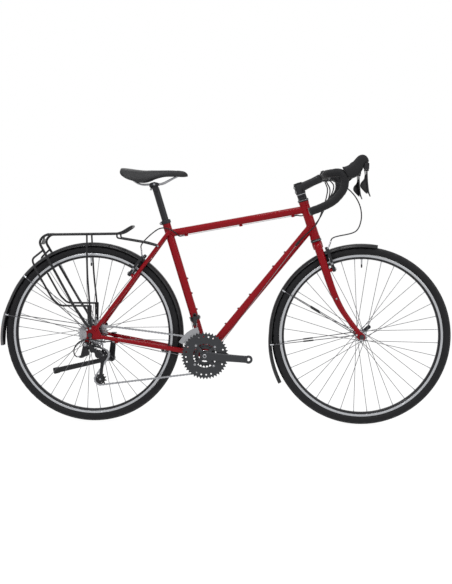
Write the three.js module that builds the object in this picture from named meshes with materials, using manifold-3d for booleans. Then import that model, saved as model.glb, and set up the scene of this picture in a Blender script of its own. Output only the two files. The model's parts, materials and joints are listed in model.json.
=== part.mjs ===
// A touring bicycle with drop handlebars, a steel frame, mudguards, a rear rack and a 3 x 8 derailleur
// gear, in millimetres.
// +X is forward, +Y is the rider's left, +Z is up, and the ground is z = 0. Inside the model x = 0 is at
// the rear axle; the whole bicycle is then moved so that its middle is at the origin.
import * as THREE from 'three';
import { mergeVertices } from 'three/addons/utils/BufferGeometryUtils.js';
import Module from 'manifold-3d';

const wasm = await Module();
wasm.setup();

// Driving dimensions of the frame and its geometry
const wheelbase = 1047;
const rimOuterRadius = 315.5;
const tyreHeight = 30.5;
const wheelRadius = rimOuterRadius + tyreHeight;
const bottomBracketDrop = 78;
const tyreToBracket = 105;
const chainstayLength = wheelRadius + tyreToBracket;
const seatTubeLength = 545;
const seatAngle = 73;
const headAngle = 71.7;
const forkRake = 52;
const tyreToCrown = 55;
const crownHeight = wheelRadius + tyreToCrown;
const headTubeLength = 154;
const cupHeight = 9;
const topTubeSeat = 492.7;
const topTubeBelowHead = 31.2;
const downTubeAboveHead = 52.3;
const stemAboveHead = 53;
const topTubeRadius = 14.3;
const downTubeRadius = 15.9;
const seatTubeRadius = 15.9;
const headTubeRadius = 18.3;
const shellRadius = 20.5;
const shellWidth = 68;
const rearSpacing = 135;
const frontSpacing = 100;
const dropoutPlate = 6;

// Clearances
const gap = 0.3;
const overrun = 2;
const runningGap = 0.4;

// Facets
const tubeSides = 10;
const staySides = 8;
const rodSides = 6;
const wireSides = 5;
const wireFew = 4;
const wheelSides = 36;

// Wheels and tyres
const tyreWidth = 35;
const rimDepth = 18;
const rimInnerRadius = rimOuterRadius - rimDepth;
const rimWidth = 23;
const rimBed = 11;
const brakeTrack = 12.5;
const treadShare = 0.44;
const bulgeShare = 0.42;
const valveLength = 33.5;
const valveTip = rimInnerRadius - valveLength;
const valveRadius = 3;
const spokeCount = 36;
const spokeCrossings = 3;
const spokeRadius = 1;
const spokeSides = 3;
const spokePhase = -5.3;
const flangeThickness = 3.6;
const spokeOffset = 0.7;

// Chain and sprockets
const pitch = 12.7;
const crankRings = [22, 32, 44];
const cogTeeth = [11, 13, 15, 17, 20, 23, 26, 30];
const pulleyTeeth = 11;
const ringLine = 47.5;
const ringSpacing = 7;
const cogSpacing = 4.8;
const plateThickness = 1.8;
const toothTip = 2.6;
const toothRoot = 7;
const linkHalfHeight = 3.6;
const linkPlate = 0.9;
const linkInside = 1.25;
const linkPlay = 0.05;
const rollerShare = 0.15;
const crankLength = 170;
const crankAngle = -3.3;

const V = (x, y, z) => new THREE.Vector3(x, y, z);
const rad = THREE.MathUtils.degToRad;
const heading = (angle) => V(Math.cos(rad(angle)), 0, Math.sin(rad(angle)));
const step = (point, direction, distance) => point.clone().addScaledVector(direction, distance);
const across = (point, y) => V(point.x, y, point.z);
const between = (a, b, share) => a.clone().lerp(b, share);
const boreFor = (radius, sides) => (radius + runningGap) / Math.cos(Math.PI / sides);
const pitchRadius = (teeth) => pitch / (2 * Math.sin(Math.PI / teeth));

// Solids: every shape is a closed geometry, and these turn it into a solid for joins and cuts
function toSolid(geometry) {
  const bare = new THREE.BufferGeometry();
  bare.setAttribute('position', geometry.getAttribute('position'));
  bare.setIndex(geometry.index);
  const welded = mergeVertices(bare, 0.0001);
  const corners = welded.getAttribute('position').array;
  const faces = Uint32Array.from(welded.index.array);
  let volume = 0;
  for (let i = 0; i < faces.length; i += 3) {
    const [a, b, c] = [0, 1, 2].map((k) => V(0, 0, 0).fromArray(corners, 3 * faces[i + k]));
    volume += a.dot(b.cross(c));
  }
  if (volume < 0) {
    for (let i = 0; i < faces.length; i += 3) {
      [faces[i], faces[i + 1]] = [faces[i + 1], faces[i]];
    }
  }
  return new wasm.Manifold(new wasm.Mesh({ numProp: 3, vertProperties: corners, triVerts: faces }));
}

function toGeometry(solid) {
  const mesh = solid.getMesh();
  const geometry = new THREE.BufferGeometry();
  geometry.setAttribute('position', new THREE.BufferAttribute(mesh.vertProperties, 3));
  geometry.setIndex(new THREE.BufferAttribute(mesh.triVerts, 1));
  return geometry;
}

const join = (...shapes) => toGeometry(shapes.flat().map(toSolid).reduce((all, one) => all.add(one)));
const cut = (shape, ...tools) =>
  toGeometry(tools.flat().map(toSolid).reduce((rest, tool) => rest.subtract(tool), toSolid(shape)));
const moved = (shape, x, y, z) => shape.clone().translate(x, y, z);
const movedTo = (shape, point) => moved(shape, point.x, point.y, point.z);

// A skin over rings of points, closed by flat ends, or in a loop
function loft(rings, closed = false) {
  const count = rings[0].length;
  const faces = [];
  const spans = closed ? rings.length : rings.length - 1;
  for (let i = 0; i < spans; i += 1) {
    const here = i * count;
    const next = ((i + 1) % rings.length) * count;
    for (let k = 0; k < count; k += 1) {
      const l = (k + 1) % count;
      faces.push(here + k, here + l, next + l, here + k, next + l, next + k);
    }
  }
  if (!closed) {
    const last = (rings.length - 1) * count;
    endFaces(rings[0]).forEach(([a, b, c]) => faces.push(a, c, b));
    endFaces(rings[rings.length - 1]).forEach(([a, b, c]) => faces.push(last + a, last + b, last + c));
  }
  const geometry = new THREE.BufferGeometry();
  const corners = rings.flat().flatMap((point) => point.toArray());
  geometry.setAttribute('position', new THREE.Float32BufferAttribute(corners, 3));
  geometry.setIndex(faces);
  return geometry;
}

function endFaces(ring) {
  const normal = V(0, 0, 0);
  ring.forEach((point, i) => normal.add(point.clone().cross(ring[(i + 1) % ring.length])));
  normal.normalize();
  const u = ring[1].clone().sub(ring[0]).normalize();
  const w = normal.clone().cross(u);
  const flat = ring.map((point) => new THREE.Vector2(point.dot(u), point.dot(w)));
  return THREE.ShapeUtils.triangulateShape(flat, []).map(([a, b, c]) => {
    const turn = flat[b].clone().sub(flat[a]).cross(flat[c].clone().sub(flat[a]));
    return turn < 0 ? [a, c, b] : [a, b, c];
  });
}

// A flat section carried along a path; without a given side the section follows without twisting
function sweep(path, section, { side = null, scale = () => [1, 1], closed = false, directions = null } = {}) {
  const last = path.length - 1;
  const tangents = directions ?? path.map((_, i) => {
    const before = closed ? path[(i + last) % path.length] : path[Math.max(i - 1, 0)];
    const after = closed ? path[(i + 1) % path.length] : path[Math.min(i + 1, last)];
    return after.clone().sub(before).normalize();
  });
  let lead = side ?? leastAligned(tangents[0]);
  const rings = path.map((point, i) => {
    const tangent = tangents[i];
    if (!side && i > 0) {
      const turn = new THREE.Quaternion().setFromUnitVectors(tangents[i - 1], tangent);
      lead = lead.clone().applyQuaternion(turn);
    }
    const wide = lead.clone().addScaledVector(tangent, -lead.dot(tangent)).normalize();
    const tall = tangent.clone().cross(wide);
    const [a, b] = scale(i / last, i);
    return section.map(([p, q]) => point.clone().addScaledVector(wide, p * a).addScaledVector(tall, q * b));
  });
  return loft(rings, closed);
}

function leastAligned(direction) {
  const up = V(0, 0, 1);
  return Math.abs(direction.dot(up)) > Math.SQRT1_2 ? V(0, 1, 0) : up;
}

function circle(radius, sides, other = radius) {
  return Array.from({ length: sides }, (_, i) => {
    const turn = (2 * Math.PI * (i + 0.5)) / sides;
    return [radius * Math.cos(turn), other * Math.sin(turn)];
  });
}

const rod = (a, b, radius, sides = rodSides, end = radius) =>
  sweep([a, b], circle(1, sides), { scale: (t) => [THREE.MathUtils.lerp(radius, end, t), THREE.MathUtils.lerp(radius, end, t)] });

// A path with its corners rounded: reach is how far before the corner the bend starts. A slight bend stays
// one corner.
const slightBend = rad(28);
function rounded(points, reach, steps = 3) {
  const path = [points[0]];
  for (let i = 1; i < points.length - 1; i += 1) {
    const corner = points[i];
    const before = points[i - 1].clone().sub(corner).normalize();
    const after = points[i + 1].clone().sub(corner).normalize();
    if (Math.PI - before.angleTo(after) < slightBend) {
      path.push(corner);
      continue;
    }
    const from = step(corner, before, reach);
    const to = step(corner, after, reach);
    const bend = new THREE.QuadraticBezierCurve3(from, corner, to);
    path.push(...bend.getPoints(steps));
  }
  path.push(points[points.length - 1]);
  return path;
}

const bentTube = (points, radius, reach, sides = rodSides, steps = 2) =>
  sweep(rounded(points, reach, steps), circle(radius, sides));

function smooth(points, steps) {
  return new THREE.CatmullRomCurve3(points).getSpacedPoints(steps);
}

// A turned piece about the Y axis from radius and y pairs; a profile off the axis closes on itself
function turned(profile, sides) {
  const onAxis = profile[0][0] === 0;
  const points = (onAxis ? profile : [...profile, profile[0]]).map(([r, y]) => new THREE.Vector2(r, y));
  return new THREE.LatheGeometry(points, sides);
}

// A flat plate in the XZ plane from x and z pairs, its thickness centred on y = 0
function plate(outline, thickness, holes = []) {
  const shape = new THREE.Shape(outline.map(([x, z]) => new THREE.Vector2(x, z)));
  shape.holes = holes.map((hole) => new THREE.Path(hole.map(([x, z]) => new THREE.Vector2(x, z))));
  const solid = new THREE.ExtrudeGeometry(shape, { depth: thickness, bevelEnabled: false });
  return solid.rotateX(Math.PI / 2).translate(0, thickness / 2, 0);
}

const shiftedCircle = (radius, sides, x, z) => circle(radius, sides).map(([a, b]) => [a + x, b + z]);

// The tight outline round a few circles, each given as x, z and radius
function outlineRound(circles, sides = staySides) {
  const points = circles.flatMap(([x, z, radius]) => shiftedCircle(radius, sides, x, z));
  points.sort((a, b) => a[0] - b[0] || a[1] - b[1]);
  const turn = (a, b, c) => (b[0] - a[0]) * (c[1] - a[1]) - (b[1] - a[1]) * (c[0] - a[0]);
  const halfRound = (list) => {
    const kept = [];
    list.forEach((point) => {
      while (kept.length > 1 && turn(kept[kept.length - 2], kept[kept.length - 1], point) <= 0) {
        kept.pop();
      }
      kept.push(point);
    });
    return kept.slice(0, -1);
  };
  return [...halfRound(points), ...halfRound(points.reverse())];
}

function arc(radius, from, to, steps, centre = [0, 0]) {
  return Array.from({ length: steps + 1 }, (_, i) => {
    const angle = rad(from + ((to - from) * i) / steps);
    return [centre[0] + radius * Math.cos(angle), centre[1] + radius * Math.sin(angle)];
  });
}

// Colours and finishes
const finish = (color, roughness, metalness) => new THREE.MeshStandardMaterial({ color, roughness, metalness });
const redPaint = finish(0x9c0f1c, 0.25, 0.1);
const blackPaint = finish(0x161618, 0.4, 0.2);
const blackPlastic = finish(0x1a1a1c, 0.5, 0);
const blackRubber = finish(0x141415, 0.85, 0);
const blackTape = finish(0x1c1c1e, 0.7, 0);
const blackAlloy = finish(0x1b1c1e, 0.35, 0.8);
const greyAlloy = finish(0x35373b, 0.35, 0.8);
const steel = finish(0xb9bcc0, 0.3, 1);

const bicycle = new THREE.Group();

function part(name, geometry, material, parent = bicycle) {
  const mesh = new THREE.Mesh(toGeometry(toSolid(geometry)), material);
  mesh.name = name;
  parent.add(mesh);
  return mesh;
}

function station(point, parent = bicycle) {
  const group = new THREE.Group();
  group.position.copy(point);
  parent.add(group);
  return group;
}

// Key points in the middle plane
const rearAxle = V(0, 0, wheelRadius);
const frontAxle = V(wheelbase, 0, wheelRadius);
const bracketX = Math.sqrt(chainstayLength ** 2 - bottomBracketDrop ** 2);
const bracket = V(bracketX, 0, wheelRadius - bottomBracketDrop);
const seatUp = heading(180 - seatAngle);
const headUp = heading(180 - headAngle);
const headFoot = step(frontAxle, heading(90 - headAngle), -forkRake);
const headBottom = step(headFoot, headUp, crownHeight + cupHeight);
const headTop = step(headBottom, headUp, headTubeLength);
const seatTop = step(bracket, seatUp, seatTubeLength);
const topTubeRear = step(bracket, seatUp, topTubeSeat);
const topTubeFront = step(headTop, headUp, -topTubeBelowHead);
const downTubeFront = step(headBottom, headUp, downTubeAboveHead);
const topTubeAlong = topTubeFront.clone().sub(topTubeRear).normalize();
const downTubeAlong = downTubeFront.clone().sub(bracket).normalize();
const quarterTurn = ({ x, z }) => V(-z, 0, x);
const topTubeUp = quarterTurn(topTubeAlong);
const downTubeUp = quarterTurn(downTubeAlong);

// The frame: main tubes, stays, bottom bracket shell, dropouts, bridges, bosses and the pressed-in headset cups
const frameSizes = {
  bracketStayY: 25,
  middleStayY: 41,
  dropoutY: rearSpacing / 2 + dropoutPlate / 2,
  chainstayWide: 8.5,
  chainstayTall: 10.5,
  stayEnd: 7,
  chainstayReach: 40,
  seatStayRadius: 7.5,
  seatStayTopY: 21,
  seatStayTopDrop: 5,
  seatStayFoot: 18,
  bridgeRadius: 6,
  bridgeToTyre: 26,
  seatTubeFloor: 250,
  cupRadius: 21.5,
  hangerReach: 35,
  hangerBack: 15.6,
  bossRadius: 4,
  bossHeight: 3,
  stopRadius: 5,
  stopLength: 12,
  wireHole: 1.6,
};
// Threaded eyelets of the rear dropouts, forward and up from the axle
const rackEyelet = [3, 27];
const guardEyelet = [-11, 21];
const postRadius = 13.6;
const steererRadius = 14.3;
const cartridgeRadius = 16.5;
const axleRadius = 4.7;
const dropoutSlot = boreFor(axleRadius, staySides);
const stopShares = [0.12, 0.52, 0.9];
const downTubeBossShares = [0.78, 0.67, 0.45, 0.34, 0.22];
const seatTubeBossShares = [0.56, 0.45, 0.33];

const hanger = V(rearAxle.x - frameSizes.hangerBack, 0, rearAxle.z - frameSizes.hangerReach + gap);
const seatStayTop = step(topTubeRear, seatUp, frameSizes.seatStayTopDrop);
const stayFoot = V(frameSizes.seatStayFoot, frameSizes.dropoutY + gap * 2, rearAxle.z + frameSizes.seatStayFoot);
const seatStayLine = (side) => [
  V(stayFoot.x, side * stayFoot.y, stayFoot.z),
  V(seatStayTop.x, side * frameSizes.seatStayTopY, seatStayTop.z),
];
const chainstayLine = (side) => {
  const toBracket = bracket.clone().sub(rearAxle).normalize();
  const middle = step(rearAxle, toBracket, chainstayLength - 3 * shellRadius * 2);
  return [
    V(bracket.x - shellRadius / 2, side * frameSizes.bracketStayY, bracket.z),
    across(step(bracket, toBracket, -shellRadius * 2.5), side * (frameSizes.bracketStayY + gap)),
    across(between(middle, rearAxle, 0.25), side * frameSizes.middleStayY),
    across(step(rearAxle, toBracket, frameSizes.chainstayReach), side * (frameSizes.dropoutY - gap)),
  ];
};

// The point of a stay's line at a given distance from an axle
function stayPoint(line, distance, axle = rearAxle) {
  const start = line[0].clone().sub(axle).setY(0);
  const run = line[line.length - 1].clone().sub(line[0]);
  const flat = run.clone().setY(0);
  const a = flat.dot(flat);
  const b = start.dot(flat);
  const c = start.dot(start) - distance * distance;
  return step(line[0], run, (-b + Math.sqrt(b * b - a * c)) / a);
}

function dropout(side) {
  const s = frameSizes;
  const arm = s.chainstayReach + dropoutPlate;
  const outline = [
    [arm, -s.stayEnd * 2.1], [arm, -s.stayEnd / 2], [s.seatStayFoot * 1.6, s.seatStayFoot * 1.9],
    [s.seatStayFoot / 2, s.seatStayFoot * 2], [-s.stayEnd * 2.4, s.seatStayFoot * 1.5], [-s.stayEnd * 1.9, s.stayEnd * 1.5],
    [-s.stayEnd * 1.9, -s.stayEnd], ...(side < 0 ? hangerOutline() : []), [-dropoutSlot * 1.3, -s.stayEnd * 2.4],
    [s.stayEnd * 2, -s.stayEnd * 2.6],
  ];
  const slot = new THREE.BoxGeometry(dropoutSlot * 2, dropoutPlate * 3, s.hangerReach);
  slot.translate(0, 0, -s.hangerReach / 2);
  const solid = cut(plate(outline, dropoutPlate), slot, turnedHole(dropoutSlot, dropoutPlate * 3));
  return movedTo(solid, across(rearAxle, side * s.dropoutY));
}

function hangerOutline() {
  const s = frameSizes;
  const drop = hanger.z - rearAxle.z;
  return arc(s.stayEnd * 1.3, 180, 360, 4, [-s.hangerBack, drop]);
}

function turnedHole(radius, length, sides = staySides) {
  const half = length / 2;
  return turned([[0, -half], [radius, -half], [radius, half], [0, half]], sides);
}

function boss(point, direction, radius, height, sides = wireFew) {
  return rod(step(point, direction, -overrun), step(point, direction, height), radius, sides);
}

// A cable stop beside a tube, on the cable's own line
const stopCentre = ({ point, outward }) => step(point, outward, frameSizes.stopRadius - overrun);

function cableStop(stop) {
  const centre = stopCentre(stop);
  const half = frameSizes.stopLength / 2;
  return rod(step(centre, stop.along, -half), step(centre, stop.along, half), frameSizes.stopRadius);
}

// The two ends of a stop's bore, with the gap that a housing keeps to it
function stopEnds(stop) {
  const reach = frameSizes.stopLength / 2 + gap;
  return [-reach, reach].map((distance) => step(stopCentre(stop), stop.along, distance));
}

const topStop = (share) => ({
  point: step(between(topTubeRear, topTubeFront, share), topTubeUp, -topTubeRadius),
  along: topTubeAlong,
  outward: topTubeUp.clone().negate(),
});
const downStopShare = 0.86;
const downStop = (side) => ({
  point: across(between(bracket, downTubeFront, downStopShare), side * (downTubeRadius - gap)),
  along: downTubeAlong,
  outward: V(0, side, 0),
});

function frameGeometry() {
  const s = frameSizes;
  const sides = [-1, 1];
  const shellEnd = shellWidth / 2;
  const tubes = [
    rod(bracket, seatTop, seatTubeRadius, tubeSides),
    rod(bracket, downTubeFront, downTubeRadius, tubeSides),
    rod(topTubeRear, topTubeFront, topTubeRadius, tubeSides),
    rod(headBottom, headTop, headTubeRadius, tubeSides),
    rod(across(bracket, -shellEnd), across(bracket, shellEnd), shellRadius, tubeSides),
  ];
  const stays = sides.flatMap((side) => {
    const tall = (t) => THREE.MathUtils.lerp(s.chainstayTall, s.stayEnd, t);
    const wide = (t) => THREE.MathUtils.lerp(s.chainstayWide, s.stayEnd, t);
    return [
      sweep(chainstayLine(side), circle(1, staySides), { side: V(0, 1, 0), scale: (t) => [wide(t), tall(t)] }),
      rod(...seatStayLine(side), s.seatStayRadius, staySides),
      dropout(side),
    ];
  });
  const bridges = [seatBridge, stayBridge].map((end) => rod(end(1), end(-1), s.bridgeRadius));
  const cups = [
    rod(step(headBottom, headUp, -cupHeight), step(headBottom, headUp, overrun), s.cupRadius - overrun, tubeSides, s.cupRadius),
    rod(step(headTop, headUp, -overrun), step(headTop, headUp, cupHeight), s.cupRadius, tubeSides, s.cupRadius - overrun),
  ];
  const bosses = [
    ...downTubeBossShares.map((share) =>
      boss(step(between(bracket, downTubeFront, share), downTubeUp, downTubeRadius), downTubeUp, s.bossRadius, s.bossHeight)),
    ...seatTubeBossShares.map((share) =>
      boss(step(between(bracket, seatTop, share), heading(90 - seatAngle), seatTubeRadius), heading(90 - seatAngle),
        s.bossRadius, s.bossHeight)),
  ];
  const stops = [...stopShares.map(topStop), ...sides.map(downStop), chainstayStop];
  const wireHoles = [
    [topStop(stopShares[0]), topStop(stopShares[2])], [downStop(-1), downStop(-1)], [downStop(1), downStop(1)],
    [chainstayStop, chainstayStop],
  ].map(([first, last]) => rod(step(stopEnds(first)[0], first.along, -overrun), step(stopEnds(last)[1], first.along, overrun),
    s.wireHole, 4));
  const posts = sides.flatMap((side) => brakePost(rearBrakePlace(side)));
  const bores = [
    rod(step(bracket, seatUp, s.seatTubeFloor), step(seatTop, seatUp, overrun), postRadius + gap, tubeSides),
    rod(step(headBottom, headUp, -cupHeight * 2), step(headTop, headUp, cupHeight * 2), boreFor(steererRadius, tubeSides), tubeSides),
    rod(across(bracket, -shellWidth), across(bracket, shellWidth), boreFor(cartridgeRadius, tubeSides), tubeSides),
  ];
  return cut(join(tubes, stays, bridges, cups, bosses, stops.map(cableStop), posts), bores, wireHoles);
}

const stayBridge = (side) => {
  const [, near, far] = chainstayLine(side);
  return stayPoint([far, near], wheelRadius + frameSizes.bridgeToTyre);
};
const seatBridge = (side) => stayPoint(seatStayLine(side), wheelRadius + frameSizes.bridgeToTyre);
const chainstayStopShare = 0.3;
const chainstayStop = (() => {
  const [, , far, end] = chainstayLine(-1);
  const s = frameSizes;
  const point = between(end, far, chainstayStopShare);
  const tall = THREE.MathUtils.lerp(s.stayEnd, s.chainstayTall, chainstayStopShare);
  return { point: step(point, V(0, 0, -1), tall - overrun / 2), along: far.clone().sub(end).normalize(), outward: V(0, 0, -1) };
})();

// Rim brakes: each pair of arms swings on posts that stand square to the stay or fork blade
const rimToPivot = 34.5;
const brakeSizes = {
  pivotRadius: rimOuterRadius - rimToPivot,
  pivotY: 41,
  postRadius: 4,
  postLength: 26,
  postBase: 10,
  armThick: 11,
  armLength: 88,
  armWidth: 9,
  armTopWidth: 5.5,
  padUp: 23.5,
  padFace: 2.2,
  padDeep: 11,
  padTall: 8,
  padLong: 52,
  bossRadius: 7,
  noodleRadius: 2.8,
};

// Where a brake arm swings: out is square to the stay or blade, and foot is where the arm's inner face is
function brakePlace(line, surface, side, axle) {
  const b = brakeSizes;
  const up = line[1].clone().sub(line[0]).setY(0).normalize();
  const ahead = axle === frontAxle ? 1 : -1;
  const out = V(up.z, 0, -up.x).multiplyScalar(ahead);
  const reach = surface + b.postBase + gap + b.armThick / 2;
  const lineOut = line.map((point) => step(point, out, reach));
  const centre = across(stayPoint(lineOut, b.pivotRadius, axle), side * b.pivotY);
  const inner = step(stayPoint(lineOut, b.pivotRadius, axle), out, -reach);
  return { centre, inner, up, out, root: across(inner, side * b.pivotY), surface };
}

const rearBrakePlace = (side) => brakePlace(seatStayLine(side), frameSizes.seatStayRadius, side, rearAxle);

function brakePost({ inner, root, out, surface }) {
  const b = brakeSizes;
  const base = step(root, out, surface + b.postBase);
  return [
    rod(inner, step(root, out, surface + overrun), b.bossRadius, rodSides),
    rod(step(root, out, surface / 2), base, b.bossRadius, rodSides, b.postRadius + overrun),
    rod(step(base, out, -overrun), step(base, out, b.postLength - b.postBase), b.postRadius),
  ];
}

// Wheels: tyre, rim with its valve, and a hub with its tangent-laced spokes
function tyreGeometry() {
  const wide = tyreWidth / 2;
  const bulge = rimOuterRadius + tyreHeight * bulgeShare;
  const profile = [
    [rimOuterRadius + gap, -rimBed], [bulge, -wide], [wheelRadius, -wide * treadShare],
    [wheelRadius, wide * treadShare], [bulge, wide], [rimOuterRadius + gap, rimBed],
  ];
  return turned(profile, wheelSides);
}

function rimGeometry(valveAngle) {
  const wide = rimWidth / 2;
  const track = rimOuterRadius - brakeTrack;
  const profile = [
    [rimInnerRadius, -wide / 2], [track, -wide], [rimOuterRadius, -wide], [rimOuterRadius, wide], [track, wide],
    [rimInnerRadius, wide / 2],
  ];
  const up = heading(valveAngle);
  const valve = rod(step(V(0, 0, 0), up, track), step(V(0, 0, 0), up, valveTip), valveRadius, wireSides, valveRadius - gap);
  return join(turned(profile, wheelSides), valve);
}

// The hub shell's profile runs from the right-hand end to the left; each flange carries half the spokes
function hubGeometry({ shellRadius: shell, flanges, ends, boreRadius }) {
  const half = flangeThickness / 2;
  const [right, left] = flanges;
  const profile = [
    [boreRadius, ends[0]], [shell, ends[0]], [right.radius, right.y - half], [right.radius, right.y + half],
    [shell, right.y + half * 2.5], [shell, left.y - half * 2.5], [left.radius, left.y - half],
    [left.radius, left.y + half], [shell, ends[1]], [boreRadius, ends[1]],
  ];
  const spacing = 360 / spokeCount;
  const lead = (spokeCrossings * 720) / spokeCount;
  const spokes = Array.from({ length: spokeCount }, (_, i) => {
    const flange = flanges[i % 2];
    const turn = Math.floor(i / 2) % 2 === 0 ? 1 : -1;
    const face = flange.y + turn * spokeOffset;
    const rimAngle = 90 - (spokePhase + spacing * i);
    const hole = step(V(0, face, 0), heading(rimAngle + turn * lead), flange.radius - flangeThickness * 0.6);
    const seat = step(V(0, 0, 0), heading(rimAngle), spokeReach);
    return sweep([hole, seat], circle(spokeRadius, spokeSides), { side: V(0, -turn, 0) });
  });
  return join(turned(profile, tubeSides), spokes);
}

const spokeReach = rimInnerRadius * Math.cos(Math.PI / wheelSides) - gap;
const hubBore = boreFor(axleRadius, tubeSides);
const frontHub = {
  shellRadius: 12,
  flanges: [{ y: -34, radius: 20 }, { y: 34, radius: 20 }],
  ends: [-40, 40],
  boreRadius: hubBore,
};
const rearHub = {
  shellRadius: 14,
  flanges: [{ y: -19.5, radius: 23 }, { y: 34, radius: 23 }],
  ends: [-23.5, 55],
  boreRadius: hubBore,
};

function wheel(prefix, axle, hub, valveAngle) {
  const group = station(axle);
  part(`${prefix}_tyre`, tyreGeometry(), blackRubber, group);
  part(`${prefix}_rim`, rimGeometry(valveAngle), blackAlloy, group);
  part(`${prefix}_hub_and_spokes`, hubGeometry(hub), steel, group);
  return group;
}

// Axles with their cones, locknuts and quick-release levers; the lever is on the left
const axleSizes = {
  nutRadius: 8,
  capRadius: 9.5,
  capLength: 9,
  coneRadius: 8.5,
  leverLength: 52,
  leverWide: 9,
  leverThick: 5,
  leverTurn: 38,
};

function axleGeometry(spacing, plateOut, inner) {
  const s = axleSizes;
  const inside = spacing / 2 - gap;
  const outside = spacing / 2 + plateOut + gap;
  const end = outside + s.capLength;
  const profile = [
    [0, -end], [s.capRadius - overrun, -end], [s.capRadius, -outside], [axleRadius, -outside], [axleRadius, -inside],
    [s.nutRadius, -inside], [s.coneRadius, inner[0] - gap], [axleRadius, inner[0] - gap], [axleRadius, inner[1] + gap],
    [s.coneRadius, inner[1] + gap], [s.nutRadius, inside], [axleRadius, inside], [axleRadius, outside],
    [s.capRadius, outside], [s.capRadius, end], [0, end],
  ];
  const along = heading(s.leverTurn);
  const root = V(0, end - s.leverThick / 2, 0);
  const path = [
    root, step(root, along, s.leverLength * 0.35).add(V(0, s.leverThick, 0)),
    step(root, along, s.leverLength).add(V(0, s.leverThick / 2, 0)),
  ];
  const lever = sweep(path, circle(s.leverThick, wireSides, s.leverWide), {
    side: V(0, 1, 0), scale: (t) => [0.55, 0.7 + 0.3 * t],
  });
  return join(turned(profile, staySides), lever);
}

// Cassette on its freehub: the cogs sit from the small one outside to the large one inside
const cassetteSizes = { endGap: 2.6, lockring: 1.5, coreRadius: 17.5, coreInner: 1.5 };
const cassetteOuter = -(rearSpacing / 2 - cassetteSizes.endGap);
const firstCogLine = cassetteOuter + cassetteSizes.lockring + plateThickness / 2;
const cogLine = (index) => firstCogLine + index * cogSpacing;
const chainCog = cogTeeth.indexOf(20);
const chainRing = crankRings.indexOf(32);
const chainLineFront = -ringLine;
const chainLineRear = cogLine(chainCog);

// A sprocket's outline: one root and one tip for each tooth, with a root on the given angle
function sprocketOutline(teeth, phase) {
  const radius = pitchRadius(teeth);
  return Array.from({ length: teeth * 2 }, (_, i) => {
    const angle = phase + (Math.PI * i) / teeth;
    const reach = i % 2 === 0 ? radius - toothRoot : radius + toothTip;
    return [reach * Math.cos(angle), reach * Math.sin(angle)];
  });
}

function cassetteGeometry(phase) {
  const s = cassetteSizes;
  const inner = cogLine(cogTeeth.length - 1) + plateThickness / 2 + s.coreInner;
  const bore = boreFor(axleRadius, staySides);
  const core = turned([[bore, cassetteOuter], [s.coreRadius, cassetteOuter], [s.coreRadius, inner], [bore, inner]], staySides);
  const cogs = cogTeeth.map((teeth, i) => moved(plate(sprocketOutline(teeth, phase), plateThickness), 0, cogLine(i), 0));
  const hollow = turnedHole(s.coreRadius - overrun / 2, rearSpacing, staySides);
  return join(core, cogs.map((cog) => cut(cog, hollow)));
}

// The chain's path: a belt over four wheels, each turned clockwise (1) or the other way (-1) by it
const cageSizes = {
  guideForward: 10,
  guideDrop: 6,
  tensionForward: 2,
  tensionDrop: 102,
  insideHalf: 4,
  plateThick: 1.6,
  plateRadius: 13,
  plateWaist: 9,
  boltRadius: 2.4,
  pulleyHub: 9,
  pulleyHubHalf: 3.6,
};
const mechSizes = {
  armY: -87,
  linkLength: 36,
  linkStart: 16,
  separation: 13,
  linkWidth: 13,
  linkEye: 3.6,
  pinRadius: 1.8,
  earThick: 2.4,
  knuckleRadius: 10.5,
  pivotForward: 9.3,
  pivotDrop: 9.3,
  barrelRadius: 9,
  adjusterRadius: 4.5,
  adjusterLength: 12,
  adjusterBack: 12,
  adjusterDrop: 48,
};
const mechLink = V(0.824, 0, -0.566).normalize();
const mechTravel = V(-0.25, 0.9, -0.364).normalize();
const mechRoot = across(step(hanger, mechLink, mechSizes.linkStart), mechSizes.armY);
const mechTip = step(mechRoot, mechLink, mechSizes.linkLength);
const cagePivot = V(mechTip.x + mechSizes.pivotForward, chainLineRear, mechTip.z - mechSizes.pivotDrop);

function pulleyPlaces(cageTurn) {
  const s = cageSizes;
  const axis = V(0, 1, 0);
  const place = (x, z) => cagePivot.clone().add(V(x, 0, z).applyAxisAngle(axis, cageTurn));
  return { guide: place(s.guideForward, -s.guideDrop), tension: place(s.tensionForward, -s.tensionDrop) };
}

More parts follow.
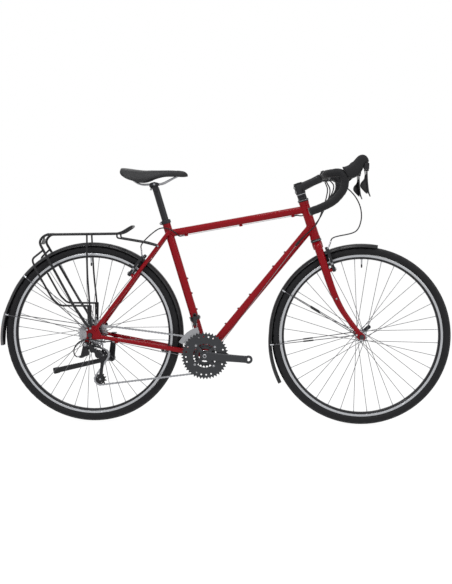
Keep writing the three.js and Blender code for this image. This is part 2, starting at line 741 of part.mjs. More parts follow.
function chainPath(cageTurn) {
  const { guide, tension } = pulleyPlaces(cageTurn);
  const wheels = [
    { centre: bracket, teeth: crankRings[chainRing], turn: 1, y: chainLineFront },
    { centre: tension, teeth: pulleyTeeth, turn: 1, y: chainLineRear },
    { centre: guide, teeth: pulleyTeeth, turn: -1, y: chainLineRear },
    { centre: rearAxle, teeth: cogTeeth[chainCog], turn: 1, y: chainLineRear },
  ];
  const runs = wheels.map((from, i) => {
    const to = wheels[(i + 1) % wheels.length];
    const gapVector = to.centre.clone().sub(from.centre).setY(0);
    const offset = from.turn * pitchRadius(from.teeth) - to.turn * pitchRadius(to.teeth);
    return Math.atan2(gapVector.z, gapVector.x) - Math.asin(offset / gapVector.length());
  });
  const contact = (wheelHere, run) => run + (wheelHere.turn * Math.PI) / 2;
  const rim = (wheelHere, angle) =>
    across(wheelHere.centre, wheelHere.y).add(V(Math.cos(angle), 0, Math.sin(angle)).multiplyScalar(pitchRadius(wheelHere.teeth)));
  const pieces = [];
  wheels.forEach((here, i) => {
    const enter = contact(here, runs[(i + wheels.length - 1) % wheels.length]);
    const leave = contact(here, runs[i]);
    const fullTurn = 2 * Math.PI;
    const wrap = (((here.turn * (enter - leave)) % fullTurn) + fullTurn) % fullTurn;
    const next = wheels[(i + 1) % wheels.length];
    const start = rim(here, leave);
    const end = rim(next, contact(next, runs[i]));
    pieces.push({
      length: wrap * pitchRadius(here.teeth),
      at: (share) => rim(here, enter - here.turn * wrap * share),
      angle: (share) => enter - here.turn * wrap * share,
    });
    pieces.push({ length: start.distanceTo(end), at: (share) => between(start, end, share) });
  });
  return pieces;
}

// Steps along the path one pitch at a time; past is how far the last pin lands from the first
function walkChain(cageTurn, links) {
  const pieces = chainPath(cageTurn);
  const total = pieces.reduce((sum, piece) => sum + piece.length, 0);
  const locate = (distance) => {
    let rest = distance % total;
    const index = pieces.findIndex((piece) => (rest > piece.length ? ((rest -= piece.length), false) : true));
    return { index, share: rest / pieces[index].length };
  };
  const at = (distance) => {
    const { index, share } = locate(distance);
    return pieces[index].at(share);
  };
  const pins = [];
  let distance = 0;
  for (let i = 0; i < links; i += 1) {
    const here = at(distance);
    pins.push({ point: here, ...locate(distance) });
    let next = distance + pitch;
    for (let k = 0; k < 8; k += 1) {
      next += pitch - here.distanceTo(at(next));
    }
    distance = next;
  }
  const phase = (wheelIndex) => {
    const pin = pins.find(({ index }) => index === wheelIndex * 2);
    return pieces[wheelIndex * 2].angle(pin.share);
  };
  return { pins, past: distance - total, total, phase };
}

// The cage swings until a whole even number of links closes the loop, as it does on the bicycle
function tensionedChain() {
  const links = 2 * Math.round(walkChain(0, 1).total / (2 * pitch));
  let [low, high] = [-rad(30), rad(30)];
  for (let i = 0; i < 40; i += 1) {
    const middle = (low + high) / 2;
    if (walkChain(middle, links).past > 0) {
      low = middle;
    } else {
      high = middle;
    }
  }
  const walked = walkChain(low, links);
  const onWheel = walked.pins.map(({ index }) => index % 2 === 0);
  // The teeth still reach into the first straight links beyond the arc
  const near = [-2, -1, 0, 1, 2, 3];
  const onSprocket = onWheel.map((_, i) => near.some((k) => onWheel[(i + k + links) % links]));
  return { cageTurn: low, links, onSprocket, ...walked };
}

// Two side ribbons of alternate inner and outer plates, tied together at each pin by its roller. Between the
// sprockets, where no tooth enters it, the chain is one solid band with the same outline.
function chainGeometry({ pins, onSprocket }) {
  const count = pins.length;
  const corners = [];
  const faces = [];
  const corner = (point) => corners.push(...point.toArray()) / 3 - 1;
  const links = pins.map(({ point }, i) => pins[(i + 1) % count].point.clone().sub(point));
  const section = (i, link, share, outer) => {
    const along = links[link].clone().setY(0).normalize();
    const tall = V(-along.z, 0, along.x);
    const centre = step(pins[i].point, links[link], share);
    const near = linkInside + (outer ? linkPlate + linkPlay : 0);
    const far = near + linkPlate;
    return [-1, 1].map((side) => [
      [near, linkHalfHeight], [near, -linkHalfHeight], [far, -linkHalfHeight], [far, linkHalfHeight],
    ].map(([y, z]) => corner(step(centre, tall, z).add(V(0, side * y, 0)))));
  };
  const fan = (ring, flip) => {
    for (let k = 2; k < ring.length; k += 1) {
      faces.push(ring[0], flip ? ring[k] : ring[k - 1], flip ? ring[k - 1] : ring[k]);
    }
  };
  // Each stretch runs from one section to the next; an open one has the gap for the teeth inside it
  const stretches = pins.flatMap((_, i) => {
    const before = (i + count - 1) % count;
    const enter = section(i, before, -rollerShare, before % 2 === 0);
    const leave = section(i, i, rollerShare, i % 2 === 0);
    const link = { from: leave, open: onSprocket[i] };
    return onSprocket[i] || onSprocket[before] ? [{ from: enter, open: false }, link] : [link];
  });
  stretches.forEach((stretch, i) => {
    const next = stretches[(i + 1) % stretches.length];
    const before = stretches[(i + stretches.length - 1) % stretches.length];
    const { from, open } = stretch;
    const to = next.from;
    [0, 1].forEach((side) => {
      fan([from[side][2], from[side][3], to[side][3], to[side][2]], side === 1);
      if (open) {
        fan([from[side][0], from[side][1], to[side][1], to[side][0]], side === 1);
        fan([from[side][1], from[side][2], to[side][2], to[side][1]], side === 1);
        fan([from[side][3], from[side][0], to[side][0], to[side][3]], side === 1);
      }
    });
    if (!open) {
      const inFront = next.open ? [to[0], to[1]] : [];
      const behind = before.open ? [from[1], from[0]] : [];
      fan([from[0][3], to[0][3], ...inFront.map((end) => end[0]), to[1][3], from[1][3], ...behind.map((end) => end[0])], true);
      fan([from[0][2], to[0][2], ...inFront.map((end) => end[1]), to[1][2], from[1][2], ...behind.map((end) => end[1])], false);
      if (next.open) {
        fan([to[0][0], to[0][1], to[1][1], to[1][0]], true);
      }
      if (before.open) {
        fan([from[0][0], from[0][1], from[1][1], from[1][0]], false);
      }
    }
  });
  const geometry = new THREE.BufferGeometry();
  geometry.setAttribute('position', new THREE.Float32BufferAttribute(corners, 3));
  geometry.setIndex(faces);
  return geometry;
}

const chain = tensionedChain();

// Crankset
const crankSizes = {
  bossRadius: 17,
  spindleRadius: 8.5,
  boltCircle: 52,
  innerBoltCircle: 32,
  ringInner: 46,
  smallRingInner: 25,
  boltRadius: 4.4,
  spiderWide: 15,
  spiderThick: 5,
  armThick: 13,
  eyeRadius: 14,
  eyeHole: 7,
  armRootY: 63.5,
  armEndY: 79,
  armRootTall: 15,
  armMiddleTall: 11,
  spindleEnd: 56,
  bossOuter: 70,
};
const cupSizes = { flange: 3.2, flangeRadius: 20.5 };
const ringPlace = (index) => chainLineFront - (index - 1) * ringSpacing;
const toCrank = rad(-crankAngle);

function ringGeometry(index, inner, phase, holes = []) {
  const teeth = crankRings[index];
  const disc = plate(sprocketOutline(teeth, phase + toCrank), plateThickness, [circle(inner, tubeSides), ...holes]);
  return moved(disc, 0, ringPlace(index), 0);
}

const boltTurns = [45, 135, 225, 315];
const boltPlace = (turn, radius) => [radius * Math.cos(rad(turn)), radius * Math.sin(rad(turn))];

function crankArm(side) {
  const s = crankSizes;
  const half = s.armThick / 2;
  const path = [
    V(0, side * s.armRootY, 0), V(crankLength * 0.2, side * (s.armRootY + gap), 0),
    V(crankLength * 0.55, side * (s.armEndY - half), 0), V(crankLength, side * s.armEndY, 0),
  ];
  const tall = [s.armRootTall, s.armMiddleTall * 1.15, s.armMiddleTall, s.armMiddleTall];
  const section = [
    [-half, -1], [half * 0.6, -1], [half, -0.6], [half, 0.6], [half * 0.6, 1], [-half, 1],
  ].map(([a, b]) => [side * a, b]);
  const arm = sweep(path, section, { side: V(0, 1, 0), scale: (_, i) => [1, tall[i]] });
  const eye = rod(V(crankLength, side * (s.armEndY - half), 0), V(crankLength, side * (s.armEndY + half), 0), s.eyeRadius, tubeSides);
  const hub = rod(V(0, side * (shellWidth / 2 + cupSizes.flange + gap * 2), 0), V(0, side * s.bossOuter, 0), s.bossRadius, tubeSides);
  const hole = moved(turnedHole(s.eyeHole, s.armThick * 2, staySides), crankLength, side * s.armEndY, 0);
  return cut(join(arm, eye, hub), hole);
}

function rightCrankGeometry() {
  const s = crankSizes;
  const tabY = -(ringLine + ringSpacing / 2);
  const spider = boltTurns.flatMap((turn) => {
    const [x, z] = boltPlace(turn, 1);
    const out = V(x, 0, z);
    const path = [
      V(0, -s.armRootY + s.armThick / 4, 0), step(V(0, tabY, 0), out, s.boltCircle * 0.6),
      step(V(0, tabY, 0), out, s.boltCircle + s.boltRadius + gap),
    ];
    const half = ringSpacing / 2 - plateThickness / 2 - gap;
    const sheet = sweep(path, [[-half, -0.5], [half, -0.5], [half, 0.5], [-half, 0.5]], {
      side: V(0, 1, 0), scale: (t) => [1, s.spiderWide * (1 - t * 0.15)],
    });
    const bolt = step(V(0, 0, 0), out, s.boltCircle);
    const post = step(V(0, 0, 0), out, s.innerBoltCircle);
    return [
      sheet,
      rod(across(bolt, tabY), across(bolt, tabY - ringSpacing / 2 - overrun), s.boltRadius),
      rod(across(post, tabY), across(post, ringPlace(0) - plateThickness / 2 - gap), s.boltRadius, wireSides),
    ];
  });
  const bore = rod(V(0, 0, 0), V(0, -s.spindleEnd - gap * 2, 0), boreFor(s.spindleRadius, staySides), staySides);
  return cut(join(crankArm(-1), spider), bore);
}

function leftCrankGeometry() {
  const s = crankSizes;
  const spindle = rod(V(0, -s.spindleEnd, 0), V(0, s.armRootY, 0), s.spindleRadius, staySides);
  return join(crankArm(1).rotateY(Math.PI), spindle);
}

// Bottom bracket cartridge: a sleeve through the shell with a flanged cup at each end
function cartridgeGeometry() {
  const s = cupSizes;
  const half = shellWidth / 2 + gap;
  const bore = boreFor(crankSizes.spindleRadius, tubeSides);
  return turned([
    [bore, -half - s.flange], [s.flangeRadius, -half - s.flange], [s.flangeRadius, -half], [cartridgeRadius, -half],
    [cartridgeRadius, half], [s.flangeRadius, half], [s.flangeRadius, half + s.flange], [bore, half + s.flange],
  ], tubeSides);
}

// A four-bar linkage in its own frame: X runs along the links, Y is the travel and Z the pivots' axis
function frameOf(origin, x, y) {
  const z = x.clone().cross(y);
  return new THREE.Matrix4().makeBasis(x, y, z).setPosition(origin);
}

function linkBar({ length, width, eye, pin }, y) {
  const outline = [
    ...arc(eye, 90, 270, 3), ...arc(eye, -90, 90, 3, [length, 0]),
  ];
  const shape = new THREE.Shape(outline.map(([a, b]) => new THREE.Vector2(a, b)));
  const bore = boreFor(pin, wireSides);
  shape.holes = [0, length].map((x) => new THREE.Path(shiftedCircle(bore, wireSides, x, 0).map(([a, b]) => new THREE.Vector2(a, b))));
  const bar = new THREE.ExtrudeGeometry(shape, { depth: width, bevelEnabled: false });
  return bar.translate(0, y, -width / 2);
}

// Two plates on both faces of the links, tied by the two pivot pins; root is how far their feet reach
function linkEars({ width, eye, pin, separation, ear }, x, root) {
  const outline = outlineRound([-1, 1].flatMap((side) => [
    [x, (side * separation) / 2, eye], [x + root, (side * separation) / 3, eye],
  ]), rodSides);
  const shape = new THREE.Shape(outline.map(([a, b]) => new THREE.Vector2(a, b)));
  const ears = [-1, 1].map((side) => {
    const sheet = new THREE.ExtrudeGeometry(shape, { depth: ear, bevelEnabled: false });
    return sheet.translate(0, 0, side * (width / 2 + gap + ear / 2) - ear / 2);
  });
  const reach = width / 2 + gap + ear / 2;
  const pins = [-1, 1].map((side) => {
    const y = (side * separation) / 2;
    return rod(V(x, y, -reach), V(x, y, reach), pin, wireSides);
  });
  return join(ears, pins);
}

const adjuster = V(hanger.x - mechSizes.adjusterBack, mechSizes.armY, hanger.z - mechSizes.adjusterDrop);
const adjusterEnd = step(adjuster, V(-1, 0, 0), mechSizes.adjusterLength + gap);

const mechLinkage = {
  length: mechSizes.linkLength, width: mechSizes.linkWidth, eye: mechSizes.linkEye, pin: mechSizes.pinRadius,
  separation: mechSizes.separation, ear: mechSizes.earThick,
};
const mechFrame = frameOf(mechRoot, mechLink, mechTravel);

function mechKnuckleGeometry() {
  const s = mechSizes;
  const inner = -(rearSpacing / 2 + dropoutPlate + gap);
  const outer = s.armY - s.separation / 2 - s.linkEye;
  const knuckle = rod(across(hanger, inner), across(hanger, outer), s.knuckleRadius, tubeSides);
  const ears = linkEars(mechLinkage, 0, -s.linkStart + s.linkEye).applyMatrix4(mechFrame);
  const arm = rod(V(hanger.x - s.linkEye, s.armY, hanger.z - s.knuckleRadius / 2), V(adjuster.x, s.armY, adjuster.z), s.adjusterRadius);
  const barrel = rod(step(adjuster, V(1, 0, 0), s.adjusterRadius), step(adjuster, V(-1, 0, 0), s.adjusterLength), s.adjusterRadius);
  return join(knuckle, ears, arm, barrel);
}

function mechTipGeometry() {
  const s = mechSizes;
  const reach = Math.hypot(s.pivotForward, s.pivotDrop);
  const ears = linkEars(mechLinkage, s.linkLength, reach).applyMatrix4(mechFrame);
  const outer = s.armY - s.separation / 2 - s.linkEye;
  const inner = chainLineRear - cageSizes.insideHalf - cageSizes.plateThick - gap;
  const barrel = rod(across(cagePivot, outer), across(cagePivot, inner), s.barrelRadius, tubeSides);
  return join(ears, barrel);
}

function cageGeometry() {
  const s = cageSizes;
  const { guide, tension } = pulleyPlaces(chain.cageTurn);
  const centre = s.insideHalf + s.plateThick / 2;
  const outline = outlineRound([guide, tension].map(({ x, z }) => [x, z, s.plateRadius]), tubeSides);
  const sides = [-1, 1].map((side) => moved(plate(outline, s.plateThick), 0, chainLineRear + side * centre, 0));
  const bolts = [guide, tension].map((point) => rod(across(point, chainLineRear - centre), across(point, chainLineRear + centre), s.boltRadius));
  return join(sides, bolts);
}

function pulleyGeometry(phase) {
  const s = cageSizes;
  const bore = boreFor(s.boltRadius, rodSides);
  const disc = plate(sprocketOutline(pulleyTeeth, phase), plateThickness, [circle(bore, rodSides)]);
  const hub = turned([[bore, -s.pulleyHubHalf], [s.pulleyHub, -s.pulleyHubHalf], [s.pulleyHub, s.pulleyHubHalf], [bore, s.pulleyHubHalf]], rodSides);
  const hollow = turnedHole(s.pulleyHub - gap, plateThickness * 3, rodSides);
  return join(cut(disc, hollow), hub);
}

// Fork: steerer, crown, two raked blades and dropouts, with brake posts and carrier bosses
const forkSizes = {
  crownTall: 26,
  crownHalfWidth: 40,
  crownDeep: 15,
  bladeTopY: 36,
  bladeEndY: 52,
  bladeLong: 14.5,
  bladeWide: 10,
  bladeEndLong: 9,
  bladeEndWide: 7,
  bladeShares: [0, 0.26, 0.5, 0.68, 0.82, 0.93],
  rakeShares: [0, 0, 0.045, 0.23, 0.54, 0.84],
  dropoutRadius: 14,
  eyeletBack: 20,
  eyeletUp: 8,
  eyeletWide: 6,
  carrierShare: 0.56,
  carrierRadius: 4.5,
  carrierHeight: 3,
};
const crownRace = step(headFoot, headUp, crownHeight - gap);
const forkForward = heading(90 - headAngle);

// A point of a fork blade's centre line: the share is down the blade, and the rake curves forward at the end
function bladePoint(share, side, rake = 0) {
  const s = forkSizes;
  const drop = step(crownRace, headUp, -s.crownTall / 2 - share * (crownHeight - s.crownTall / 2));
  const y = THREE.MathUtils.lerp(s.bladeTopY, s.bladeEndY, share) * side;
  return across(step(drop, forkForward, rake * forkRake), y);
}

function bladePath(side) {
  const { bladeShares, rakeShares } = forkSizes;
  return bladeShares.map((share, i) => bladePoint(share, side, rakeShares[i]));
}

// The steerer ends inside the stem, under its cap
const steererEnd = (beyond = 0) => step(stemFoot, headUp, barSizes.stemHigh - overrun + beyond);

function forkGeometry() {
  const s = forkSizes;
  const sides = [-1, 1];
  const steerer = rod(step(crownRace, headUp, -s.crownTall), steererEnd(), steererRadius, tubeSides);
  const crownSection = [
    [-s.crownDeep, 0], [-s.crownDeep * 0.6, -s.crownTall], [s.crownDeep, -s.crownTall], [s.crownDeep, -s.crownTall * 0.2],
    [s.crownDeep * 0.5, 0],
  ];
  const crownPoints = (y, grow) => crownSection.map(([a, b]) =>
    across(step(step(crownRace, forkForward, a * grow), headUp, b), y));
  const crown = loft([
    crownPoints(-s.crownHalfWidth - s.bladeWide * 0.7, 0.8), crownPoints(0, 1.25), crownPoints(s.crownHalfWidth + s.bladeWide * 0.7, 0.8),
  ]);
  const blades = sides.map((side) => sweep(bladePath(side), circle(1, staySides), {
    side: V(0, 1, 0),
    scale: (t) => [THREE.MathUtils.lerp(s.bladeWide, s.bladeEndWide, t), THREE.MathUtils.lerp(s.bladeLong, s.bladeEndLong, t)],
  }));
  const ends = sides.map((side) => {
    const bladeEnd = bladePath(side).pop().sub(frontAxle);
    const outline = outlineRound([
      [0, 0, s.dropoutRadius], [bladeEnd.x, bladeEnd.z, s.bladeEndWide], [-s.eyeletBack, s.eyeletUp, s.eyeletWide],
    ]);
    const slot = new THREE.BoxGeometry(dropoutSlot * 2, dropoutPlate * 3, s.dropoutRadius * 2);
    slot.translate(0, 0, -s.dropoutRadius);
    const solid = cut(plate(outline, dropoutPlate), slot, turnedHole(dropoutSlot, dropoutPlate * 3));
    return movedTo(solid, across(frontAxle, side * (frontSpacing / 2 + dropoutPlate / 2)));
  });
  const carriers = sides.map((side) => {
    const point = bladePoint(s.carrierShare, side, 0.1);
    return boss(step(point, V(0, side, 0), s.bladeWide - overrun), V(0, side, 0), s.carrierRadius, s.carrierHeight);
  });
  const posts = sides.flatMap((side) => brakePost(frontBrakePlace(side)));
  const solid = join(steerer, crown, blades, ends, carriers, posts);
  return cut(solid, mudguardRoom(frontAxle));
}

function mudguardRoom(axle) {
  const s = mudguardSizes;
  return movedTo(turnedHole(s.radius + s.sheet + gap * 2, s.halfWidth * 2 + gap * 4, wheelSides), axle);
}

const frontBrakePlace = (side) =>
  brakePlace([bladePoint(1, side), bladePoint(0, side)], forkSizes.bladeLong, side, frontAxle);

// Cockpit: stem with its spacers and cap, drop handlebar, tape, brake and gear levers
const barSizes = {
  radius: 11.9,
  clampRadius: 15.9,
  clampHalf: 34,
  tapeRadius: 15.4,
  tapeGap: 0.5,
  plugLength: 5,
  gripHalf: 205,
  reach: 68,
  topHalf: 150,
  stemRadius: 15.5,
  stemRootRadius: 19,
  capRadius: 17.5,
  capHeight: 6,
  stemLow: 18,
  stemHigh: 16,
  faceplate: 20,
  faceplateHalf: 22,
  boltRadius: 4,
};
const stemFoot = step(headTop, headUp, stemAboveHead);
const stemAngle = 25.8;
const stemLength = 107;
const barCentre = step(stemFoot, heading(stemAngle), stemLength);
// The handlebar's bends on one side: forward of the clamp, out to the side, and up, in shares of its reach
const barShares = [
  [0, 0, 0], [0, 0.72, 0], [0.05, 0.86, 0.01], [0.3, 0.955, 0.04], [0.66, 0.99, 0.07], [0.9, 1, -0.06],
  [0.99, 1.005, -0.42], [0.93, 1.012, -0.78], [0.72, 1.02, -1.12], [0.36, 1.03, -1.48], [-0.24, 1.04, -1.8],
  [-0.86, 1.05, -2.04],
];
const barPoint = ([x, y, z], side) =>
  V(barCentre.x + x * barSizes.reach, side * y * barSizes.gripHalf, barCentre.z + z * barSizes.reach);

// The bar's half path from the middle out, and its covered run: the tape starts where the bar leaves the stem
const barSteps = 13;
const barPath = (side) => smooth(barShares.map((share) => barPoint(share, side)), barSteps);
const tapeRun = (side) => barPath(side).slice(2);

function handlebarGeometry() {
  const s = barSizes;
  const sides = [-1, 1].map((side) => sweep([across(barCentre, -side * overrun), ...barPath(side).slice(1)], circle(s.radius, staySides)));
  const swell = rod(across(barCentre, -s.clampHalf), across(barCentre, s.clampHalf), s.clampRadius, tubeSides);
  return join(sides, swell);
}

function tapeSleeve(side, radius, extra) {
  const run = tapeRun(side);
  const last = run.length - 1;
  const start = step(run[0], run[1].clone().sub(run[0]).normalize(), -extra);
  const end = step(run[last], run[last].clone().sub(run[last - 1]).normalize(), barSizes.plugLength);
  return sweep([start, ...run.slice(1), end], circle(radius, staySides));
}

// The tape is a sleeve over the bar, from near the stem to the plug in the bar's end
function tapeGeometry(side) {
  const s = barSizes;
  const path = barPath(side);
  const last = path.length - 1;
  const past = step(path[last], path[last].clone().sub(path[last - 1]).normalize(), gap);
  const bar = sweep([across(barCentre, -side * overrun), ...path.slice(1, last), past], circle(s.radius + s.tapeGap, staySides));
  return cut(tapeSleeve(side, s.tapeRadius, 0), bar);
}

function stemGeometry() {
  const s = barSizes;
  const forward = heading(stemAngle);
  const low = step(headFoot, headUp, crownHeight + cupHeight * 2 + headTubeLength + gap);
  const column = rod(low, step(stemFoot, headUp, s.stemHigh), s.stemRootRadius, tubeSides);
  const cap = rod(step(stemFoot, headUp, s.stemHigh - overrun), step(stemFoot, headUp, s.stemHigh + s.capHeight), s.capRadius, tubeSides);
  const beam = rod(stemFoot, barCentre, s.stemRadius + overrun, tubeSides, s.stemRadius);
  const clamp = rod(across(barCentre, -s.faceplateHalf), across(barCentre, s.faceplateHalf), s.faceplate, tubeSides);
  const plateFace = step(barCentre, forward, s.faceplate);
  const bolts = [-1, 1].map((side) =>
    rod(across(step(plateFace, forward, -s.faceplate), (side * s.faceplateHalf) / 2), across(plateFace, (side * s.faceplateHalf) / 2), s.boltRadius));
  const steerer = rod(step(low, headUp, -overrun), steererEnd(gap), boreFor(steererRadius, tubeSides), tubeSides);
  const seat = rod(across(barCentre, -s.clampHalf), across(barCentre, s.clampHalf), boreFor(s.clampRadius, tubeSides), tubeSides);
  return cut(join(column, cap, beam, clamp, bolts), steerer, seat);
}

// Brake and gear lever: hood on the bar, a block that pulls the brake, and a blade and paddle that shift
const leverSizes = {
  hoodWide: 30,
  hoodBevel: 7,
  blockWide: 17,
  bladeHalf: 8,
  bladeThick: 4,
  paddleHalf: 9,
  paddleThick: 1.6,
  barrelRadius: 3.2,
};
// Outlines in shares of the lever's length, forward and up from its pivot
const leverLength = 122;
const leverPivot = V(barCentre.x + barSizes.reach * 1.98, 0, barCentre.z + barSizes.reach * 0.56);
const hoodShares = [
  [-0.7, -0.12], [-0.38, 0.0], [-0.22, 0.19], [-0.1, 0.26], [0.05, 0.24], [0.15, 0.11], [0.1, 0.04], [0.0, -0.03],
  [-0.14, -0.12], [-0.3, -0.44], [-0.45, -0.43], [-0.62, -0.3],
];
const blockShares = [[0.03, -0.012], [0.125, 0.037], [0.17, 0.0], [0.165, -0.175], [0.01, -0.175], [0.0, -0.12]];
// The blade and the paddle turn on one pin along the block's underside, each on its own barrel
const blockUnderShare = -0.175;
const bladeBarrelShares = [0.075, 0.155];
const paddleBarrelShares = [0.012, 0.0725];
const bladeShares = [[0.1, -0.206, 0.7], [0.1, -0.42, 1], [0.12, -0.66, 1.05], [0.15, -0.84, 0.9], [0.21, -0.99, 0.5]];
const paddleShares = [[0.045, -0.206, 0.35], [0.0, -0.4, 0.5], [-0.07, -0.52, 1], [-0.04, -0.68, 1.05], [0.02, -0.8, 0.45]];
const leverSide = (side) => side * barSizes.gripHalf;
const leverPlace = ([x, z], side) => V(leverPivot.x + x * leverLength, leverSide(side), leverPivot.z + z * leverLength);

function bevelled(shares, wide, bevel, side, segments = 1) {
  const shape = new THREE.Shape(shares.map(([x, z]) => new THREE.Vector2(x * leverLength, z * leverLength)));
  const solid = new THREE.ExtrudeGeometry(shape, {
    depth: wide - bevel * 2, bevelSize: bevel, bevelThickness: bevel, bevelOffset: -bevel, bevelSegments: segments,
  });
  solid.rotateX(Math.PI / 2).translate(0, wide / 2 - bevel, 0);
  return movedTo(solid, across(leverPivot, leverSide(side)));
}

function hoodGeometry(side) {
  const s = leverSizes;
  const hood = bevelled(hoodShares, s.hoodWide, s.hoodBevel, side);
  const room = tapeSleeve(side, barSizes.tapeRadius + gap * 2, overrun);
  return cut(hood, room);
}

const blockGeometry = (side) => bevelled(blockShares, leverSizes.blockWide, gap * 5, side);

function leafGeometry(shares, half, thick, side, barrel) {
  const path = shares.map(([x, z]) => leverPlace([x, z], side));
  const section = [[-1, -0.3], [-0.4, -1], [0.4, -1], [1, -0.3], [0.5, 1], [-0.5, 1]];
  const scale = (_, i) => [half * shares[i][2], thick * Math.min(1, shares[i][2])];
  const leaf = sweep(path, section, { side: V(0, 1, 0), scale });
  const drop = V(0, 0, -leverSizes.barrelRadius - gap);
  const [rear, front] = barrel.map((x) => leverPlace([x, blockUnderShare], side).add(drop));
  return join(leaf, rod(rear, front, leverSizes.barrelRadius));
}

// Rim brake arms with their pads; the right arm of each brake carries the cable's curved guide pipe
const noodlePoints = (side) => {
  const b = brakeSizes;
  const top = b.armLength - b.armTopWidth;
  return [
    V(b.armThick * 1.5, 0, top + b.armWidth * 1.8), V(b.armThick * 0.8, side * b.armWidth / 3, top + b.armWidth * 0.8),
    V(0, side * b.armWidth / 3, top), V(0, -side * b.pivotY * 0.95, top),
  ];
};

function brakeArmGeometry(side, carriesNoodle) {
  const b = brakeSizes;
  const outline = [
    [-b.armWidth, -b.armWidth], [b.armWidth, -b.armWidth], [b.armWidth, b.padUp], [b.armTopWidth * 1.2, b.armLength * 0.6],
    [b.armTopWidth * 1.4, b.armLength], [-b.armTopWidth, b.armLength], [-b.armWidth, b.armLength * 0.4],
  ].map(([y, z]) => [-side * y, z]);
  const hole = turnedHole(boreFor(b.postRadius, rodSides), b.armThick * 2, rodSides);
  const body = cut(plate(outline, b.armThick), hole).rotateZ(Math.PI / 2);
  const face = b.pivotY - rimWidth / 2 - b.padFace;
  const pad = new THREE.BoxGeometry(b.padLong, b.padDeep, b.padTall);
  pad.translate(0, -side * (face - b.padDeep / 2), b.padUp);
  const bolt = rod(V(0, side * b.armWidth * 1.3, b.padUp), V(0, -side * (face - b.padDeep / 2), b.padUp), b.postRadius);
  const pipe = carriesNoodle ? [sweep(smooth(noodlePoints(side), 5), circle(b.noodleRadius, wireSides))] : [];
  return join([body, pad, bolt, ...pipe]);
}

function brakeMatrix({ centre, up, out }) {
  const sideways = up.clone().cross(out);
  return new THREE.Matrix4().makeBasis(out, sideways, up).setPosition(centre);
}

function brakeArm(name, side, place, carriesNoodle) {
  const group = station(place.centre);
  group.quaternion.setFromRotationMatrix(brakeMatrix(place));
  const sideways = place.up.clone().cross(place.out);
  return part(name, brakeArmGeometry(side * sideways.y, carriesNoodle), blackAlloy, group);
}

// The end of a brake's guide pipe, and the direction in which the housing leaves it
function noodleEnd(place, side) {
  const matrix = brakeMatrix(place);
  const sideways = place.up.clone().cross(place.out);
  const points = smooth(noodlePoints(side * sideways.y), 5).map((point) => point.applyMatrix4(matrix));
  return { point: points[0], away: points[0].clone().sub(points[1]).normalize() };
}

// Half a mudguard's section: across in shares of its half width, and down in shares of its lip
const guardShares = [[-1, -1], [-0.62, -0.2], [0.62, -0.2], [1, -1]];

// Mudguards: a curved blade of sheet over each wheel, with stays of wire to the dropout eyelets
const tyreToGuard = 12;
const mudguardSizes = {
  radius: wheelRadius + tyreToGuard,
  halfWidth: 22,
  sheet: 1.8,
  lip: 15,
  stayRadius: 1.8,
  stayReach: 8,
  flapFlare: 14,
  stepAngle: 15,
  eyeRadius: 4,
  eyeLength: 6,
  boltRadius: 5,
};

function mudguardGeometry(from, to, flare, { angles, eyelet, plateOut }, bolts = []) {
  const s = mudguardSizes;
  const steps = Math.round((to - from) / s.stepAngle);
  const outer = guardShares.map(([y, z]) => [y * s.halfWidth, z * s.lip + s.sheet]);
  const inner = guardShares.map(([y, z]) => [y * (s.halfWidth - s.sheet), z * s.lip]).reverse();
  const rings = Array.from({ length: steps + 1 }, (_, i) => {
    const t = i / steps;
    const direction = heading(THREE.MathUtils.lerp(from, to, t));
    const radius = s.radius + flare(t);
    return [...outer, ...inner].map(([y, z]) => across(step(V(0, 0, 0), direction, radius + z), y));
  });
  const end = plateOut + gap;
  const wires = angles.flatMap((angle) => [-1, 1].map((side) => {
    const clip = across(step(V(0, 0, 0), heading(angle), s.radius - s.lip), side * (s.halfWidth - s.sheet));
    const inward = eyelet.clone().sub(clip).setY(0).normalize();
    const knee = across(step(clip, inward, s.stayReach), side * (s.halfWidth + s.stayReach));
    return sweep([clip, knee, V(eyelet.x, side * (end + s.eyeLength / 2), eyelet.z)], circle(s.stayRadius, wireFew));
  }));
  const eyes = [-1, 1].map((side) => rod(across(eyelet, side * end), across(eyelet, side * (end + s.eyeLength)), s.eyeRadius));
  return join(loft(rings), wires, eyes, bolts);
}

// The bolts that hold the rear mudguard to the two bridges; each is cut to seat on its bridge
function guardBolts() {
  const s = mudguardSizes;
  return [seatBridge, stayBridge].map((end) => {
    const bridge = across(end(1), 0).sub(rearAxle);
    const out = bridge.clone().normalize();
    const post = rod(step(V(0, 0, 0), out, s.radius - s.lip / 2), bridge, s.boltRadius);
    const line = [1, -1].map((side) => end(side).sub(rearAxle));
    return cut(post, rod(...line, frameSizes.bridgeRadius + gap), turnedHole(s.radius - s.lip / 3, s.halfWidth, wheelSides));
  });
}

// Rear rack: side rails with legs to the dropouts, a front hoop, a lower rail for bags and cross bars
const tyreToDeck = 46;
const rackSizes = {
  tube: 5,
  halfWidth: 52,
  footY: 78.5,
  deck: wheelRadius + tyreToDeck,
  rearReach: 180,
  frontReach: 113,
  lipReach: 157,
  lipRise: 28,
  bend: 16,
  lowRailZ: 113,
  lowRailRear: 227,
  plateWide: 22,
  plateTall: 70,
  plateThick: 4,
  strutThick: 3.5,
};
// Places of the bends, from the rear axle, in shares of the deck's height
const rackLegShares = [[-0.455, 0.99], [-0.515, 0.915], [-0.455, 0.81], [-0.168, 0.303], [-0.03, 0.1]];
const rackLowShares = [[-0.47, 0.835], [-0.575, 0.745], [-0.53, 0.635], [-0.375, 0.36], [-0.3, 0.29], [0.0, 0.29]];

